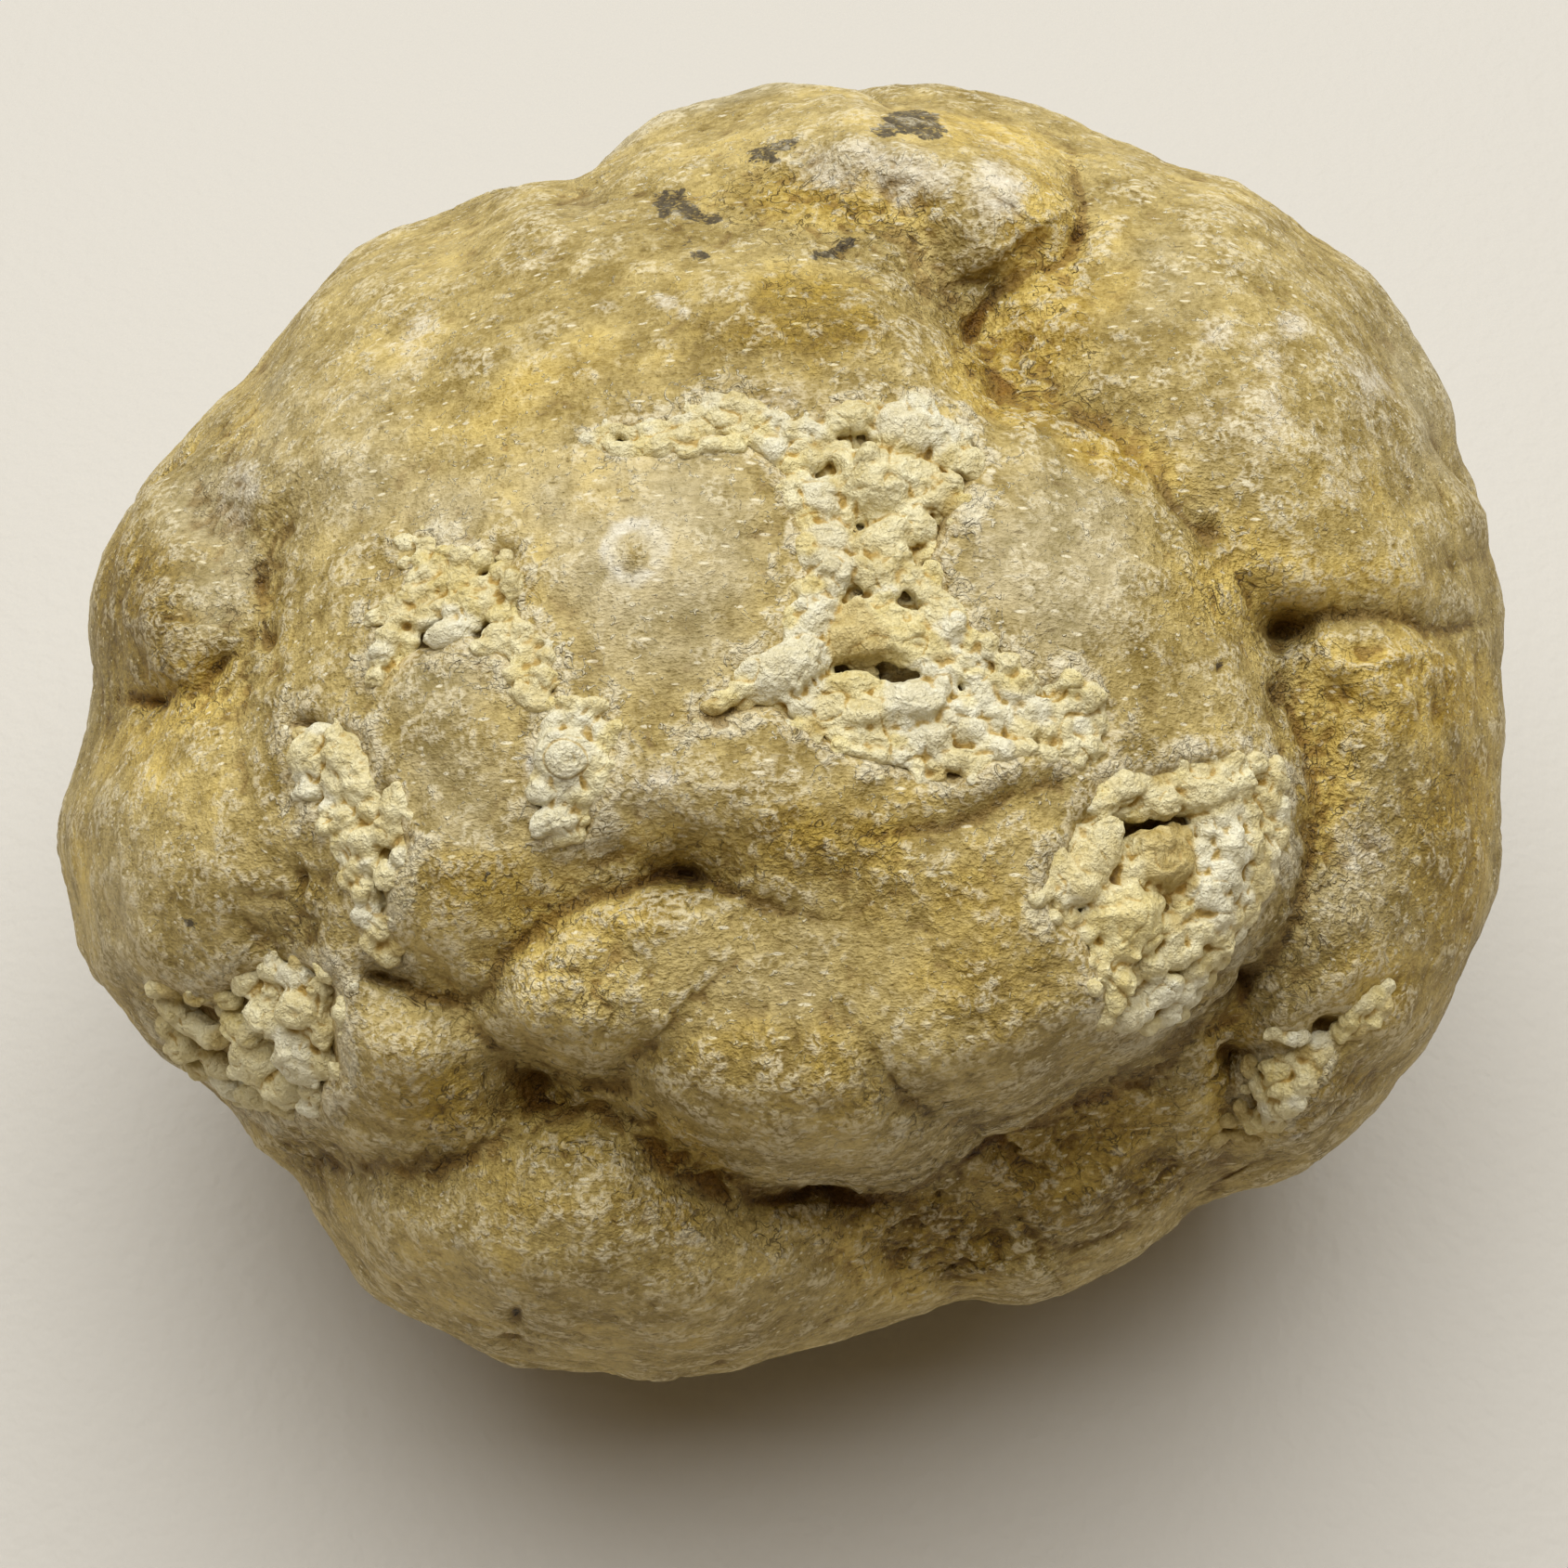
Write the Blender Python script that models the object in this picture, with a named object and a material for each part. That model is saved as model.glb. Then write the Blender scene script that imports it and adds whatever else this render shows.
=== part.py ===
"""A whole agate geode: a lobed chalcedony nodule, one solid, resting on a small flat spot.

Metres, +Z up. The origin is under the stone's middle, in the plane of its flat foot. +X runs along the longest side.
The form starts as a rounded body. Folds, overhanging lips, pits and broken-open patches are laid out as lines on charts
of its sides, and press its surface in or lift it.
"""

import math

import bmesh
import bpy
import numpy as np

MM = 0.001
FACES = 9400            # triangles that the body keeps
LEAST_KNOB = 20         # half width of the smallest knob on this solid, in chart units
NARROW = 36             # narrowest fold on this solid, in chart units
# ---------------------------------------------------------------- driving dimensions (metres)
WIDTH = 0.1150          # longest side, along X
DEPTH = 0.1080          # along Y
HEIGHT = 0.0850         # along Z, resting on the foot
FOOT_CUT = 0.0010       # how much of the round underside the flat foot takes off
ROUND = 2.22            # superellipsoid exponent: 2 is an ellipsoid, more is fuller
LOW_ROUND = 2.45        # the underside is a little fuller, so it sits broad

# The upper side is laid out on a chart: a square 1689 units wide, as seen from an eye point
# in front of and above the stone. Along the stone's middle 14 units are about 1 mm.
CHART = 1689.0
CHART_FOCAL = 3150.0    # chart units
EYE_ELEVATION = 60.0    # degrees above the horizontal
EYE_DISTANCE = 0.2335   # from the chart's middle
CUSP = 5.0              # how blunt the bottom of a fold is, in chart units


def ramp(lo, hi, x):
    t = np.clip((x - lo) / (hi - lo), 0.0, 1.0)
    return t * t * (3.0 - 2.0 * t)


# ---------------------------------------------------------------- noise, the same on each run
def _hash(ix, iy, iz, seed):
    h = (ix.astype(np.uint32) * np.uint32(0x8DA6B343)) ^ (iy.astype(np.uint32) * np.uint32(0xD8163841))
    h ^= (iz.astype(np.uint32) * np.uint32(0xCB1AB31F)) ^ np.uint32((seed * 0x9E3779B1 + 0x7F4A7C15) & 0xFFFFFFFF)
    h ^= h >> np.uint32(15)
    h *= np.uint32(0x85EBCA6B)
    h ^= h >> np.uint32(13)
    h *= np.uint32(0xC2B2AE35)
    h ^= h >> np.uint32(16)
    return h


def noise(p, seed=0):
    """Gradient noise of points (n, 3), about -1 to 1."""
    base = np.floor(p)
    f = p - base
    i = base.astype(np.int64)
    w = f * f * f * (f * (f * 6 - 15) + 10)
    out = np.zeros(len(p))
    for dx in (0, 1):
        wx = w[:, 0] if dx else 1 - w[:, 0]
        for dy in (0, 1):
            wy = w[:, 1] if dy else 1 - w[:, 1]
            for dz in (0, 1):
                wz = w[:, 2] if dz else 1 - w[:, 2]
                h = _hash(i[:, 0] + dx, i[:, 1] + dy, i[:, 2] + dz, seed)
                gx = (h & np.uint32(1023)).astype(float) / 511.5 - 1
                gy = ((h >> np.uint32(10)) & np.uint32(1023)).astype(float) / 511.5 - 1
                gz = ((h >> np.uint32(20)) & np.uint32(1023)).astype(float) / 511.5 - 1
                out += wx * wy * wz * (gx * (f[:, 0] - dx) + gy * (f[:, 1] - dy) + gz * (f[:, 2] - dz))
    return out * 1.25


def layered(p, size, octaves=3, seed=0, gain=0.5):
    """Noise with features of about this size in metres, and finer ones on top."""
    q = p / size
    out = np.zeros(len(p))
    weight = 1.0
    for k in range(octaves):
        out += weight * noise(q * (2.03 ** k) + 13.7 * k, seed + 101 * k)
        weight *= gain
    return out


# ---------------------------------------------------------------- charts
class Chart:
    """A perspective view of the stone: azimuth 0 looks along +Y, 90 along -X."""

    def __init__(self, azimuth, elevation, distance, target, focal=CHART_FOCAL):
        a, e = math.radians(azimuth), math.radians(elevation)
        out = np.array([math.sin(a) * math.cos(e), -math.cos(a) * math.cos(e), math.sin(e)])
        self.right = np.array([math.cos(a), math.sin(a), 0.0])
        self.forward = -out
        self.up = np.cross(self.right, self.forward)
        self.target = np.array(target, float)
        self.eye = self.target + out * distance
        self.focal = focal
        self.mid = CHART / 2

    def project(self, p):
        q = p - self.eye
        depth = q @ self.forward
        return self.mid + self.focal * (q @ self.right) / depth, self.mid - self.focal * (q @ self.up) / depth, depth

    def place(self, u, v, depth):
        x = (u - self.mid) / self.focal
        y = (v - self.mid) / self.focal
        return self.eye + depth[:, None] * (self.forward + x[:, None] * self.right - y[:, None] * self.up)

    def away(self, p):
        q = p - self.eye
        return q / np.linalg.norm(q, axis=1)[:, None]


MIDDLE = np.array([0.0001, -0.0020, HEIGHT / 2])
# The chart's middle is 4.1 mm below the stone's middle as the eye sees it.
_tilt = math.radians(EYE_ELEVATION)
TOP = Chart(0, EYE_ELEVATION, EYE_DISTANCE, MIDDLE - 0.0041 * np.array([0.0, math.sin(_tilt), math.cos(_tilt)]))

# The stone's outline on the chart, clockwise from the top.
OUTLINE = [
    (840, 88), (867, 88), (921, 94), (992, 91), (1057, 99), (1095, 106), (1144, 125), (1187, 141), (1214, 154),
    (1241, 163), (1274, 179), (1306, 185), (1328, 191), (1360, 209), (1393, 233), (1425, 260), (1458, 282),
    (1490, 314), (1518, 358), (1545, 401), (1561, 428), (1572, 466), (1577, 504), (1593, 531), (1602, 558),
    (1603, 584), (1608, 614), (1617, 642), (1620, 670), (1618, 718), (1625, 763), (1626, 802), (1620, 830),
    (1614, 850), (1618, 872), (1617, 914), (1614, 948), (1610, 981), (1603, 986), (1590, 1024), (1568, 1067),
    (1549, 1111), (1530, 1143), (1506, 1165), (1487, 1197), (1457, 1219), (1436, 1243), (1392, 1268),
    (1354, 1284), (1289, 1303), (1251, 1333), (1208, 1362), (1165, 1387), (1122, 1402), (1078, 1407),
    (1046, 1403), (997, 1413), (970, 1418), (910, 1441), (849, 1462), (813, 1474), (759, 1482), (715, 1488),
    (640, 1481), (542, 1469), (488, 1444), (428, 1415), (390, 1387), (369, 1358), (358, 1336), (336, 1312),
    (325, 1279), (309, 1263), (276, 1236), (260, 1203), (217, 1168), (173, 1138), (146, 1106), (117, 1073),
    (92, 1041), (81, 997), (70, 959), (61, 905), (62, 873), (73, 845), (89, 786), (99, 743), (96, 688),
    (98, 640), (117, 585), (146, 531), (190, 477), (238, 428), (266, 407), (293, 374), (325, 331), (369, 287),
    (412, 255), (488, 225), (542, 200), (575, 195), (623, 192), (656, 163), (699, 130), (759, 111),
]
OUTLINE_MIDDLE = (843.0, 790.0)

# Folds, ledges and cracks on the chart. Each point is (u, v, depth in mm, width on the high side, width on the low side)
# in chart units. The high side is on the left of the way the line runs, so above a line that runs to the right.
# "ledge": the high side rolls over into the line, the low side is a floor that climbs out slowly.
# "fold": both sides roll over into the line. "valley": a soft trough.
LINES = [
    ("cap_lip", "ledge", [
        (662, 1135, 0.3, 40, 50), (683, 1167, 2.0, 45, 60), (694, 1200, 3.4, 50, 70), (721, 1221, 4.4, 55, 80),
        (759, 1250, 5.4, 62, 80), (786, 1267, 6.0, 66, 80), (828, 1279, 6.6, 70, 80), (880, 1280, 7.0, 72, 80),
        (915, 1284, 6.8, 72, 80), (945, 1283, 6.0, 70, 75), (975, 1275, 5.2, 66, 70), (1004, 1263, 4.6, 62, 70),
        (1050, 1228, 4.4, 58, 70), (1073, 1213, 4.6, 58, 75), (1123, 1199, 4.6, 62, 80), (1165, 1178, 4.6, 66, 80),
        (1211, 1160, 4.4, 66, 80), (1247, 1151, 4.0, 62, 75), (1262, 1126, 3.6, 60, 70), (1280, 1103, 3.2, 60, 70),
        (1307, 1080, 3.0, 60, 70), (1335, 1048, 3.0, 56, 75), (1368, 1010, 2.8, 52, 85), (1388, 975, 2.8, 50, 95),
        (1405, 920, 2.8, 50, 95), (1408, 886, 3.0, 50, 95), (1401, 852, 3.2, 50, 95), (1393, 816, 3.4, 50, 95),
        (1387, 791, 3.6, 48, 90), (1372, 746, 4.0, 45, 80), (1366, 700, 3.0, 40, 60), (1352, 668, 1.0, 35, 45)]),
    ("right_lip", "ledge", [
        (1310, 600, 0.2, 50, 60), (1268, 550, 0.4, 54, 75), (1242, 522, 0.7, 54, 85), (1223, 497, 1.0, 52, 90),
        (1198, 471, 1.5, 50, 95), (1156, 452, 2.2, 46, 100), (1128, 439, 2.8, 42, 110), (1086, 430, 3.6, 40, 120),
        (1064, 414, 4.1, 38, 120), (1048, 395, 4.2, 36, 115), (1038, 366, 4.0, 36, 105), (1019, 344, 3.2, 38, 90),
        (1000, 321, 2.9, 38, 70), (985, 290, 1.9, 40, 62), (965, 262, 1.0, 40, 55), (935, 243, 0.3, 40, 50)]),
    ("top_fold", "fold", [
        (1034, 374, 1.3, 35, 40), (1051, 347, 1.7, 48, 50), (1073, 312, 1.8, 62, 64), (1095, 297, 2.0, 68, 72),
        (1121, 286, 2.2, 68, 76), (1147, 279, 2.3, 62, 78), (1161, 255, 2.0, 56, 74), (1164, 235, 1.8, 56, 70),
        (1162, 205, 2.0, 55, 62), (1157, 170, 1.6, 55, 58), (1148, 135, 1.3, 50, 52), (1138, 105, 0.9, 45, 46)]),
    ("saddle", "valley", [
        (1012, 310, 1.8, 60, 60), (980, 270, 2.2, 70, 70), (950, 245, 2.3, 75, 70), (900, 232, 2.2, 75, 60),
        (850, 222, 1.9, 75, 60), (800, 220, 1.6, 70, 55), (740, 228, 1.1, 65, 55), (690, 215, 1.0, 55, 50),
        (650, 203, 1.1, 45, 45), (623, 190, 1.3, 40, 40), (600, 165, 1.0, 40, 40)]),
    ("right_valley", "valley", [
        (1225, 500, 0.6, 66, 66), (1255, 535, 1.1, 64, 64), (1290, 572, 1.5, 60, 60), (1305, 600, 1.5, 58, 58),
        (1322, 632, 1.8, 56, 56), (1345, 655, 2.2, 48, 48), (1375, 680, 2.6, 38, 38), (1392, 690, 1.0, 30, 30)]),
    ("right_crease", "fold", [
        (1622, 668, 1.2, 30, 26), (1596, 669, 1.6, 34, 28), (1544, 677, 1.8, 38, 30), (1488, 664, 1.9, 38, 28),
        (1446, 663, 2.2, 36, 24), (1420, 664, 2.6, 32, 20), (1398, 674, 3.2, 26, 18), (1376, 682, 3.4, 24, 18),
        (1362, 676, 1.8, 22, 20)][::-1]),
    ("right_crease_2", "fold", [
        (1440, 694, 0.2, 18, 14), (1463, 701, 1.0, 20, 15), (1482, 704, 1.1, 20, 15), (1500, 705, 0.3, 18, 14)]),
    ("small_lobe_lip", "ledge", [
        (505, 1082, 0.6, 35, 50), (531, 1121, 2.2, 48, 80), (550, 1136, 3.4, 52, 100), (568, 1147, 4.2, 55, 110),
        (590, 1157, 4.4, 55, 110), (625, 1164, 3.8, 55, 95), (645, 1163, 3.2, 50, 80), (667, 1146, 2.4, 46, 65),
        (684, 1122, 1.5, 40, 50), (692, 1090, 0.5, 30, 40)]),
    ("middle_fold", "fold", [
        (380, 1010, 0.6, 30, 30), (405, 1040, 2.2, 40, 35), (428, 1056, 3.2, 50, 40), (482, 1080, 3.4, 60, 42),
        (524, 1070, 3.2, 60, 42), (546, 1035, 3.2, 60, 42), (571, 1009, 3.4, 62, 42), (597, 990, 3.4, 65, 42),
        (629, 974, 3.3, 70, 46), (673, 963, 3.6, 75, 48), (711, 948, 4.2, 80, 50), (737, 942, 4.4, 80, 52),
        (765, 952, 3.4, 78, 52), (790, 963, 2.6, 70, 52), (823, 974, 1.8, 60, 50), (862, 984, 1.0, 50, 45),
        (905, 990, 0.3, 40, 40)]),
    ("thin_crack", "fold", [
        (925, 912, 0.2, 16, 18), (960, 903, 0.6, 20, 22), (992, 894, 0.9, 22, 24), (1046, 883, 1.0, 24, 26),
        (1078, 862, 1.0, 24, 24), (1110, 848, 0.8, 22, 22), (1142, 845, 0.5, 25, 25)]),
    ("wrinkle", "fold", [
        (612, 936, 0.2, 14, 14), (640, 929, 0.8, 18, 16), (672, 927, 0.8, 18, 16), (700, 930, 0.3, 14, 14)]),
    ("lower_step", "ledge", [
        (925, 1108, 0.3, 35, 40), (950, 1143, 1.2, 42, 48), (973, 1174, 2.4, 46, 52), (992, 1187, 3.0, 48, 55),
        (1031, 1193, 3.2, 48, 55), (1056, 1206, 3.2, 46, 50), (1078, 1222, 1.6, 40, 40)]),
    ("left_lip", "ledge", [
        (335, 505, 0.3, 45, 55), (320, 560, 1.0, 52, 70), (299, 600, 1.6, 58, 84), (292, 630, 1.9, 60, 90),
        (286, 655, 2.0, 60, 90), (289, 688, 2.0, 60, 86), (280, 711, 1.7, 56, 80), (267, 734, 1.3, 52, 70),
        (261, 768, 1.0, 46, 55), (268, 802, 0.3, 40, 45)]),
    ("left_valley", "fold", [
        (70, 758, 0.5, 54, 54), (97, 750, 0.6, 60, 60), (125, 748, 0.7, 64, 64), (160, 755, 0.8, 64, 64),
        (195, 744, 0.7, 60, 60), (229, 729, 0.8, 56, 56), (255, 706, 0.8, 48, 48), (276, 682, 0.6, 38, 40)]),
    ("left_valley_2", "valley", [
        (296, 622, 0.8, 34, 34), (268, 590, 1.3, 42, 44), (236, 556, 1.5, 44, 48), (230, 520, 1.4, 44, 48),
        (234, 486, 1.3, 42, 47), (238, 450, 1.2, 40, 44), (240, 420, 1.0, 38, 42)]),
    ("left_low_fold", "valley", [
        (318, 930, 0.8, 30, 35), (326, 965, 1.6, 36, 40), (300, 1010, 1.6, 40, 45), (285, 1045, 1.0, 40, 45)]),
    ("chin_crack", "ledge", [
        (262, 1208, 0.6, 30, 30), (310, 1235, 1.4, 36, 36), (350, 1250, 2.0, 42, 42), (405, 1250, 2.4, 48, 48),
        (453, 1245, 2.8, 52, 50), (491, 1237, 2.6, 52, 50), (520, 1226, 1.8, 46, 46), (560, 1205, 0.6, 36, 40)]),
    ("right_chin", "ledge", [
        (1062, 1280, 0.3, 26, 32), (1085, 1303, 0.8, 30, 38), (1110, 1323, 1.4, 34, 42), (1137, 1333, 1.6, 36, 44),
        (1174, 1335, 1.8, 36, 44), (1211, 1324, 1.8, 36, 44), (1243, 1316, 1.8, 36, 42), (1279, 1295, 2.0, 36, 40),
        (1321, 1268, 2.2, 34, 38), (1362, 1254, 2.4, 34, 36), (1408, 1244, 2.4, 32, 36), (1440, 1221, 2.2, 30, 34),
        (1477, 1182, 1.6, 28, 30), (1503, 1158, 0.8, 24, 26)]),
    ("brown_crack_1", "fold", [
        (984, 1280, 0.6, 26, 26), (981, 1305, 0.9, 28, 28), (975, 1340, 0.8, 28, 28), (972, 1372, 0.4, 26, 26)]),
    ("brown_crack_2", "fold", [
        (1058, 1288, 0.3, 26, 26), (1069, 1308, 0.6, 28, 28), (1078, 1330, 0.6, 28, 28), (1086, 1352, 0.3, 26, 26)]),
    ("low_right_crack", "fold", [
        (1346, 1030, 0.5, 24, 24), (1341, 1050, 1.0, 30, 30), (1330, 1120, 1.6, 36, 36), (1325, 1179, 1.7, 36, 36),
        (1324, 1225, 1.4, 34, 34), (1322, 1262, 0.8, 30, 30)]),
    ("low_right_crack_2", "fold", [
        (1329, 1142, 1.4, 24, 22), (1373, 1129, 1.4, 26, 24), (1421, 1117, 1.6, 26, 24), (1445, 1104, 1.6, 26, 24),
        (1470, 1090, 1.4, 26, 24), (1488, 1069, 1.2, 26, 24), (1522, 1047, 0.6, 24, 22)]),
]

# Where one part of the stone stands wholly behind another: past the line the surface stays back.
CLIFFS = [
    ("cap_over_chin", [
        (700, 1190, 0.4, 60, 120), (740, 1236, 1.2, 62, 130), (786, 1267, 2.0, 66, 140), (828, 1279, 2.8, 68, 150),
        (880, 1280, 3.6, 70, 170), (930, 1284, 4.6, 70, 180), (975, 1275, 5.8, 70, 200), (1004, 1263, 6.8, 70, 220),
        (1050, 1228, 8.0, 70, 240), (1123, 1199, 9.0, 74, 250), (1165, 1178, 9.4, 76, 250), (1211, 1160, 9.4, 76, 250),
        (1262, 1126, 8.4, 72, 250), (1307, 1080, 7.0, 70, 240), (1345, 1040, 5.4, 66, 220), (1388, 975, 3.8, 60, 200),
        (1408, 886, 2.8, 56, 180), (1393, 816, 2.2, 52, 160), (1372, 746, 1.2, 48, 130), (1362, 690, 0.3, 44, 110)]),
    ("small_lobe_over_jaw", [
        (470, 1085, 0.2, 50, 120), (531, 1121, 1.2, 52, 140), (590, 1157, 2.0, 54, 150), (645, 1163, 1.7, 50, 140),
        (684, 1130, 0.7, 44, 120)]),
    ("cap_over_left_lobe", [
        (345, 480, 0.2, 60, 130), (320, 560, 0.7, 62, 140), (292, 630, 1.2, 64, 150), (288, 688, 1.3, 64, 150),
        (267, 740, 1.0, 60, 140), (262, 820, 0.6, 56, 130), (285, 900, 0.2, 50, 120)]),
    ("cap_over_right_lobe", [
        (1345, 655, 0.2, 50, 130), (1290, 572, 0.7, 54, 140), (1242, 522, 1.3, 54, 150), (1198, 471, 1.8, 54, 160),
        (1128, 439, 2.2, 52, 160), (1070, 420, 2.4, 50, 150), (1038, 366, 2.2, 48, 130), (1005, 325, 1.5, 46, 110),
        (975, 275, 0.6, 44, 100), (945, 245, 0.2, 44, 90)]),
]

# Swellings (+) and hollows (-) on the chart: (u, v, half length, half width, turn in degrees, height in mm).
DOMES = [
    (820, 690, 430, 330, 0, 1.6), (830, 360, 230, 120, -5, 1.6), (1010, 165, 130, 72, 12, 2.4),
    (1400, 430, 165, 180, 20, 2.4), (1500, 850, 100, 170, 0, 1.4), (170, 645, 80, 100, 0, 2.0),
    (190, 930, 110, 130, 0, 1.5), (690, 600, 120, 105, 0, 1.0), (470, 775, 85, 80, 0, 1.1),
    (770, 860, 170, 65, 0, 1.4), (1143, 610, 120, 110, 30, 1.4), (1110, 1010, 130, 120, 0, 1.3),
    (800, 1160, 150, 80, 12, 1.4), (600, 1085, 84, 60, -8, 1.6), (676, 990, 70, 30, 0, 1.2), (655, 1050, 26, 50, 20, -0.5), (560, 1040, 50, 30, -40, 0.7),
    (480, 960, 95, 95, 0, 1.4), (640, 1345, 230, 110, 5, 2.0), (1150, 1268, 90, 45, 0, 1.0),
    (430, 1160, 95, 60, 10, 1.6), (1405, 1195, 60, 45, 0, 1.2), (1090, 830, 55, 35, -20, 1.2),
    (540, 340, 200, 110, -25, 1.2), (350, 480, 60, 90, 30, 0.9), (1440, 1000, 70, 60, 20, 1.0),
    (1000, 1110, 120, 60, 0, 0.8), (1110, 372, 55, 38, 20, -1.2), (1040, 362, 16, 22, 30, -0.8),
    (1385, 681, 26, 10, 0, -1.8), (737, 942, 28, 14, 5, -1.2), (1158, 258, 12, 18, 10, -0.6),
    (286, 640, 14, 26, 5, -0.8), (160, 754, 20, 10, 0, -0.6), (240, 720, 26, 18, -30, -0.8),
    (413, 1053, 22, 9, 12, -1.2), (578, 1164, 30, 12, 10, -1.4), (885, 1288, 60, 9, 0, -1.4),
    (1300, 575, 18, 16, 0, -0.6), (1240, 860, 150, 60, 60, -0.6), (552, 1449, 16, 8, 0, -0.9),
    (343, 1307, 10, 9, 0, -0.8), (1420, 800, 50, 100, 0, -0.8),
    (205, 765, 60, 30, 0, -0.8), (1015, 1340, 80, 60, 0, -1.6), (1150, 1255, 150, 60, -20, -3.2),
    (900, 1190, 240, 70, -4, 1.6), (1200, 1090, 110, 60, -35, 1.4), (590, 1190, 70, 26, 10, -1.6),
    (730, 1262, 70, 24, 38, -1.6), (1335, 1160, 40, 80, 0, -1.4), (1068, 1325, 24, 26, 0, -0.7),
    (1344, 1052, 12, 16, 0, -1.2), (1339, 1143, 12, 12, 0, -1.0), (1431, 1104, 16, 8, -20, -1.0),
    (420, 1120, 60, 40, 20, 0.8), (1470, 1080, 60, 50, 0, 0.8), (1520, 620, 60, 60, 0, 0.8), (1500, 730, 70, 30, 0, 0.6),
]

# Broken-open patches on the chart: their edge, and how far their floor lies below the skin, in mm.
PATCHES = {
    "A": (0.5, [
        (636, 462), (668, 452), (712, 455), (755, 434), (790, 428), (826, 448), (866, 452), (905, 432), (955, 432),
        (1000, 440), (1040, 462), (1068, 492), (1052, 525), (1030, 560), (1012, 600), (1022, 640), (1050, 680),
        (1085, 705), (1115, 735), (1150, 722), (1185, 742), (1198, 785), (1185, 822), (1150, 826), (1108, 812),
        (1070, 830), (1030, 850), (975, 838), (915, 820), (862, 790), (830, 768), (788, 778), (740, 780), (752, 762),
        (790, 742), (800, 712), (832, 694), (850, 660), (862, 610), (862, 560), (842, 516), (800, 486), (760, 478),
        (720, 486), (676, 492), (642, 486)]),
    "B": (0.4, [
        (425, 572), (455, 580), (490, 590), (530, 582), (560, 598), (556, 640), (566, 668), (592, 700), (610, 745),
        (592, 770), (560, 740), (528, 700), (490, 690), (456, 706), (415, 742), (396, 720), (410, 682), (388, 664),
        (432, 640), (452, 610)]),
    "C": (0.5, [
        (312, 776), (350, 768), (392, 785), (402, 812), (400, 845), (432, 868), (446, 905), (432, 940), (422, 985),
        (440, 1040), (418, 1048), (392, 1005), (380, 960), (362, 905), (338, 880), (326, 835), (318, 808)]),
    "D": (0.7, [
        (168, 1052), (215, 1075), (262, 1046), (300, 1026), (345, 1036), (368, 1062), (366, 1110), (370, 1150),
        (350, 1190), (312, 1204), (268, 1196), (240, 1172), (206, 1156), (180, 1122)]),
    "E": (0.9, [
        (1180, 838), (1240, 832), (1300, 815), (1340, 808), (1380, 828), (1392, 870), (1376, 930), (1352, 980),
        (1320, 1020), (1296, 1060), (1272, 1092), (1222, 1116), (1186, 1102), (1180, 1060), (1160, 1012),
        (1126, 982), (1124, 940), (1150, 900), (1172, 872)]),
    "F": (0.3, [
        (588, 778), (612, 764), (648, 764), (664, 790), (660, 830), (640, 862), (640, 900), (618, 912), (592, 896),
        (572, 868), (578, 836), (588, 806)]),
    "G": (0.6, [
        (1352, 1140), (1392, 1132), (1424, 1128), (1424, 1150), (1404, 1180), (1380, 1206), (1350, 1216), (1340, 1180)]),
}


def run_through(points, steps=6):
    """A smooth line through points that carry any number of values each."""
    p = np.array(points, float)
    p = np.vstack([2 * p[0] - p[1], p, 2 * p[-1] - p[-2]])
    p[0, 2:], p[-1, 2:] = p[1, 2:], p[-2, 2:]
    out = []
    for i in range(1, len(p) - 2):
        for t in np.arange(steps) / steps:
            out.append(0.5 * (2 * p[i] + (p[i + 1] - p[i - 1]) * t + (2 * p[i - 1] - 5 * p[i] + 4 * p[i + 1] - p[i + 2]) * t * t
                              + (3 * p[i] - p[i - 1] - 3 * p[i + 1] + p[i + 2]) * t ** 3))
    out.append(p[-2])
    return np.array(out)


def from_line(u, v, line):
    """For points on the chart: distance to the line, side (+ is its left), and the line's values there."""
    best = np.full(len(u), 1e18)
    side = np.ones(len(u))
    values = np.zeros((len(u), line.shape[1] - 2))
    for a, b in zip(line[:-1], line[1:]):
        du, dv = b[0] - a[0], b[1] - a[1]
        length = du * du + dv * dv + 1e-12
        t = np.clip(((u - a[0]) * du + (v - a[1]) * dv) / length, 0, 1)
        x, y = u - (a[0] + du * t), v - (a[1] + dv * t)
        d = x * x + y * y
        near = d < best
        if not near.any():
            continue
        best[near] = d[near]
        side[near] = np.where(x[near] * dv - y[near] * du >= 0, 1.0, -1.0)
        values[near] = a[2:] + (b[2:] - a[2:]) * t[near, None]
    return np.sqrt(best), side, values


def inside(u, v, ring):
    hit = np.zeros(len(u), bool)
    for (x0, y0), (x1, y1) in zip(ring, ring[1:] + ring[:1]):
        if y0 == y1:
            continue
        cross = ((y0 > v) != (y1 > v)) & (u < (x1 - x0) * (v - y0) / (y1 - y0) + x0)
        hit ^= cross
    return hit


def from_ring(u, v, ring):
    """Distance to a closed ring, + inside."""
    line = np.array(ring + ring[:1], float)
    d, _, _ = from_line(u, v, line)
    return np.where(inside(u, v, ring), d, -d)


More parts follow.
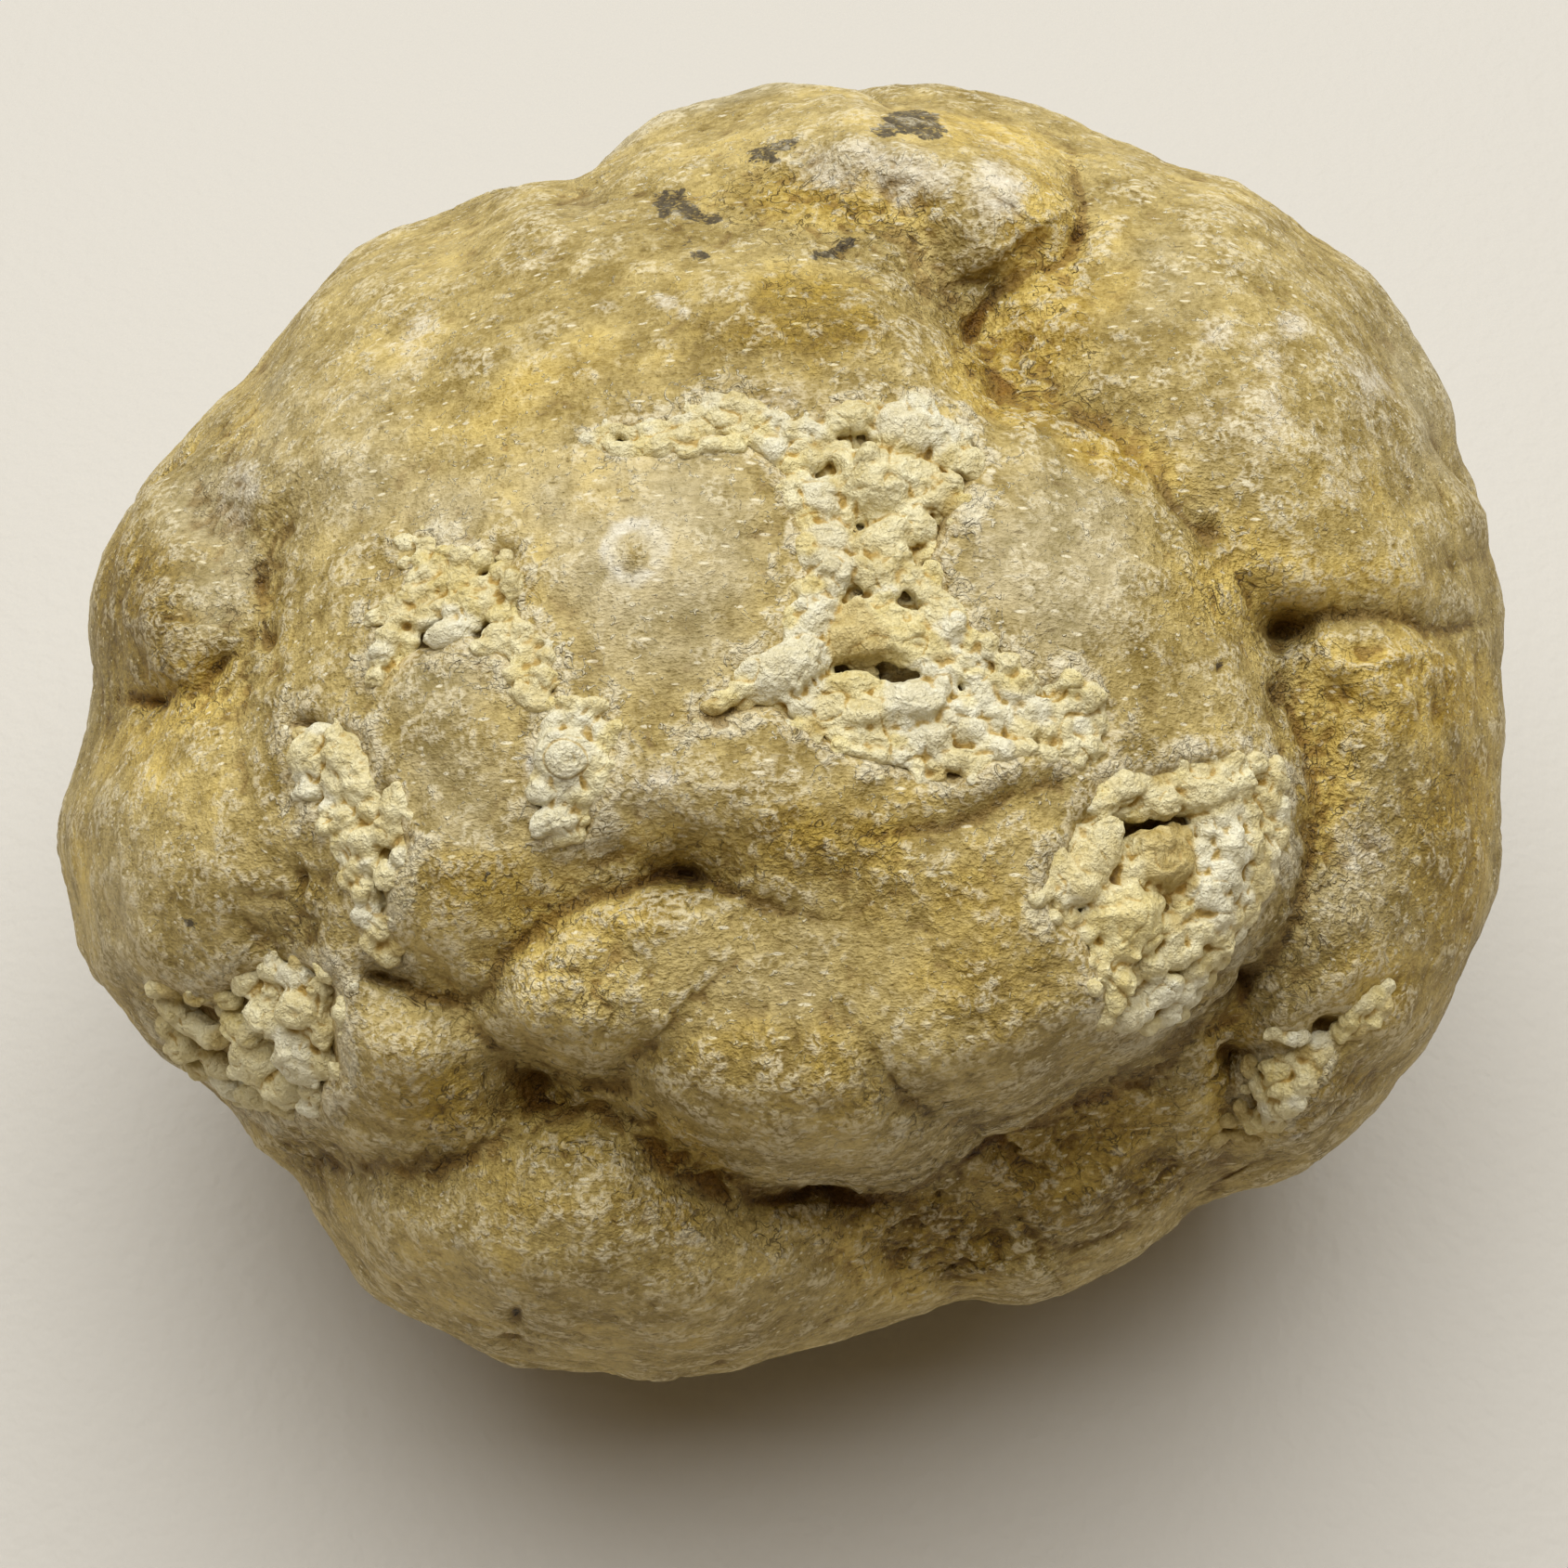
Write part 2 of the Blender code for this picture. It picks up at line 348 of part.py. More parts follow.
def line_depth(u, v, kind, points, sharp=1.0):
    """How deep this line presses the surface in, in mm."""
    line = run_through(points)
    margin = 5.0 * line[:, 3:5].max()
    near = (u > line[:, 0].min() - margin) & (u < line[:, 0].max() + margin) & (v > line[:, 1].min() - margin) & (v < line[:, 1].max() + margin)
    out = np.zeros(len(u))
    if not near.any():
        return out
    d, side, values = from_line(u[near], v[near], line)
    d = np.sqrt(d * d + CUSP * CUSP) - 0.6 * CUSP
    deep, high, low = values[:, 0], np.maximum(values[:, 1], 1), np.maximum(values[:, 2], 1)

    def roll(width):
        q = np.clip(1 - d / width, 0, 1)
        return 1 - np.sqrt(np.maximum(1 - q * q, 0))

    if kind == "valley":
        w = np.where(side > 0, high, low)
        h = np.exp(-(d / w) ** 2)
    elif kind == "fold":
        # A rolled side is nearly a quarter circle, and reaches out to 1.5 widths
        h = np.where(side > 0, roll(1.5 * high), roll(1.5 * low))
        h = 0.75 * h + 0.25 * np.exp(-(d / np.where(side > 0, high, low)) ** 2)
    else:
        floor = (1 + d / (0.45 * low)) * np.exp(-d / (0.45 * low))
        h = np.where(side > 0, 0.8 * roll(1.25 * high) + 0.2 * np.exp(-(d / high) ** 2), floor)
    out[near] = deep * h
    return out


def cliff_depth(u, v, points):
    """How far the surface stays back past this line, in mm."""
    line = run_through(points)
    d, side, values = from_line(u, v, line)
    deep, high, low = values[:, 0], np.maximum(values[:, 1], 1), np.maximum(values[:, 2], 1)
    q = np.clip(1 - d / (1.3 * high), 0, 1)
    return deep * np.where(side > 0, 1 - np.sqrt(np.maximum(1 - q * q, 0)), np.exp(-(d / low) ** 2))


def dome_height(u, v, dome):
    cu, cv, ru, rv, turn, height = dome
    a = math.radians(turn)
    x = (u - cu) * math.cos(a) + (v - cv) * math.sin(a)
    y = -(u - cu) * math.sin(a) + (v - cv) * math.cos(a)
    return height * np.exp(-((x / ru) ** 2 + (y / rv) ** 2))


# ---------------------------------------------------------------- the body
def first_form(d):
    """The plain rounded form before folds, for unit directions d, with its normals."""
    half = np.array([WIDTH, DEPTH, HEIGHT + FOOT_CUT]) / 2
    power = (ROUND + (LOW_ROUND - ROUND) * ramp(0.2, -0.5, d[:, 2]))[:, None]
    q = np.abs(d / half) + 1e-9
    r = (q ** power).sum(1) ** (-1 / power[:, 0])
    p = d * r[:, None]
    n = np.sign(p) * ((np.abs(p / half) + 1e-9) ** (power - 1)) / half
    n /= np.linalg.norm(n, axis=1)[:, None]
    return p + MIDDLE - np.array([0, 0, FOOT_CUT / 2]), n


def outline_wanted(bins):
    """The outline's reach from its middle in this many directions on the chart."""
    cu, cv = OUTLINE_MIDDLE
    ring = run_through(OUTLINE + OUTLINE[:1], 4)
    angle = np.arctan2(ring[:-1, 1] - cv, ring[:-1, 0] - cu)
    reach = np.hypot(ring[:-1, 0] - cu, ring[:-1, 1] - cv)
    order = np.argsort(angle)
    centres = (np.arange(bins) + 0.5) / bins * 2 * math.pi - math.pi
    return centres, np.interp(centres, angle[order], reach[order], period=2 * math.pi)


def outline_step(p, centres, edge, scale, broad):
    """Moves points sideways, as the eye sees them, by one step of the fit."""
    cu, cv = OUTLINE_MIDDLE
    u, v, depth = TOP.project(p)
    a = np.arctan2(v - cv, u - cu)
    r = np.hypot(u - cu, v - cv)
    near = np.interp(a, centres, edge, period=2 * math.pi)
    fine = np.interp(a, centres, scale, period=2 * math.pi)
    soft = np.interp(a, centres, broad, period=2 * math.pi)
    at = np.minimum(r / near, 1.05)
    k = ramp(0.80, 1.0, at)
    factor = 1 + ((soft * (1 - k) + fine * k) - 1) * ramp(0.1, 1.0, at) ** 1.2
    return TOP.place(cu + (u - cu) * factor, cv + (v - cv) * factor, depth)


def fit_outline(start, rounds=5, bins=240, samples=160000):
    """Steps that bring the edge of the form, as the eye sees it, to OUTLINE. start gives the form for unit directions."""
    i = np.arange(samples)
    z = 1 - (2 * i + 1) / samples
    turn = i * math.pi * (3 - math.sqrt(5))
    s = np.sqrt(1 - z * z)
    p = start(np.stack([s * np.cos(turn), s * np.sin(turn), z], 1))
    # Only points near the edge count.
    cu, cv = OUTLINE_MIDDLE
    centres, want = outline_wanted(bins)
    steps = []
    for _ in range(rounds):
        u, v, _ = TOP.project(p)
        a = np.arctan2(v - cv, u - cu)
        r = np.hypot(u - cu, v - cv)
        slot = np.minimum(((a + math.pi) / (2 * math.pi) * bins).astype(int), bins - 1)
        edge = np.zeros(bins)
        np.maximum.at(edge, slot, r)
        scale = want / edge
        for _ in range(3):
            scale = (np.roll(scale, 1) + 2 * scale + np.roll(scale, -1)) / 4
        # Away from the edge only the broad part of the change is felt, so it leaves no rays on the surface.
        broad = scale
        for _ in range(60):
            broad = (np.roll(broad, 1) + 2 * broad + np.roll(broad, -1)) / 4
        steps.append((centres, edge, scale, broad))
        p = outline_step(p, *steps[-1])
    return steps

# The knobs of the broken-open patches on the chart: (u, v, half length, half width, turn in degrees, tint).
# Tint 0 is cream, 1 white, 2 yellow, 3 tan.
KNOBS = {
    "A": [
        (632, 473, 9, 6, 0, 1), (648, 468, 8, 6, 0, 0), (664, 466, 9, 7, 0, 0), (680, 470, 8, 6, 0, 2),
        (696, 466, 11, 8, 0, 0), (716, 464, 10, 7, 0, 0), (736, 458, 12, 8, 0, 1), (756, 450, 12, 9, -20, 0),
        (776, 441, 14, 9, 0, 0), (796, 448, 12, 9, 20, 0), (812, 458, 12, 10, 0, 2), (826, 470, 14, 10, 30, 0),
        (846, 474, 12, 10, 0, 0), (862, 486, 13, 11, 0, 0), (874, 500, 12, 12, 0, 2), (884, 478, 12, 10, 0, 0),
        (872, 462, 12, 8, 0, 1), (900, 492, 14, 11, 0, 0), (919, 456, 22, 14, -10, 0), (897, 466, 10, 9, 0, 1),
        (979, 473, 34, 28, 0, 1), (954, 528, 44, 34, 20, 0), (938, 506, 18, 14, 0, 0), (1018, 500, 14, 17, 0, 0),
        (1030, 480, 13, 13, 0, 1), (1046, 505, 12, 15, 0, 0), (1004, 540, 18, 16, 0, 0), (1020, 528, 12, 12, 0, 0),
        (884, 545, 18, 22, 0, 1), (866, 538, 10, 14, 0, 0), (903, 530, 14, 14, 0, 0), (866, 562, 10, 12, 0, 2),
        (901, 558, 8, 11, 20, 3), (913, 563, 8, 10, -20, 3), (926, 556, 9, 9, 0, 3), (943, 560, 10, 9, 0, 2),
        (961, 563, 13, 10, 0, 0), (980, 560, 12, 12, 0, 0), (994, 574, 10, 14, 0, 0),
        (888, 590, 23, 20, 0, 1), (898, 616, 22, 15, 20, 1), (876, 606, 12, 12, 0, 0), (866, 590, 9, 12, 0, 2),
        (946, 593, 30, 22, -20, 0), (939, 620, 22, 19, 0, 0), (951, 643, 15, 13, 0, 1), (962, 612, 17, 22, 0, 0),
        (891, 639, 13, 12, 0, 0), (888, 656, 15, 12, 0, 0), (871, 640, 11, 14, 0, 2), (864, 660, 10, 12, 0, 0),
        (874, 674, 26, 14, -45, 1), (858, 684, 14, 11, -40, 0), (850, 668, 9, 11, 0, 2),
        (979, 628, 16, 12, 50, 0), (998, 645, 22, 13, 50, 0), (1014, 660, 20, 14, 50, 0), (1026, 680, 18, 19, 0, 1),
        (1000, 664, 9, 15, -20, 2), (988, 690, 12, 11, 0, 3), (1006, 700, 15, 13, 0, 2), (999, 678, 7, 6, 0, 0),
        (920, 694, 32, 20, 5, 3), (944, 678, 24, 22, 0, 2), (968, 694, 22, 19, 0, 2), (930, 664, 18, 14, 0, 0),
        (955, 664, 15, 12, 0, 0), (908, 678, 14, 12, 0, 2), (974, 672, 14, 12, 0, 2), (986, 712, 13, 10, 0, 3),
        (887, 706, 9, 16, 15, 3), (845, 724, 42, 22, -32, 1), (822, 738, 18, 12, -20, 1), (868, 716, 14, 15, -30, 0),
        (812, 726, 14, 12, 0, 2), (798, 742, 14, 9, 0, 0), (782, 752, 13, 8, 0, 2), (768, 762, 12, 7, 0, 3),
        (890, 730, 8, 8, 0, 3), (923, 717, 10, 8, 0, 2), (937, 729, 9, 8, 0, 0),
        (916, 742, 28, 14, 8, 2), (884, 748, 16, 12, -10, 0), (946, 748, 13, 11, 0, 2), (900, 762, 24, 14, 0, 0),
        (866, 766, 16, 11, -15, 0), (928, 772, 26, 17, 5, 0), (955, 768, 17, 15, 0, 1), (983, 762, 30, 20, 0, 1),
        (1010, 748, 14, 14, 0, 0), (1004, 728, 11, 11, 0, 2), (1022, 728, 12, 12, 0, 0), (1022, 710, 11, 11, 0, 0),
        (881, 778, 13, 9, 0, 1), (848, 752, 12, 9, 0, 0), (832, 756, 12, 8, 0, 2), (901, 791, 11, 8, 0, 2),
        (922, 796, 12, 9, 0, 0), (944, 798, 13, 10, 0, 0), (966, 800, 14, 10, 0, 2), (984, 806, 12, 10, 0, 0),
        (1002, 800, 18, 16, 0, 1), (1034, 820, 15, 12, 0, 0), (1018, 782, 14, 13, 0, 0), (1046, 792, 20, 14, 20, 1),
        (1072, 776, 18, 15, 0, 1), (1038, 766, 14, 14, 0, 0), (1054, 752, 14, 14, 0, 1), (1040, 714, 12, 12, 0, 0),
        (1059, 706, 12, 10, 0, 1), (1050, 732, 12, 12, 0, 2), (1072, 738, 14, 12, 0, 0), (1091, 752, 14, 15, 0, 1),
        (1108, 770, 19, 14, -15, 1), (1098, 790, 16, 13, 0, 0), (1120, 790, 14, 13, 0, 0), (1134, 768, 17, 14, 0, 0),
        (1153, 736, 13, 12, 0, 2), (1172, 752, 13, 14, 0, 0), (1154, 758, 12, 12, 0, 0), (1159, 784, 15, 14, 0, 1),
        (1140, 790, 12, 12, 0, 0), (1172, 806, 15, 11, 0, 0), (1148, 808, 13, 10, 0, 0), (1182, 782, 10, 13, 0, 0),
        (1064, 806, 14, 11, 0, 0), (1084, 812, 13, 11, 0, 1), (1104, 808, 13, 9, 0, 0), (1052, 826, 13, 10, 0, 0),
        (1010, 824, 13, 10, 0, 0), (990, 826, 12, 9, 0, 0), (968, 820, 12, 8, 0, 1), (946, 816, 11, 8, 0, 0),
        (924, 812, 10, 7, 0, 0), (904, 806, 9, 7, 0, 2), (1128, 812, 12, 9, 0, 0), (1086, 716, 11, 10, 0, 0),
        (1104, 736, 11, 11, 0, 0), (1066, 690, 10, 9, 0, 0), (1046, 690, 10, 10, 0, 2),
    ],
    "B": [
        (440, 585, 11, 9, 0, 0), (462, 592, 13, 9, 20, 0), (480, 600, 11, 9, 0, 2), (500, 602, 12, 10, 0, 0),
        (521, 608, 10, 9, 0, 0), (548, 604, 10, 9, 0, 0), (455, 606, 10, 9, 0, 2), (465, 622, 13, 11, 0, 0),
        (486, 618, 10, 10, 0, 1), (448, 626, 11, 10, 0, 0), (465, 645, 13, 12, 0, 1), (444, 648, 12, 11, 0, 0),
        (426, 658, 13, 10, -20, 0), (408, 668, 12, 9, -20, 0), (484, 640, 10, 10, 0, 2), (497, 650, 12, 10, 0, 0),
        (554, 632, 13, 15, 0, 0), (540, 622, 10, 10, 0, 2), (529, 652, 18, 14, 30, 0), (545, 668, 15, 12, 0, 2),
        (520, 634, 9, 9, 0, 2), (436, 672, 14, 11, 0, 0), (422, 690, 13, 12, 0, 0), (412, 708, 12, 13, 0, 1),
        (484, 684, 22, 13, -15, 1), (460, 672, 14, 11, 0, 0), (506, 674, 13, 11, 0, 2), (444, 694, 12, 9, 0, 0),
        (540, 688, 14, 11, 20, 0), (556, 700, 15, 12, 20, 0), (572, 716, 15, 13, 20, 0), (586, 734, 13, 13, 0, 0),
        (560, 728, 12, 12, 0, 2), (580, 756, 12, 11, 0, 0), (562, 748, 11, 10, 0, 0), (404, 732, 10, 10, 0, 0),
        (566, 680, 12, 11, 0, 0), (590, 708, 10, 10, 0, 0), (436, 608, 9, 8, 0, 0), (508, 622, 9, 8, 0, 0),
    ],
    "C": [
        (325, 792, 9, 8, 0, 3), (341, 817, 19, 21, 0, 0), (382, 822, 30, 22, 60, 0), (392, 846, 20, 17, 40, 0),
        (367, 850, 13, 18, -20, 1), (334, 852, 15, 13, 0, 1), (359, 873, 10, 9, 0, 0), (380, 884, 18, 15, 20, 0),
        (406, 872, 14, 12, 0, 0), (427, 868, 14, 18, 0, 0), (423, 900, 14, 14, 0, 0), (402, 908, 17, 14, 0, 0),
        (382, 908, 13, 11, 0, 2), (404, 930, 14, 12, 0, 1), (386, 936, 11, 12, 0, 0), (418, 944, 12, 13, 0, 0),
        (396, 960, 13, 13, 0, 0), (412, 972, 12, 12, 0, 0), (395, 985, 13, 12, 0, 1), (414, 1000, 12, 13, 0, 0),
        (400, 1016, 11, 12, 0, 0), (420, 1026, 12, 11, 0, 0), (352, 792, 16, 9, 0, 1), (374, 796, 12, 8, 0, 0),
        (352, 892, 10, 10, 0, 0), (366, 912, 9, 10, 0, 0), (432, 922, 9, 11, 0, 1), (372, 948, 9, 10, 0, 0),
    ],
    "D": [
        (286, 1137, 29, 25, 0, 0), (331, 1131, 25, 27, 0, 1), (315, 1165, 30, 18, -10, 0), (337, 1086, 25, 20, 20, 0),
        (296, 1088, 22, 19, 0, 0), (262, 1100, 16, 14, 0, 2), (216, 1096, 30, 13, 20, 0), (236, 1112, 16, 12, 0, 3),
        (203, 1127, 16, 13, 0, 0), (241, 1140, 16, 14, 0, 0), (273, 1057, 16, 13, 0, 0), (250, 1072, 14, 10, 0, 2),
        (327, 1051, 19, 13, 0, 1), (299, 1043, 16, 12, 0, 0), (304, 1066, 14, 12, 0, 0), (350, 1062, 13, 11, 0, 0),
        (190, 1082, 16, 11, 20, 0), (182, 1108, 12, 14, 0, 0), (222, 1146, 16, 12, 0, 0), (252, 1164, 18, 13, 0, 1),
        (282, 1176, 20, 13, 0, 0), (312, 1190, 20, 10, 0, 0), (345, 1172, 15, 14, 0, 0), (352, 1110, 13, 16, 0, 0),
        (354, 1142, 12, 16, 0, 0), (276, 1110, 13, 12, 0, 0), (312, 1108, 13, 12, 0, 2), (262, 1184, 14, 9, 0, 0),
        (336, 1192, 14, 9, 0, 1), (368, 1090, 10, 11, 0, 0), (168, 1064, 11, 9, 0, 0), (210, 1076, 12, 8, 0, 3),
    ],
    "E": [
        (1203, 849, 19, 14, 0, 0), (1226, 843, 14, 10, 0, 0), (1240, 862, 23, 16, 0, 0), (1262, 843, 16, 12, 0, 2),
        (1289, 855, 30, 21, -10, 0), (1308, 836, 14, 12, 0, 0), (1324, 823, 14, 12, 0, 0), (1327, 846, 17, 15, 0, 0),
        (1348, 824, 14, 12, 0, 0), (1362, 838, 17, 16, 0, 0), (1354, 862, 16, 14, 0, 0), (1371, 876, 13, 18, 0, 1),
        (1338, 876, 15, 13, 0, 0), (1318, 872, 14, 12, 0, 2), (1186, 868, 13, 14, 0, 0), (1170, 886, 12, 15, 20, 0),
        (1218, 876, 15, 10, 0, 2), (1174, 929, 40, 18, -58, 0), (1160, 908, 16, 14, -50, 0), (1155, 954, 23, 19, 0, 1),
        (1140, 940, 13, 18, 0, 0), (1141, 966, 14, 13, 0, 0), (1194, 916, 12, 12, 0, 2), (1238, 929, 31, 30, 0, 3),
        (1262, 904, 17, 14, 0, 3), (1214, 944, 16, 16, 0, 2), (1206, 989, 35, 27, 15, 2), (1186, 970, 17, 14, 0, 2),
        (1228, 972, 18, 15, 0, 0), (1178, 988, 13, 13, 0, 0), (1203, 1024, 17, 14, 0, 0), (1226, 1012, 15, 14, 0, 2),
        (1257, 1027, 25, 14, -10, 0), (1254, 1002, 16, 15, 0, 3), (1236, 1040, 14, 12, 0, 0),
        (1305, 890, 25, 20, 70, 1), (1312, 912, 24, 24, 0, 1), (1292, 924, 18, 20, 0, 1), (1306, 942, 24, 22, 0, 1),
        (1290, 962, 22, 22, 0, 1), (1296, 984, 20, 20, 0, 1), (1280, 1002, 20, 17, 0, 0), (1274, 946, 14, 16, 0, 0),
        (1268, 976, 14, 14, 0, 2), (1337, 912, 16, 18, 0, 0), (1350, 894, 14, 14, 0, 0), (1356, 920, 14, 16, 0, 1),
        (1340, 940, 15, 16, 0, 0), (1354, 950, 13, 16, 0, 0), (1330, 964, 16, 16, 0, 1), (1320, 986, 16, 15, 0, 0),
        (1306, 1008, 16, 15, 0, 0), (1294, 1028, 15, 14, 0, 0), (1278, 1046, 16, 14, 0, 1), (1264, 1064, 17, 13, 0, 1),
        (1241, 1062, 24, 16, -15, 1), (1250, 1084, 18, 14, 0, 1), (1226, 1082, 16, 13, 0, 0), (1209, 1094, 17, 13, 0, 1),
        (1232, 1100, 15, 11, 0, 0), (1196, 1078, 13, 12, 0, 2), (1206, 1056, 14, 13, 0, 2), (1187, 1047, 10, 12, 0, 0),
        (1182, 1030, 10, 11, 0, 0), (1168, 1005, 10, 10, 0, 0), (1150, 990, 11, 9, 0, 0), (1136, 988, 8, 7, 0, 0),
        (1117, 970, 9, 8, 0, 0), (1178, 1064, 8, 9, 0, 0), (1190, 1100, 9, 9, 0, 0), (1374, 900, 11, 14, 0, 0),
        (1366, 936, 10, 13, 0, 1), (1344, 980, 11, 13, 0, 0), (1328, 1006, 12, 12, 0, 1), (1310, 1032, 12, 12, 0, 0),
        (1296, 1052, 12, 11, 0, 0), (1282, 1072, 12, 10, 0, 1), (1266, 1090, 12, 10, 0, 0),
    ],
    "F": [
        (609, 820, 27, 26, 0, 1), (590, 868, 22, 22, 0, 1), (592, 794, 17, 9, -60, 1), (606, 778, 18, 10, -20, 1),
        (628, 776, 18, 11, 10, 1), (648, 790, 16, 12, 40, 1), (640, 760, 16, 8, 0, 0), (616, 756, 14, 6, 10, 0),
        (664, 782, 9, 7, 0, 2), (598, 850, 20, 12, 20, 1), (626, 858, 16, 12, 0, 0), (612, 886, 13, 9, -10, 0),
        (630, 880, 11, 8, 0, 2), (604, 904, 9, 8, 0, 0), (620, 900, 11, 8, 0, 0), (582, 890, 9, 12, 20, 1),
        (646, 838, 10, 16, 0, 0), (578, 838, 7, 10, 0, 0), (592, 758, 8, 7, 0, 2), (642, 820, 12, 14, 0, 1),
    ],
    "G": [
        (1456, 1092, 12, 10, -30, 0), (1468, 1080, 9, 8, 0, 0), (1443, 1113, 9, 8, 0, 0), (1466, 1110, 12, 8, -20, 0),
        (1484, 1102, 9, 7, 0, 0), (1480, 1066, 10, 8, -30, 0), (1497, 1056, 9, 7, 0, 0), (1372, 1150, 18, 13, 0, 2),
        (1392, 1142, 14, 11, 0, 0), (1408, 1150, 13, 11, 0, 2), (1360, 1168, 14, 13, 0, 0), (1384, 1170, 17, 14, 0, 2),
        (1404, 1166, 12, 11, 0, 0), (1366, 1190, 14, 13, 0, 1), (1388, 1190, 13, 11, 0, 0), (1352, 1206, 12, 11, 0, 2),
        (1374, 1208, 12, 10, 0, 0), (1396, 1186, 11, 9, 0, 1), (1424, 1138, 12, 9, -20, 0), (1420, 1122, 12, 8, -10, 1),
        (1396, 1116, 14, 9, 0, 1), (1376, 1112, 13, 9, 0, 0), (1350, 1150, 10, 12, 0, 3), (1310, 1225, 12, 14, 0, 3),
        (1300, 1236, 16, 9, 30, 0), (1284, 1226, 13, 8, 20, 0), (1312, 1206, 10, 12, 0, 3), (1296, 1212, 10, 9, 0, 2),
        (1350, 1226, 12, 9, 0, 3), (1336, 1222, 8, 12, 0, 3), (1338, 1194, 8, 12, 0, 3), (1268, 1234, 12, 7, 0, 2),
    ],
}


# The sides that the eye point doesn't see, laid out in the same way from other eye points. The stone's middle is at
# (844, 844). REAR: u runs along -X. LEFT (from -X): u runs along -Y. RIGHT (from +X): u runs along +Y. UNDER: from below.
REAR = Chart(180, 8, EYE_DISTANCE, MIDDLE)
LEFT = Chart(270, 0, EYE_DISTANCE, MIDDLE)
RIGHT = Chart(90, 0, EYE_DISTANCE, MIDDLE)
UNDER = Chart(0, -78, EYE_DISTANCE, MIDDLE)

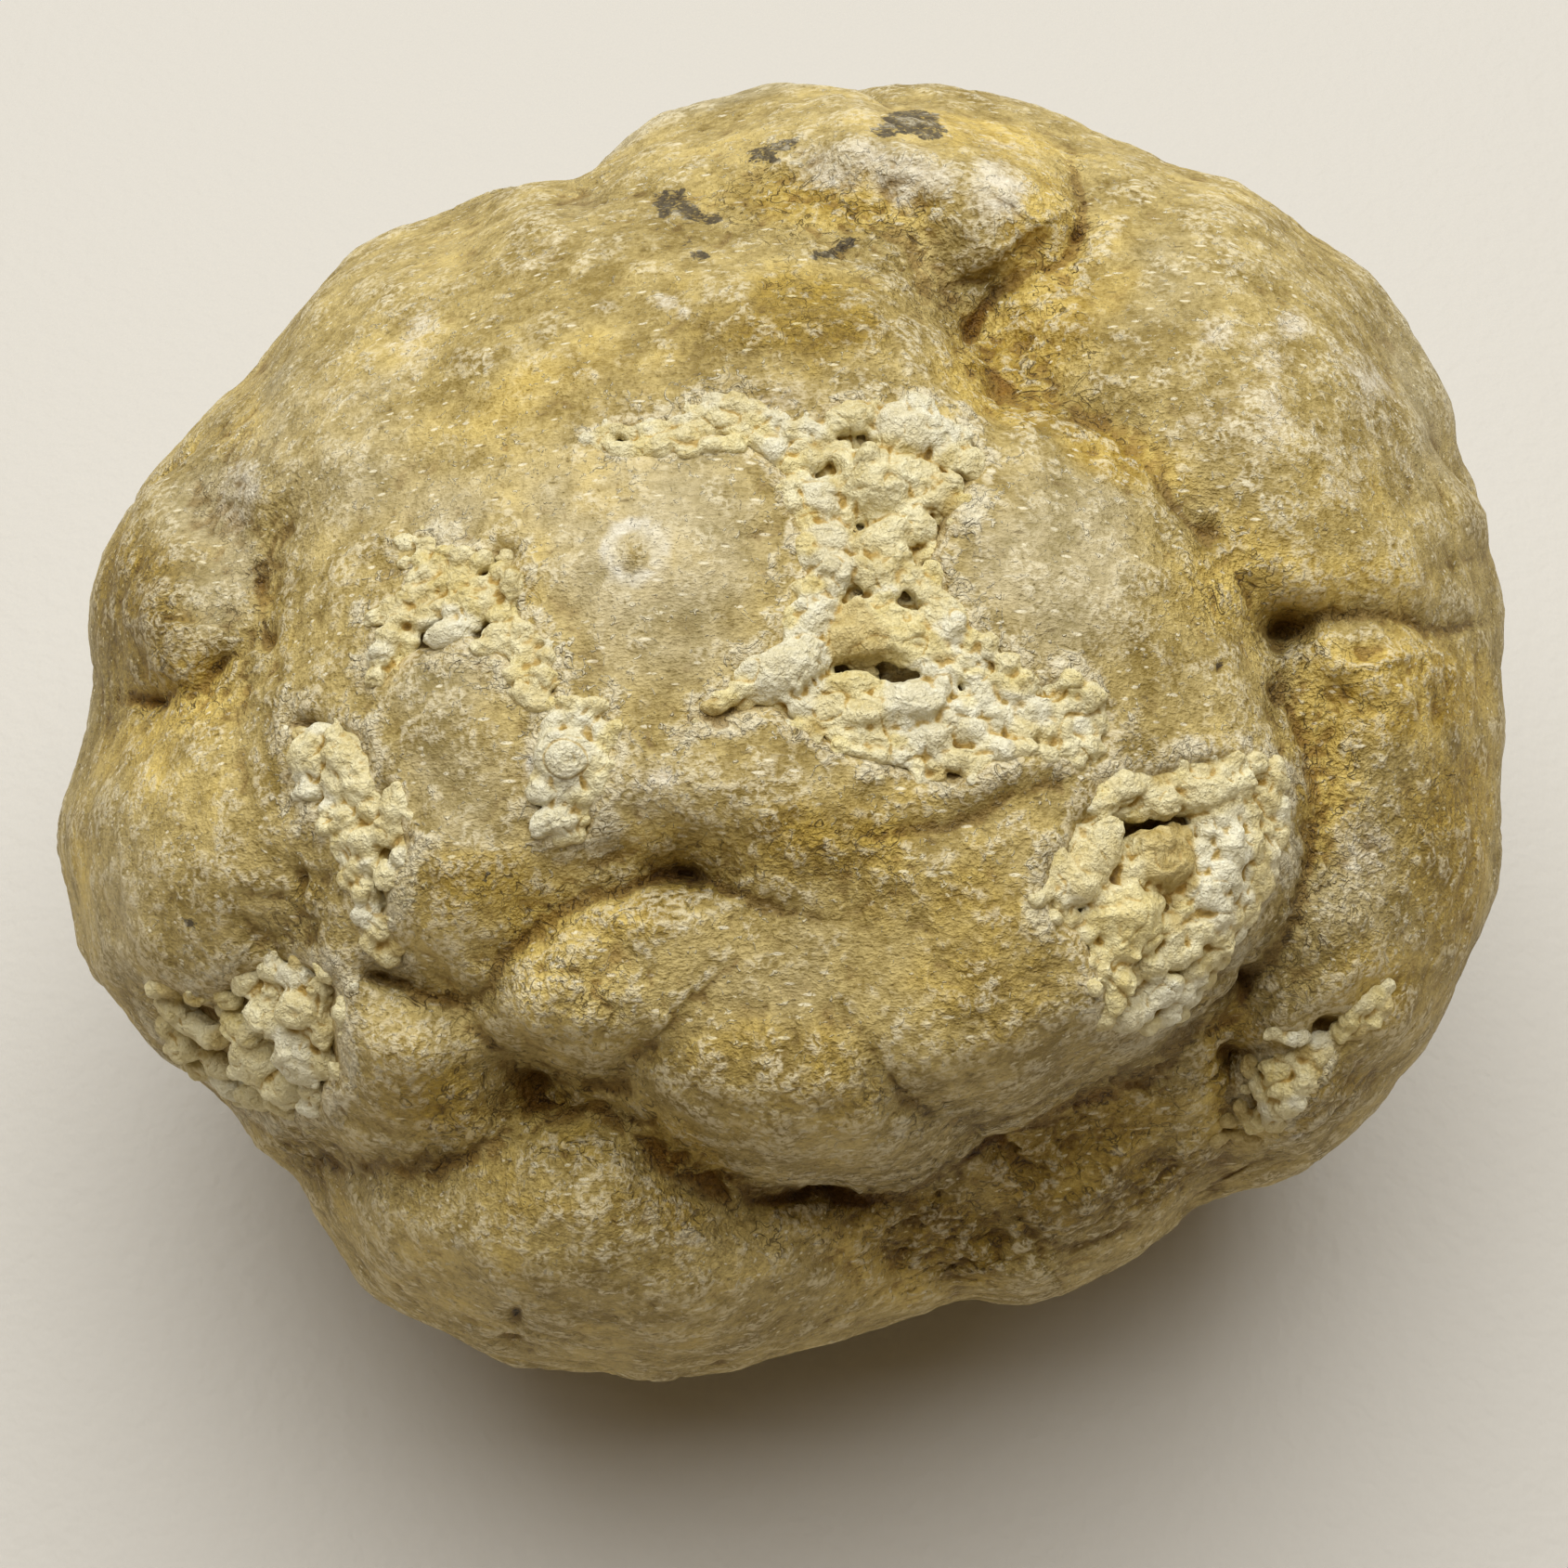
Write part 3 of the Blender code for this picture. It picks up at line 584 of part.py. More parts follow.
HIDDEN = [
    (REAR, [
        ("rear_lip", "ledge", [
            (250, 560, 0.4, 45, 60), (330, 640, 2.0, 55, 75), (440, 700, 3.6, 60, 85), (560, 722, 4.6, 65, 90),
            (680, 700, 4.6, 65, 90), (790, 668, 4.0, 60, 85), (880, 690, 3.4, 55, 75), (950, 760, 3.0, 55, 75),
            (1040, 830, 3.2, 60, 80), (1150, 850, 3.0, 60, 80), (1270, 812, 2.2, 55, 70), (1380, 800, 1.2, 50, 60),
            (1470, 830, 0.3, 40, 50)]),
        ("rear_fold", "fold", [
            (700, 360, 0.6, 45, 45), (716, 450, 1.8, 55, 55), (752, 540, 2.8, 60, 60), (800, 620, 3.2, 55, 55),
            (832, 668, 2.2, 45, 45)]),
        ("rear_fold_2", "fold", [
            (950, 770, 2.0, 45, 45), (930, 860, 2.6, 55, 60), (880, 950, 2.8, 60, 60), (860, 1050, 2.4, 55, 60),
            (900, 1150, 1.6, 50, 50), (960, 1250, 0.6, 45, 45)]),
        ("rear_valley", "valley", [
            (1060, 420, 0.8, 60, 60), (1150, 520, 1.8, 65, 65), (1220, 620, 2.0, 65, 65), (1300, 700, 1.4, 60, 60),
            (1400, 740, 0.6, 55, 55)]),
        ("rear_crack", "fold", [
            (330, 960, 0.4, 30, 30), (420, 1010, 1.4, 38, 38), (520, 1030, 1.8, 40, 40), (620, 1080, 1.6, 40, 40),
            (690, 1150, 0.8, 36, 36), (740, 1220, 0.2, 30, 30)]),
        ("rear_crack_2", "fold", [
            (1120, 1000, 0.3, 26, 26), (1190, 1040, 1.1, 32, 32), (1280, 1050, 1.3, 34, 34), (1360, 1010, 0.8, 30, 30),
            (1420, 960, 0.2, 26, 26)]),
    ], [
        (560, 560, 200, 110, 10, 1.8), (1000, 560, 150, 150, 0, 1.8), (420, 860, 160, 120, 0, 1.4),
        (700, 900, 150, 150, 0, 1.8), (1150, 960, 190, 120, 0, 1.6), (1330, 620, 130, 120, 0, 1.6),
        (812, 645, 26, 20, 0, -3.0), (946, 772, 22, 26, 0, -2.4), (560, 735, 40, 12, 0, -2.0), (300, 740, 26, 16, 20, -1.6),
    ], [
        ("H", 0.9, [
            (1006, 1000), (1040, 958), (1096, 948), (1140, 972), (1180, 1010), (1168, 1052), (1190, 1098), (1150, 1140),
            (1100, 1128), (1060, 1150), (1022, 1110), (1030, 1062)]),
        ("I", 0.8, [
            (330, 828), (380, 796), (450, 790), (510, 820), (550, 868), (522, 910), (470, 908), (430, 880), (380, 892),
            (340, 872)]),
    ]),
    (LEFT, [
        ("left_side_fold", "fold", [
            (560, 330, 0.6, 45, 45), (600, 440, 2.0, 58, 58), (590, 560, 3.0, 62, 62), (640, 680, 3.4, 62, 62),
            (720, 770, 3.0, 60, 60), (760, 880, 2.2, 55, 55), (740, 1000, 1.4, 50, 50), (780, 1110, 0.5, 45, 45)]),
        ("left_side_lip", "ledge", [
            (130, 900, 0.6, 45, 55), (240, 960, 2.2, 55, 70), (360, 980, 3.2, 60, 80), (480, 960, 3.2, 60, 80),
            (590, 900, 2.6, 58, 75), (680, 820, 2.0, 50, 60), (715, 775, 1.0, 40, 45)]),
        ("left_side_crack", "fold", [
            (900, 930, 0.3, 30, 30), (980, 975, 1.2, 36, 36), (1080, 985, 1.4, 36, 36), (1180, 950, 0.9, 34, 34),
            (1260, 900, 0.2, 28, 28)]),
    ], [
        (400, 700, 170, 150, 0, 1.8), (880, 640, 140, 170, 0, 1.4), (500, 1130, 180, 90, 0, 1.4), (960, 1120, 170, 90, 0, 1.2),
        (720, 778, 22, 24, 0, -2.8), (420, 990, 40, 12, 0, -1.6),
    ], []),
    (RIGHT, [
        ("right_side_fold", "fold", [
            (1150, 320, 0.5, 45, 45), (1080, 420, 1.6, 55, 55), (1040, 540, 2.6, 60, 60), (1060, 660, 3.2, 60, 60),
            (1030, 780, 3.0, 60, 60), (950, 870, 2.6, 58, 58), (880, 980, 2.0, 52, 52), (860, 1100, 1.0, 48, 48),
            (890, 1200, 0.3, 40, 40)]),
        ("right_side_lip", "ledge", [
            (380, 930, 0.4, 42, 50), (470, 985, 1.6, 50, 62), (580, 1010, 2.4, 55, 72), (700, 1000, 2.6, 55, 72),
            (810, 960, 2.2, 52, 66), (900, 900, 1.2, 42, 50)]),
        ("right_side_valley", "valley", [
            (1060, 700, 1.0, 45, 45), (1180, 740, 1.8, 55, 55), (1300, 760, 1.8, 55, 55), (1430, 740, 1.0, 50, 50),
            (1540, 720, 0.4, 45, 45)]),
    ], [
        (1250, 560, 160, 140, 0, 1.8), (1230, 930, 170, 130, 0, 1.6), (760, 660, 170, 150, 0, 1.2), (640, 1140, 180, 80, 0, 1.2),
        (1052, 690, 24, 26, 0, -2.8), (690, 1012, 40, 12, 0, -1.6),
    ], [
        ("J", 0.9, [
            (1120, 1020), (1165, 985), (1225, 980), (1262, 1010), (1300, 1040), (1280, 1086), (1230, 1080), (1190, 1106),
            (1146, 1090), (1110, 1060)]),
    ]),
    (UNDER, [
        ("under_fold", "fold", [
            (200, 620, 0.4, 45, 45), (330, 690, 1.6, 52, 52), (440, 780, 2.2, 55, 55), (520, 900, 2.0, 55, 55),
            (560, 1020, 1.2, 50, 50), (640, 1120, 0.4, 45, 45)]),
        ("under_fold_2", "fold", [
            (1480, 560, 0.4, 45, 45), (1360, 640, 1.6, 52, 52), (1240, 690, 2.2, 55, 55), (1180, 800, 2.0, 55, 55),
            (1200, 930, 1.4, 50, 50), (1270, 1040, 0.5, 45, 45)]),
        ("under_valley", "valley", [
            (700, 300, 0.5, 55, 55), (760, 400, 1.4, 60, 60), (860, 470, 1.6, 60, 60), (980, 450, 1.2, 55, 55),
            (1080, 380, 0.4, 50, 50)]),
    ], [
        (340, 900, 140, 130, 0, 1.2), (1330, 860, 120, 130, 0, 1.2), (900, 280, 180, 80, 0, 1.2),
    ], []),
]


def wandered(u, v, p, wander):
    """Chart positions moved about a little, so that a drawn line runs unevenly."""
    if not wander:
        return u, v
    du = layered(p + 0.9, 0.009, 3, seed=21) + 0.4 * layered(p + 0.4, 0.0024, 2, seed=23)
    dv = layered(p + 1.7, 0.009, 3, seed=22) + 0.4 * layered(p + 2.6, 0.0024, 2, seed=24)
    return u + wander * du, v + wander * dv


def hidden_height(p, n, wander=0.0):
    """How far the folds and swellings of the sides hidden from the eye point lift the surface, in mm."""
    out = np.zeros(len(p))
    for chart, lines, domes, patches in HIDDEN:
        u, v, _ = chart.project(p)
        u, v = wandered(u, v, p, wander)
        facing = -(n * chart.away(p)).sum(1)
        w = ramp(0.15, 0.6, facing)
        on = w > 0
        h = np.zeros(on.sum())
        for _, kind, points in lines:
            h -= line_depth(u[on], v[on], kind, points)
        for dome in domes:
            h += dome_height(u[on], v[on], dome)
        for _, deep, ring in patches:
            h -= deep * ramp(-8, 18, from_ring(u[on], v[on], ring))
        out[on] += h * w[on]
    return out


def top_height(u, v, soft=1.0):
    """The same for the side that faces the eye point, along the line of sight."""
    h = np.zeros(len(u))
    for _, kind, points in LINES:
        h -= line_depth(u, v, kind, points)
    for dome in DOMES:
        h += dome_height(u, v, dome)
    for deep, ring in PATCHES.values():
        r = np.array(ring)
        near = (u > r[:, 0].min() - 30) & (u < r[:, 0].max() + 30) & (v > r[:, 1].min() - 30) & (v < r[:, 1].max() + 30)
        d = from_ring(u[near], v[near], ring)
        h[near] -= deep * ramp(-8, 18, d)
    return h


def rough_form(d, wander=0.0):
    """The form with its uneven growth and the folds of its hidden sides, before the outline is fitted."""
    p, n = first_form(d)
    uneven = 1.5 * layered(p + 0.31, 0.048, 2, seed=5) + 0.35 * layered(p + 0.77, 0.017, 2, seed=9)
    p = p + n * (uneven * MM)[:, None]
    facing = -(n * TOP.away(p)).sum(1)
    hidden = 1 - ramp(0.0, 0.35, facing)
    on = hidden > 0
    # Nothing disturbs the ground under the foot.
    foot = ramp(0.016, 0.030, np.hypot(p[:, 0], p[:, 1])) + ramp(0.004, 0.012, p[:, 2])
    lift = np.zeros(len(p))
    lift[on] = hidden_height(p[on], n[on], wander) * hidden[on]
    return p + n * (lift * np.minimum(foot, 1) * MM)[:, None], n


def body(d, steps=None, wander=0.0):
    """The stone's surface for unit directions d: points, rough normals, and how much each faces the eye point."""
    p, n = rough_form(d, wander)
    for step in steps or fit_outline(lambda e: rough_form(e)[0]):
        p = outline_step(p, *step)
    facing = -(n * TOP.away(p)).sum(1)
    u, v, _ = TOP.project(p)
    u, v = wandered(u, v, p, wander)
    h = np.zeros(len(p))
    # What stands back does so as far as the outline and on round behind it, so front and back never cross.
    far = ramp(-0.75, 0.25, facing)
    on = far > 0
    for _, points in CLIFFS:
        h[on] -= cliff_depth(u[on], v[on], points) * far[on]
    seen = ramp(0.03, 0.38, facing)
    on = seen > 0
    h[on] += top_height(u[on], v[on]) * seen[on] / np.clip(facing[on], 0.42, 1)
    return p - TOP.away(p) * (h * MM)[:, None], n, facing


def broadened(points):
    """A fold no narrower than the faces can carry, and shallower by as much."""
    return [(u, v, deep * min(1.0, min(a, b) / NARROW), max(a, NARROW), max(b, NARROW)) for u, v, deep, a, b in points]


def rounded(u, v, ru, rv, turn, lift):
    """A swelling or hollow no narrower than the faces can carry."""
    return (u, v, max(ru, 0.7 * NARROW), max(rv, 0.7 * NARROW), turn, lift * min(1.0, min(ru, rv) / (0.7 * NARROW)))


LINES = [(name, kind, broadened(points)) for name, kind, points in LINES]
DOMES = [rounded(*dome) for dome in DOMES]
HIDDEN = [(chart, [(name, kind, broadened(points)) for name, kind, points in lines], [rounded(*dome) for dome in domes], patches)
          for chart, lines, domes, patches in HIDDEN]


def knob_height(u, v):
    """The larger knobs of the broken-open patches, in mm. Finer ones are too small for this solid."""
    h = np.zeros(len(u))
    for knobs in KNOBS.values():
        for cu, cv, ru, rv, turn, _ in knobs:
            if min(ru, rv) < LEAST_KNOB:
                continue
            near = (np.abs(u - cu) < 3 * ru) & (np.abs(v - cv) < 3 * ru)
            if near.any():
                lift = 0.030 * (ru + rv)
                h[near] = np.maximum(h[near], dome_height(u[near], v[near], (cu, cv, 1.1 * ru, 1.1 * rv, turn, lift)))
    return h


# ---------------------------------------------------------------- building
def clear_scene():
    for o in list(bpy.data.objects):
        bpy.data.objects.remove(o, do_unlink=True)
    for c in list(bpy.data.collections):
        bpy.data.collections.remove(c)


def collection(name):
    c = bpy.data.collections.new(name)
    bpy.context.scene.collection.children.link(c)
    return c


def stone_material():
    m = bpy.data.materials.new("chalcedony_rind")
    m.use_nodes = True
    shader = m.node_tree.nodes["Principled BSDF"]
    shader.inputs["Base Color"].default_value = (0.440, 0.335, 0.155, 1)
    shader.inputs["Roughness"].default_value = 0.72
    shader.inputs["Metallic"].default_value = 0.0
    m.diffuse_color = (0.440, 0.335, 0.155, 1)
    return m


def make_geode(home, tools):
    bm = bmesh.new()
    bmesh.ops.create_icosphere(bm, subdivisions=6, radius=1.0)
    bm.verts.ensure_lookup_table()
    d = np.array([v.co for v in bm.verts], float)
    d /= np.linalg.norm(d, axis=1)[:, None]
    p, n, facing = body(d)
    u, v, _ = TOP.project(p)
    p = p + n * (knob_height(u, v) * ramp(0.1, 0.3, facing) * MM)[:, None]
    # The stone rests with its flat foot in the plane z = 0.
    for vert, place in zip(bm.verts, p):
        vert.co = place
    bmesh.ops.recalc_face_normals(bm, faces=bm.faces)
    mesh = bpy.data.meshes.new("geode")
    bm.to_mesh(mesh)
    bm.free()
    geode = bpy.data.objects.new("geode", mesh)
    home.objects.link(geode)
    mesh.materials.append(stone_material())
    mesh.shade_smooth()

    # Fewer faces where the surface is plain, as many as the folds need where it isn't.
    thin = geode.modifiers.new("thin", "DECIMATE")
    thin.decimate_type = "COLLAPSE"
    thin.ratio = FACES / 20480.0

    # The small flat spot that it rests on.
    bpy.ops.mesh.primitive_cube_add(size=1.0, location=(0, 0, -0.02))
    ground = bpy.context.object
    ground.name = "foot_cutter"
    ground.scale = (0.2, 0.2, 0.04)
    bpy.ops.object.transform_apply(location=False, rotation=False, scale=True)
    for c in list(ground.users_collection):
        c.objects.unlink(ground)
    tools.objects.link(ground)
    ground.hide_render = True
    ground.display_type = "WIRE"
    cut = geode.modifiers.new("foot", "BOOLEAN")
    cut.operation = "DIFFERENCE"
    cut.solver = "EXACT"
    cut.object = ground
    return geode


clear_scene()
home = collection("agate_geode")
tools = collection("cutters")
make_geode(home, tools)
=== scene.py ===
"""The looks of the agate geode: a whole chalcedony nodule with a tan rind and patches where cream knobs show."""

import math

import bmesh
import bpy
import numpy as np
from mathutils import Matrix, Vector
from mathutils.bvhtree import BVHTree


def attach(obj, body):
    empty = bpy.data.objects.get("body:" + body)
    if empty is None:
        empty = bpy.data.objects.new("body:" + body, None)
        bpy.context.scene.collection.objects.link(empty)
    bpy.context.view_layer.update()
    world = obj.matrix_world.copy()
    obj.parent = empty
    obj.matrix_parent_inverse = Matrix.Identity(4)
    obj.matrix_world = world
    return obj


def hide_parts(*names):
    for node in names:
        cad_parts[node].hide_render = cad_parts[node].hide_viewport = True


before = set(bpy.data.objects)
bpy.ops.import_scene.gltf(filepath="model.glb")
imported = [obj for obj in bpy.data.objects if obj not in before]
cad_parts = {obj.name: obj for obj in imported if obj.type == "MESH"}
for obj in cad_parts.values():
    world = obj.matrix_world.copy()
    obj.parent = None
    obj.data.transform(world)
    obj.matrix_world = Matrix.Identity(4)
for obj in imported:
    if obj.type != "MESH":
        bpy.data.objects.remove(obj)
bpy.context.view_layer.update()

MM = 0.001
SKIN_FACES = 196000


# ---------------------------------------------------------------- driving dimensions (metres)
WIDTH = 0.1150          # longest side, along X
DEPTH = 0.1080          # along Y
HEIGHT = 0.0850         # along Z, resting on the foot
FOOT_CUT = 0.0010       # how much of the round underside the flat foot takes off
ROUND = 2.22            # superellipsoid exponent: 2 is an ellipsoid, more is fuller
LOW_ROUND = 2.45        # the underside is a little fuller, so it sits broad

# The upper side is laid out on a chart: a square 1689 units wide, as seen from an eye point
# in front of and above the stone. Along the stone's middle 14 units are about 1 mm.
CHART = 1689.0
CHART_FOCAL = 3150.0    # chart units
EYE_ELEVATION = 60.0    # degrees above the horizontal
EYE_DISTANCE = 0.2335   # from the chart's middle
CUSP = 5.0              # how blunt the bottom of a fold is, in chart units


def ramp(lo, hi, x):
    t = np.clip((x - lo) / (hi - lo), 0.0, 1.0)
    return t * t * (3.0 - 2.0 * t)


# ---------------------------------------------------------------- noise, the same on each run
def _hash(ix, iy, iz, seed):
    h = (ix.astype(np.uint32) * np.uint32(0x8DA6B343)) ^ (iy.astype(np.uint32) * np.uint32(0xD8163841))
    h ^= (iz.astype(np.uint32) * np.uint32(0xCB1AB31F)) ^ np.uint32((seed * 0x9E3779B1 + 0x7F4A7C15) & 0xFFFFFFFF)
    h ^= h >> np.uint32(15)
    h *= np.uint32(0x85EBCA6B)
    h ^= h >> np.uint32(13)
    h *= np.uint32(0xC2B2AE35)
    h ^= h >> np.uint32(16)
    return h


def noise(p, seed=0):
    """Gradient noise of points (n, 3), about -1 to 1."""
    base = np.floor(p)
    f = p - base
    i = base.astype(np.int64)
    w = f * f * f * (f * (f * 6 - 15) + 10)
    out = np.zeros(len(p))
    for dx in (0, 1):
        wx = w[:, 0] if dx else 1 - w[:, 0]
        for dy in (0, 1):
            wy = w[:, 1] if dy else 1 - w[:, 1]
            for dz in (0, 1):
                wz = w[:, 2] if dz else 1 - w[:, 2]
                h = _hash(i[:, 0] + dx, i[:, 1] + dy, i[:, 2] + dz, seed)
                gx = (h & np.uint32(1023)).astype(float) / 511.5 - 1
                gy = ((h >> np.uint32(10)) & np.uint32(1023)).astype(float) / 511.5 - 1
                gz = ((h >> np.uint32(20)) & np.uint32(1023)).astype(float) / 511.5 - 1
                out += wx * wy * wz * (gx * (f[:, 0] - dx) + gy * (f[:, 1] - dy) + gz * (f[:, 2] - dz))
    return out * 1.25


def layered(p, size, octaves=3, seed=0, gain=0.5):
    """Noise with features of about this size in metres, and finer ones on top."""
    q = p / size
    out = np.zeros(len(p))
    weight = 1.0
    for k in range(octaves):
        out += weight * noise(q * (2.03 ** k) + 13.7 * k, seed + 101 * k)
        weight *= gain
    return out


# ---------------------------------------------------------------- charts
class Chart:
    """A perspective view of the stone: azimuth 0 looks along +Y, 90 along -X."""

    def __init__(self, azimuth, elevation, distance, target, focal=CHART_FOCAL):
        a, e = math.radians(azimuth), math.radians(elevation)
        out = np.array([math.sin(a) * math.cos(e), -math.cos(a) * math.cos(e), math.sin(e)])
        self.right = np.array([math.cos(a), math.sin(a), 0.0])
        self.forward = -out
        self.up = np.cross(self.right, self.forward)
        self.target = np.array(target, float)
        self.eye = self.target + out * distance
        self.focal = focal
        self.mid = CHART / 2

    def project(self, p):
        q = p - self.eye
        depth = q @ self.forward
        return self.mid + self.focal * (q @ self.right) / depth, self.mid - self.focal * (q @ self.up) / depth, depth

    def place(self, u, v, depth):
        x = (u - self.mid) / self.focal
        y = (v - self.mid) / self.focal
        return self.eye + depth[:, None] * (self.forward + x[:, None] * self.right - y[:, None] * self.up)

    def away(self, p):
        q = p - self.eye
        return q / np.linalg.norm(q, axis=1)[:, None]


MIDDLE = np.array([0.0001, -0.0020, HEIGHT / 2])
# The chart's middle is 4.1 mm below the stone's middle as the eye sees it.
_tilt = math.radians(EYE_ELEVATION)
TOP = Chart(0, EYE_ELEVATION, EYE_DISTANCE, MIDDLE - 0.0041 * np.array([0.0, math.sin(_tilt), math.cos(_tilt)]))

# The stone's outline on the chart, clockwise from the top.
OUTLINE = [
    (840, 88), (867, 88), (921, 94), (992, 91), (1057, 99), (1095, 106), (1144, 125), (1187, 141), (1214, 154),
    (1241, 163), (1274, 179), (1306, 185), (1328, 191), (1360, 209), (1393, 233), (1425, 260), (1458, 282),
    (1490, 314), (1518, 358), (1545, 401), (1561, 428), (1572, 466), (1577, 504), (1593, 531), (1602, 558),
    (1603, 584), (1608, 614), (1617, 642), (1620, 670), (1618, 718), (1625, 763), (1626, 802), (1620, 830),
    (1614, 850), (1618, 872), (1617, 914), (1614, 948), (1610, 981), (1603, 986), (1590, 1024), (1568, 1067),
    (1549, 1111), (1530, 1143), (1506, 1165), (1487, 1197), (1457, 1219), (1436, 1243), (1392, 1268),
    (1354, 1284), (1289, 1303), (1251, 1333), (1208, 1362), (1165, 1387), (1122, 1402), (1078, 1407),
    (1046, 1403), (997, 1413), (970, 1418), (910, 1441), (849, 1462), (813, 1474), (759, 1482), (715, 1488),
    (640, 1481), (542, 1469), (488, 1444), (428, 1415), (390, 1387), (369, 1358), (358, 1336), (336, 1312),
    (325, 1279), (309, 1263), (276, 1236), (260, 1203), (217, 1168), (173, 1138), (146, 1106), (117, 1073),
    (92, 1041), (81, 997), (70, 959), (61, 905), (62, 873), (73, 845), (89, 786), (99, 743), (96, 688),
    (98, 640), (117, 585), (146, 531), (190, 477), (238, 428), (266, 407), (293, 374), (325, 331), (369, 287),
    (412, 255), (488, 225), (542, 200), (575, 195), (623, 192), (656, 163), (699, 130), (759, 111),
]
OUTLINE_MIDDLE = (843.0, 790.0)

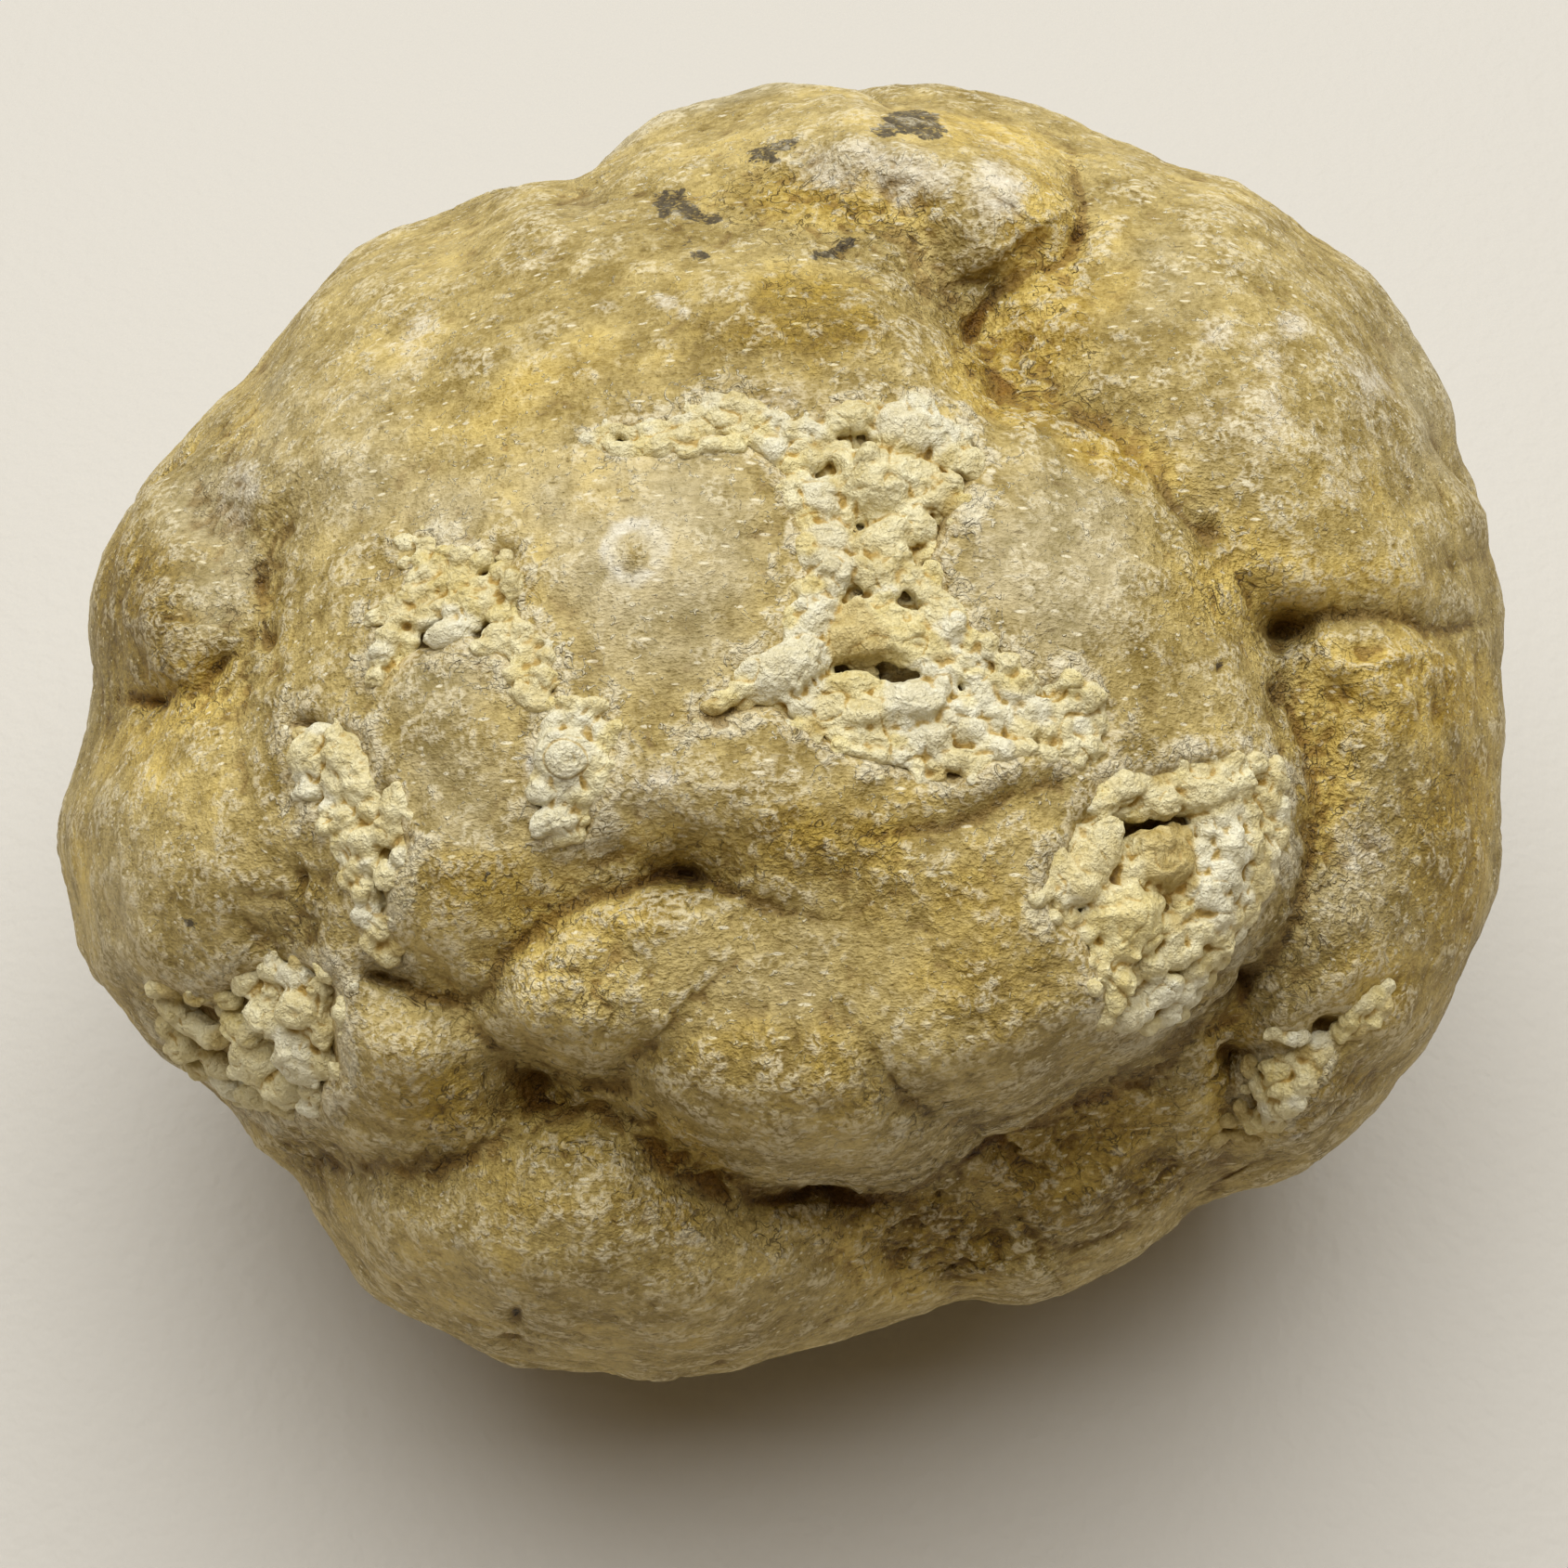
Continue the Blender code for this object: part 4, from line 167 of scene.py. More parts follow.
# Folds, ledges and cracks on the chart. Each point is (u, v, depth in mm, width on the high side, width on the low side)
# in chart units. The high side is on the left of the way the line runs, so above a line that runs to the right.
# "ledge": the high side rolls over into the line, the low side is a floor that climbs out slowly.
# "fold": both sides roll over into the line. "valley": a soft trough.
LINES = [
    ("cap_lip", "ledge", [
        (662, 1135, 0.3, 40, 50), (683, 1167, 2.0, 45, 60), (694, 1200, 3.4, 50, 70), (721, 1221, 4.4, 55, 80),
        (759, 1250, 5.4, 62, 80), (786, 1267, 6.0, 66, 80), (828, 1279, 6.6, 70, 80), (880, 1280, 7.0, 72, 80),
        (915, 1284, 6.8, 72, 80), (945, 1283, 6.0, 70, 75), (975, 1275, 5.2, 66, 70), (1004, 1263, 4.6, 62, 70),
        (1050, 1228, 4.4, 58, 70), (1073, 1213, 4.6, 58, 75), (1123, 1199, 4.6, 62, 80), (1165, 1178, 4.6, 66, 80),
        (1211, 1160, 4.4, 66, 80), (1247, 1151, 4.0, 62, 75), (1262, 1126, 3.6, 60, 70), (1280, 1103, 3.2, 60, 70),
        (1307, 1080, 3.0, 60, 70), (1335, 1048, 3.0, 56, 75), (1368, 1010, 2.8, 52, 85), (1388, 975, 2.8, 50, 95),
        (1405, 920, 2.8, 50, 95), (1408, 886, 3.0, 50, 95), (1401, 852, 3.2, 50, 95), (1393, 816, 3.4, 50, 95),
        (1387, 791, 3.6, 48, 90), (1372, 746, 4.0, 45, 80), (1366, 700, 3.0, 40, 60), (1352, 668, 1.0, 35, 45)]),
    ("right_lip", "ledge", [
        (1310, 600, 0.2, 50, 60), (1268, 550, 0.4, 54, 75), (1242, 522, 0.7, 54, 85), (1223, 497, 1.0, 52, 90),
        (1198, 471, 1.5, 50, 95), (1156, 452, 2.2, 46, 100), (1128, 439, 2.8, 42, 110), (1086, 430, 3.6, 40, 120),
        (1064, 414, 4.1, 38, 120), (1048, 395, 4.2, 36, 115), (1038, 366, 4.0, 36, 105), (1019, 344, 3.2, 38, 90),
        (1000, 321, 2.9, 38, 70), (985, 290, 1.9, 40, 62), (965, 262, 1.0, 40, 55), (935, 243, 0.3, 40, 50)]),
    ("top_fold", "fold", [
        (1034, 374, 1.3, 35, 40), (1051, 347, 1.7, 48, 50), (1073, 312, 1.8, 62, 64), (1095, 297, 2.0, 68, 72),
        (1121, 286, 2.2, 68, 76), (1147, 279, 2.3, 62, 78), (1161, 255, 2.0, 56, 74), (1164, 235, 1.8, 56, 70),
        (1162, 205, 2.0, 55, 62), (1157, 170, 1.6, 55, 58), (1148, 135, 1.3, 50, 52), (1138, 105, 0.9, 45, 46)]),
    ("saddle", "valley", [
        (1012, 310, 1.8, 60, 60), (980, 270, 2.2, 70, 70), (950, 245, 2.3, 75, 70), (900, 232, 2.2, 75, 60),
        (850, 222, 1.9, 75, 60), (800, 220, 1.6, 70, 55), (740, 228, 1.1, 65, 55), (690, 215, 1.0, 55, 50),
        (650, 203, 1.1, 45, 45), (623, 190, 1.3, 40, 40), (600, 165, 1.0, 40, 40)]),
    ("right_valley", "valley", [
        (1225, 500, 0.6, 66, 66), (1255, 535, 1.1, 64, 64), (1290, 572, 1.5, 60, 60), (1305, 600, 1.5, 58, 58),
        (1322, 632, 1.8, 56, 56), (1345, 655, 2.2, 48, 48), (1375, 680, 2.6, 38, 38), (1392, 690, 1.0, 30, 30)]),
    ("right_crease", "fold", [
        (1622, 668, 1.2, 30, 26), (1596, 669, 1.6, 34, 28), (1544, 677, 1.8, 38, 30), (1488, 664, 1.9, 38, 28),
        (1446, 663, 2.2, 36, 24), (1420, 664, 2.6, 32, 20), (1398, 674, 3.2, 26, 18), (1376, 682, 3.4, 24, 18),
        (1362, 676, 1.8, 22, 20)][::-1]),
    ("right_crease_2", "fold", [
        (1440, 694, 0.2, 18, 14), (1463, 701, 1.0, 20, 15), (1482, 704, 1.1, 20, 15), (1500, 705, 0.3, 18, 14)]),
    ("small_lobe_lip", "ledge", [
        (505, 1082, 0.6, 35, 50), (531, 1121, 2.2, 48, 80), (550, 1136, 3.4, 52, 100), (568, 1147, 4.2, 55, 110),
        (590, 1157, 4.4, 55, 110), (625, 1164, 3.8, 55, 95), (645, 1163, 3.2, 50, 80), (667, 1146, 2.4, 46, 65),
        (684, 1122, 1.5, 40, 50), (692, 1090, 0.5, 30, 40)]),
    ("middle_fold", "fold", [
        (380, 1010, 0.6, 30, 30), (405, 1040, 2.2, 40, 35), (428, 1056, 3.2, 50, 40), (482, 1080, 3.4, 60, 42),
        (524, 1070, 3.2, 60, 42), (546, 1035, 3.2, 60, 42), (571, 1009, 3.4, 62, 42), (597, 990, 3.4, 65, 42),
        (629, 974, 3.3, 70, 46), (673, 963, 3.6, 75, 48), (711, 948, 4.2, 80, 50), (737, 942, 4.4, 80, 52),
        (765, 952, 3.4, 78, 52), (790, 963, 2.6, 70, 52), (823, 974, 1.8, 60, 50), (862, 984, 1.0, 50, 45),
        (905, 990, 0.3, 40, 40)]),
    ("thin_crack", "fold", [
        (925, 912, 0.2, 16, 18), (960, 903, 0.6, 20, 22), (992, 894, 0.9, 22, 24), (1046, 883, 1.0, 24, 26),
        (1078, 862, 1.0, 24, 24), (1110, 848, 0.8, 22, 22), (1142, 845, 0.5, 25, 25)]),
    ("wrinkle", "fold", [
        (612, 936, 0.2, 14, 14), (640, 929, 0.8, 18, 16), (672, 927, 0.8, 18, 16), (700, 930, 0.3, 14, 14)]),
    ("lower_step", "ledge", [
        (925, 1108, 0.3, 35, 40), (950, 1143, 1.2, 42, 48), (973, 1174, 2.4, 46, 52), (992, 1187, 3.0, 48, 55),
        (1031, 1193, 3.2, 48, 55), (1056, 1206, 3.2, 46, 50), (1078, 1222, 1.6, 40, 40)]),
    ("left_lip", "ledge", [
        (335, 505, 0.3, 45, 55), (320, 560, 1.0, 52, 70), (299, 600, 1.6, 58, 84), (292, 630, 1.9, 60, 90),
        (286, 655, 2.0, 60, 90), (289, 688, 2.0, 60, 86), (280, 711, 1.7, 56, 80), (267, 734, 1.3, 52, 70),
        (261, 768, 1.0, 46, 55), (268, 802, 0.3, 40, 45)]),
    ("left_valley", "fold", [
        (70, 758, 0.5, 54, 54), (97, 750, 0.6, 60, 60), (125, 748, 0.7, 64, 64), (160, 755, 0.8, 64, 64),
        (195, 744, 0.7, 60, 60), (229, 729, 0.8, 56, 56), (255, 706, 0.8, 48, 48), (276, 682, 0.6, 38, 40)]),
    ("left_valley_2", "valley", [
        (296, 622, 0.8, 34, 34), (268, 590, 1.3, 42, 44), (236, 556, 1.5, 44, 48), (230, 520, 1.4, 44, 48),
        (234, 486, 1.3, 42, 47), (238, 450, 1.2, 40, 44), (240, 420, 1.0, 38, 42)]),
    ("left_low_fold", "valley", [
        (318, 930, 0.8, 30, 35), (326, 965, 1.6, 36, 40), (300, 1010, 1.6, 40, 45), (285, 1045, 1.0, 40, 45)]),
    ("chin_crack", "ledge", [
        (262, 1208, 0.6, 30, 30), (310, 1235, 1.4, 36, 36), (350, 1250, 2.0, 42, 42), (405, 1250, 2.4, 48, 48),
        (453, 1245, 2.8, 52, 50), (491, 1237, 2.6, 52, 50), (520, 1226, 1.8, 46, 46), (560, 1205, 0.6, 36, 40)]),
    ("right_chin", "ledge", [
        (1062, 1280, 0.3, 26, 32), (1085, 1303, 0.8, 30, 38), (1110, 1323, 1.4, 34, 42), (1137, 1333, 1.6, 36, 44),
        (1174, 1335, 1.8, 36, 44), (1211, 1324, 1.8, 36, 44), (1243, 1316, 1.8, 36, 42), (1279, 1295, 2.0, 36, 40),
        (1321, 1268, 2.2, 34, 38), (1362, 1254, 2.4, 34, 36), (1408, 1244, 2.4, 32, 36), (1440, 1221, 2.2, 30, 34),
        (1477, 1182, 1.6, 28, 30), (1503, 1158, 0.8, 24, 26)]),
    ("brown_crack_1", "fold", [
        (984, 1280, 0.6, 26, 26), (981, 1305, 0.9, 28, 28), (975, 1340, 0.8, 28, 28), (972, 1372, 0.4, 26, 26)]),
    ("brown_crack_2", "fold", [
        (1058, 1288, 0.3, 26, 26), (1069, 1308, 0.6, 28, 28), (1078, 1330, 0.6, 28, 28), (1086, 1352, 0.3, 26, 26)]),
    ("low_right_crack", "fold", [
        (1346, 1030, 0.5, 24, 24), (1341, 1050, 1.0, 30, 30), (1330, 1120, 1.6, 36, 36), (1325, 1179, 1.7, 36, 36),
        (1324, 1225, 1.4, 34, 34), (1322, 1262, 0.8, 30, 30)]),
    ("low_right_crack_2", "fold", [
        (1329, 1142, 1.4, 24, 22), (1373, 1129, 1.4, 26, 24), (1421, 1117, 1.6, 26, 24), (1445, 1104, 1.6, 26, 24),
        (1470, 1090, 1.4, 26, 24), (1488, 1069, 1.2, 26, 24), (1522, 1047, 0.6, 24, 22)]),
]

# Where one part of the stone stands wholly behind another: past the line the surface stays back.
CLIFFS = [
    ("cap_over_chin", [
        (700, 1190, 0.4, 60, 120), (740, 1236, 1.2, 62, 130), (786, 1267, 2.0, 66, 140), (828, 1279, 2.8, 68, 150),
        (880, 1280, 3.6, 70, 170), (930, 1284, 4.6, 70, 180), (975, 1275, 5.8, 70, 200), (1004, 1263, 6.8, 70, 220),
        (1050, 1228, 8.0, 70, 240), (1123, 1199, 9.0, 74, 250), (1165, 1178, 9.4, 76, 250), (1211, 1160, 9.4, 76, 250),
        (1262, 1126, 8.4, 72, 250), (1307, 1080, 7.0, 70, 240), (1345, 1040, 5.4, 66, 220), (1388, 975, 3.8, 60, 200),
        (1408, 886, 2.8, 56, 180), (1393, 816, 2.2, 52, 160), (1372, 746, 1.2, 48, 130), (1362, 690, 0.3, 44, 110)]),
    ("small_lobe_over_jaw", [
        (470, 1085, 0.2, 50, 120), (531, 1121, 1.2, 52, 140), (590, 1157, 2.0, 54, 150), (645, 1163, 1.7, 50, 140),
        (684, 1130, 0.7, 44, 120)]),
    ("cap_over_left_lobe", [
        (345, 480, 0.2, 60, 130), (320, 560, 0.7, 62, 140), (292, 630, 1.2, 64, 150), (288, 688, 1.3, 64, 150),
        (267, 740, 1.0, 60, 140), (262, 820, 0.6, 56, 130), (285, 900, 0.2, 50, 120)]),
    ("cap_over_right_lobe", [
        (1345, 655, 0.2, 50, 130), (1290, 572, 0.7, 54, 140), (1242, 522, 1.3, 54, 150), (1198, 471, 1.8, 54, 160),
        (1128, 439, 2.2, 52, 160), (1070, 420, 2.4, 50, 150), (1038, 366, 2.2, 48, 130), (1005, 325, 1.5, 46, 110),
        (975, 275, 0.6, 44, 100), (945, 245, 0.2, 44, 90)]),
]

# Swellings (+) and hollows (-) on the chart: (u, v, half length, half width, turn in degrees, height in mm).
DOMES = [
    (820, 690, 430, 330, 0, 1.6), (830, 360, 230, 120, -5, 1.6), (1010, 165, 130, 72, 12, 2.4),
    (1400, 430, 165, 180, 20, 2.4), (1500, 850, 100, 170, 0, 1.4), (170, 645, 80, 100, 0, 2.0),
    (190, 930, 110, 130, 0, 1.5), (690, 600, 120, 105, 0, 1.0), (470, 775, 85, 80, 0, 1.1),
    (770, 860, 170, 65, 0, 1.4), (1143, 610, 120, 110, 30, 1.4), (1110, 1010, 130, 120, 0, 1.3),
    (800, 1160, 150, 80, 12, 1.4), (600, 1085, 84, 60, -8, 1.6), (676, 990, 70, 30, 0, 1.2), (655, 1050, 26, 50, 20, -0.5), (560, 1040, 50, 30, -40, 0.7),
    (480, 960, 95, 95, 0, 1.4), (640, 1345, 230, 110, 5, 2.0), (1150, 1268, 90, 45, 0, 1.0),
    (430, 1160, 95, 60, 10, 1.6), (1405, 1195, 60, 45, 0, 1.2), (1090, 830, 55, 35, -20, 1.2),
    (540, 340, 200, 110, -25, 1.2), (350, 480, 60, 90, 30, 0.9), (1440, 1000, 70, 60, 20, 1.0),
    (1000, 1110, 120, 60, 0, 0.8), (1110, 372, 55, 38, 20, -1.2), (1040, 362, 16, 22, 30, -0.8),
    (1385, 681, 26, 10, 0, -1.8), (737, 942, 28, 14, 5, -1.2), (1158, 258, 12, 18, 10, -0.6),
    (286, 640, 14, 26, 5, -0.8), (160, 754, 20, 10, 0, -0.6), (240, 720, 26, 18, -30, -0.8),
    (413, 1053, 22, 9, 12, -1.2), (578, 1164, 30, 12, 10, -1.4), (885, 1288, 60, 9, 0, -1.4),
    (1300, 575, 18, 16, 0, -0.6), (1240, 860, 150, 60, 60, -0.6), (552, 1449, 16, 8, 0, -0.9),
    (343, 1307, 10, 9, 0, -0.8), (1420, 800, 50, 100, 0, -0.8),
    (205, 765, 60, 30, 0, -0.8), (1015, 1340, 80, 60, 0, -1.6), (1150, 1255, 150, 60, -20, -3.2),
    (900, 1190, 240, 70, -4, 1.6), (1200, 1090, 110, 60, -35, 1.4), (590, 1190, 70, 26, 10, -1.6),
    (730, 1262, 70, 24, 38, -1.6), (1335, 1160, 40, 80, 0, -1.4), (1068, 1325, 24, 26, 0, -0.7),
    (1344, 1052, 12, 16, 0, -1.2), (1339, 1143, 12, 12, 0, -1.0), (1431, 1104, 16, 8, -20, -1.0),
    (420, 1120, 60, 40, 20, 0.8), (1470, 1080, 60, 50, 0, 0.8), (1520, 620, 60, 60, 0, 0.8), (1500, 730, 70, 30, 0, 0.6),
]

# Broken-open patches on the chart: their edge, and how far their floor lies below the skin, in mm.
PATCHES = {
    "A": (0.5, [
        (636, 462), (668, 452), (712, 455), (755, 434), (790, 428), (826, 448), (866, 452), (905, 432), (955, 432),
        (1000, 440), (1040, 462), (1068, 492), (1052, 525), (1030, 560), (1012, 600), (1022, 640), (1050, 680),
        (1085, 705), (1115, 735), (1150, 722), (1185, 742), (1198, 785), (1185, 822), (1150, 826), (1108, 812),
        (1070, 830), (1030, 850), (975, 838), (915, 820), (862, 790), (830, 768), (788, 778), (740, 780), (752, 762),
        (790, 742), (800, 712), (832, 694), (850, 660), (862, 610), (862, 560), (842, 516), (800, 486), (760, 478),
        (720, 486), (676, 492), (642, 486)]),
    "B": (0.4, [
        (425, 572), (455, 580), (490, 590), (530, 582), (560, 598), (556, 640), (566, 668), (592, 700), (610, 745),
        (592, 770), (560, 740), (528, 700), (490, 690), (456, 706), (415, 742), (396, 720), (410, 682), (388, 664),
        (432, 640), (452, 610)]),
    "C": (0.5, [
        (312, 776), (350, 768), (392, 785), (402, 812), (400, 845), (432, 868), (446, 905), (432, 940), (422, 985),
        (440, 1040), (418, 1048), (392, 1005), (380, 960), (362, 905), (338, 880), (326, 835), (318, 808)]),
    "D": (0.7, [
        (168, 1052), (215, 1075), (262, 1046), (300, 1026), (345, 1036), (368, 1062), (366, 1110), (370, 1150),
        (350, 1190), (312, 1204), (268, 1196), (240, 1172), (206, 1156), (180, 1122)]),
    "E": (0.9, [
        (1180, 838), (1240, 832), (1300, 815), (1340, 808), (1380, 828), (1392, 870), (1376, 930), (1352, 980),
        (1320, 1020), (1296, 1060), (1272, 1092), (1222, 1116), (1186, 1102), (1180, 1060), (1160, 1012),
        (1126, 982), (1124, 940), (1150, 900), (1172, 872)]),
    "F": (0.3, [
        (588, 778), (612, 764), (648, 764), (664, 790), (660, 830), (640, 862), (640, 900), (618, 912), (592, 896),
        (572, 868), (578, 836), (588, 806)]),
    "G": (0.6, [
        (1352, 1140), (1392, 1132), (1424, 1128), (1424, 1150), (1404, 1180), (1380, 1206), (1350, 1216), (1340, 1180)]),
}


def run_through(points, steps=6):
    """A smooth line through points that carry any number of values each."""
    p = np.array(points, float)
    p = np.vstack([2 * p[0] - p[1], p, 2 * p[-1] - p[-2]])
    p[0, 2:], p[-1, 2:] = p[1, 2:], p[-2, 2:]
    out = []
    for i in range(1, len(p) - 2):
        for t in np.arange(steps) / steps:
            out.append(0.5 * (2 * p[i] + (p[i + 1] - p[i - 1]) * t + (2 * p[i - 1] - 5 * p[i] + 4 * p[i + 1] - p[i + 2]) * t * t
                              + (3 * p[i] - p[i - 1] - 3 * p[i + 1] + p[i + 2]) * t ** 3))
    out.append(p[-2])
    return np.array(out)


def from_line(u, v, line):
    """For points on the chart: distance to the line, side (+ is its left), and the line's values there."""
    best = np.full(len(u), 1e18)
    side = np.ones(len(u))
    values = np.zeros((len(u), line.shape[1] - 2))
    for a, b in zip(line[:-1], line[1:]):
        du, dv = b[0] - a[0], b[1] - a[1]
        length = du * du + dv * dv + 1e-12
        t = np.clip(((u - a[0]) * du + (v - a[1]) * dv) / length, 0, 1)
        x, y = u - (a[0] + du * t), v - (a[1] + dv * t)
        d = x * x + y * y
        near = d < best
        if not near.any():
            continue
        best[near] = d[near]
        side[near] = np.where(x[near] * dv - y[near] * du >= 0, 1.0, -1.0)
        values[near] = a[2:] + (b[2:] - a[2:]) * t[near, None]
    return np.sqrt(best), side, values


def inside(u, v, ring):
    hit = np.zeros(len(u), bool)
    for (x0, y0), (x1, y1) in zip(ring, ring[1:] + ring[:1]):
        if y0 == y1:
            continue
        cross = ((y0 > v) != (y1 > v)) & (u < (x1 - x0) * (v - y0) / (y1 - y0) + x0)
        hit ^= cross
    return hit


def from_ring(u, v, ring):
    """Distance to a closed ring, + inside."""
    line = np.array(ring + ring[:1], float)
    d, _, _ = from_line(u, v, line)
    return np.where(inside(u, v, ring), d, -d)


def line_depth(u, v, kind, points, sharp=1.0):
    """How deep this line presses the surface in, in mm."""
    line = run_through(points)
    margin = 5.0 * line[:, 3:5].max()
    near = (u > line[:, 0].min() - margin) & (u < line[:, 0].max() + margin) & (v > line[:, 1].min() - margin) & (v < line[:, 1].max() + margin)
    out = np.zeros(len(u))
    if not near.any():
        return out
    d, side, values = from_line(u[near], v[near], line)
    d = np.sqrt(d * d + CUSP * CUSP) - 0.6 * CUSP
    deep, high, low = values[:, 0], np.maximum(values[:, 1], 1), np.maximum(values[:, 2], 1)

    def roll(width):
        q = np.clip(1 - d / width, 0, 1)
        return 1 - np.sqrt(np.maximum(1 - q * q, 0))

    if kind == "valley":
        w = np.where(side > 0, high, low)
        h = np.exp(-(d / w) ** 2)
    elif kind == "fold":
        # A rolled side is nearly a quarter circle, and reaches out to 1.5 widths
        h = np.where(side > 0, roll(1.5 * high), roll(1.5 * low))
        h = 0.75 * h + 0.25 * np.exp(-(d / np.where(side > 0, high, low)) ** 2)
    else:
        floor = (1 + d / (0.45 * low)) * np.exp(-d / (0.45 * low))
        h = np.where(side > 0, 0.8 * roll(1.25 * high) + 0.2 * np.exp(-(d / high) ** 2), floor)
    out[near] = deep * h
    return out


def cliff_depth(u, v, points):
    """How far the surface stays back past this line, in mm."""
    line = run_through(points)
    d, side, values = from_line(u, v, line)
    deep, high, low = values[:, 0], np.maximum(values[:, 1], 1), np.maximum(values[:, 2], 1)
    q = np.clip(1 - d / (1.3 * high), 0, 1)
    return deep * np.where(side > 0, 1 - np.sqrt(np.maximum(1 - q * q, 0)), np.exp(-(d / low) ** 2))


def dome_height(u, v, dome):
    cu, cv, ru, rv, turn, height = dome
    a = math.radians(turn)
    x = (u - cu) * math.cos(a) + (v - cv) * math.sin(a)
    y = -(u - cu) * math.sin(a) + (v - cv) * math.cos(a)
    return height * np.exp(-((x / ru) ** 2 + (y / rv) ** 2))


# ---------------------------------------------------------------- the body
def first_form(d):
    """The plain rounded form before folds, for unit directions d, with its normals."""
    half = np.array([WIDTH, DEPTH, HEIGHT + FOOT_CUT]) / 2
    power = (ROUND + (LOW_ROUND - ROUND) * ramp(0.2, -0.5, d[:, 2]))[:, None]
    q = np.abs(d / half) + 1e-9
    r = (q ** power).sum(1) ** (-1 / power[:, 0])
    p = d * r[:, None]
    n = np.sign(p) * ((np.abs(p / half) + 1e-9) ** (power - 1)) / half
    n /= np.linalg.norm(n, axis=1)[:, None]
    return p + MIDDLE - np.array([0, 0, FOOT_CUT / 2]), n


def outline_wanted(bins):
    """The outline's reach from its middle in this many directions on the chart."""
    cu, cv = OUTLINE_MIDDLE
    ring = run_through(OUTLINE + OUTLINE[:1], 4)
    angle = np.arctan2(ring[:-1, 1] - cv, ring[:-1, 0] - cu)
    reach = np.hypot(ring[:-1, 0] - cu, ring[:-1, 1] - cv)
    order = np.argsort(angle)
    centres = (np.arange(bins) + 0.5) / bins * 2 * math.pi - math.pi
    return centres, np.interp(centres, angle[order], reach[order], period=2 * math.pi)


def outline_step(p, centres, edge, scale, broad):
    """Moves points sideways, as the eye sees them, by one step of the fit."""
    cu, cv = OUTLINE_MIDDLE
    u, v, depth = TOP.project(p)
    a = np.arctan2(v - cv, u - cu)
    r = np.hypot(u - cu, v - cv)
    near = np.interp(a, centres, edge, period=2 * math.pi)
    fine = np.interp(a, centres, scale, period=2 * math.pi)
    soft = np.interp(a, centres, broad, period=2 * math.pi)
    at = np.minimum(r / near, 1.05)
    k = ramp(0.80, 1.0, at)
    factor = 1 + ((soft * (1 - k) + fine * k) - 1) * ramp(0.1, 1.0, at) ** 1.2
    return TOP.place(cu + (u - cu) * factor, cv + (v - cv) * factor, depth)


def fit_outline(start, rounds=5, bins=240, samples=160000):
    """Steps that bring the edge of the form, as the eye sees it, to OUTLINE. start gives the form for unit directions."""
    i = np.arange(samples)
    z = 1 - (2 * i + 1) / samples
    turn = i * math.pi * (3 - math.sqrt(5))
    s = np.sqrt(1 - z * z)
    p = start(np.stack([s * np.cos(turn), s * np.sin(turn), z], 1))
    # Only points near the edge count.
    cu, cv = OUTLINE_MIDDLE
    centres, want = outline_wanted(bins)
    steps = []
    for _ in range(rounds):
        u, v, _ = TOP.project(p)
        a = np.arctan2(v - cv, u - cu)
        r = np.hypot(u - cu, v - cv)
        slot = np.minimum(((a + math.pi) / (2 * math.pi) * bins).astype(int), bins - 1)
        edge = np.zeros(bins)
        np.maximum.at(edge, slot, r)
        scale = want / edge
        for _ in range(3):
            scale = (np.roll(scale, 1) + 2 * scale + np.roll(scale, -1)) / 4
        # Away from the edge only the broad part of the change is felt, so it leaves no rays on the surface.
        broad = scale
        for _ in range(60):
            broad = (np.roll(broad, 1) + 2 * broad + np.roll(broad, -1)) / 4
        steps.append((centres, edge, scale, broad))
        p = outline_step(p, *steps[-1])
    return steps

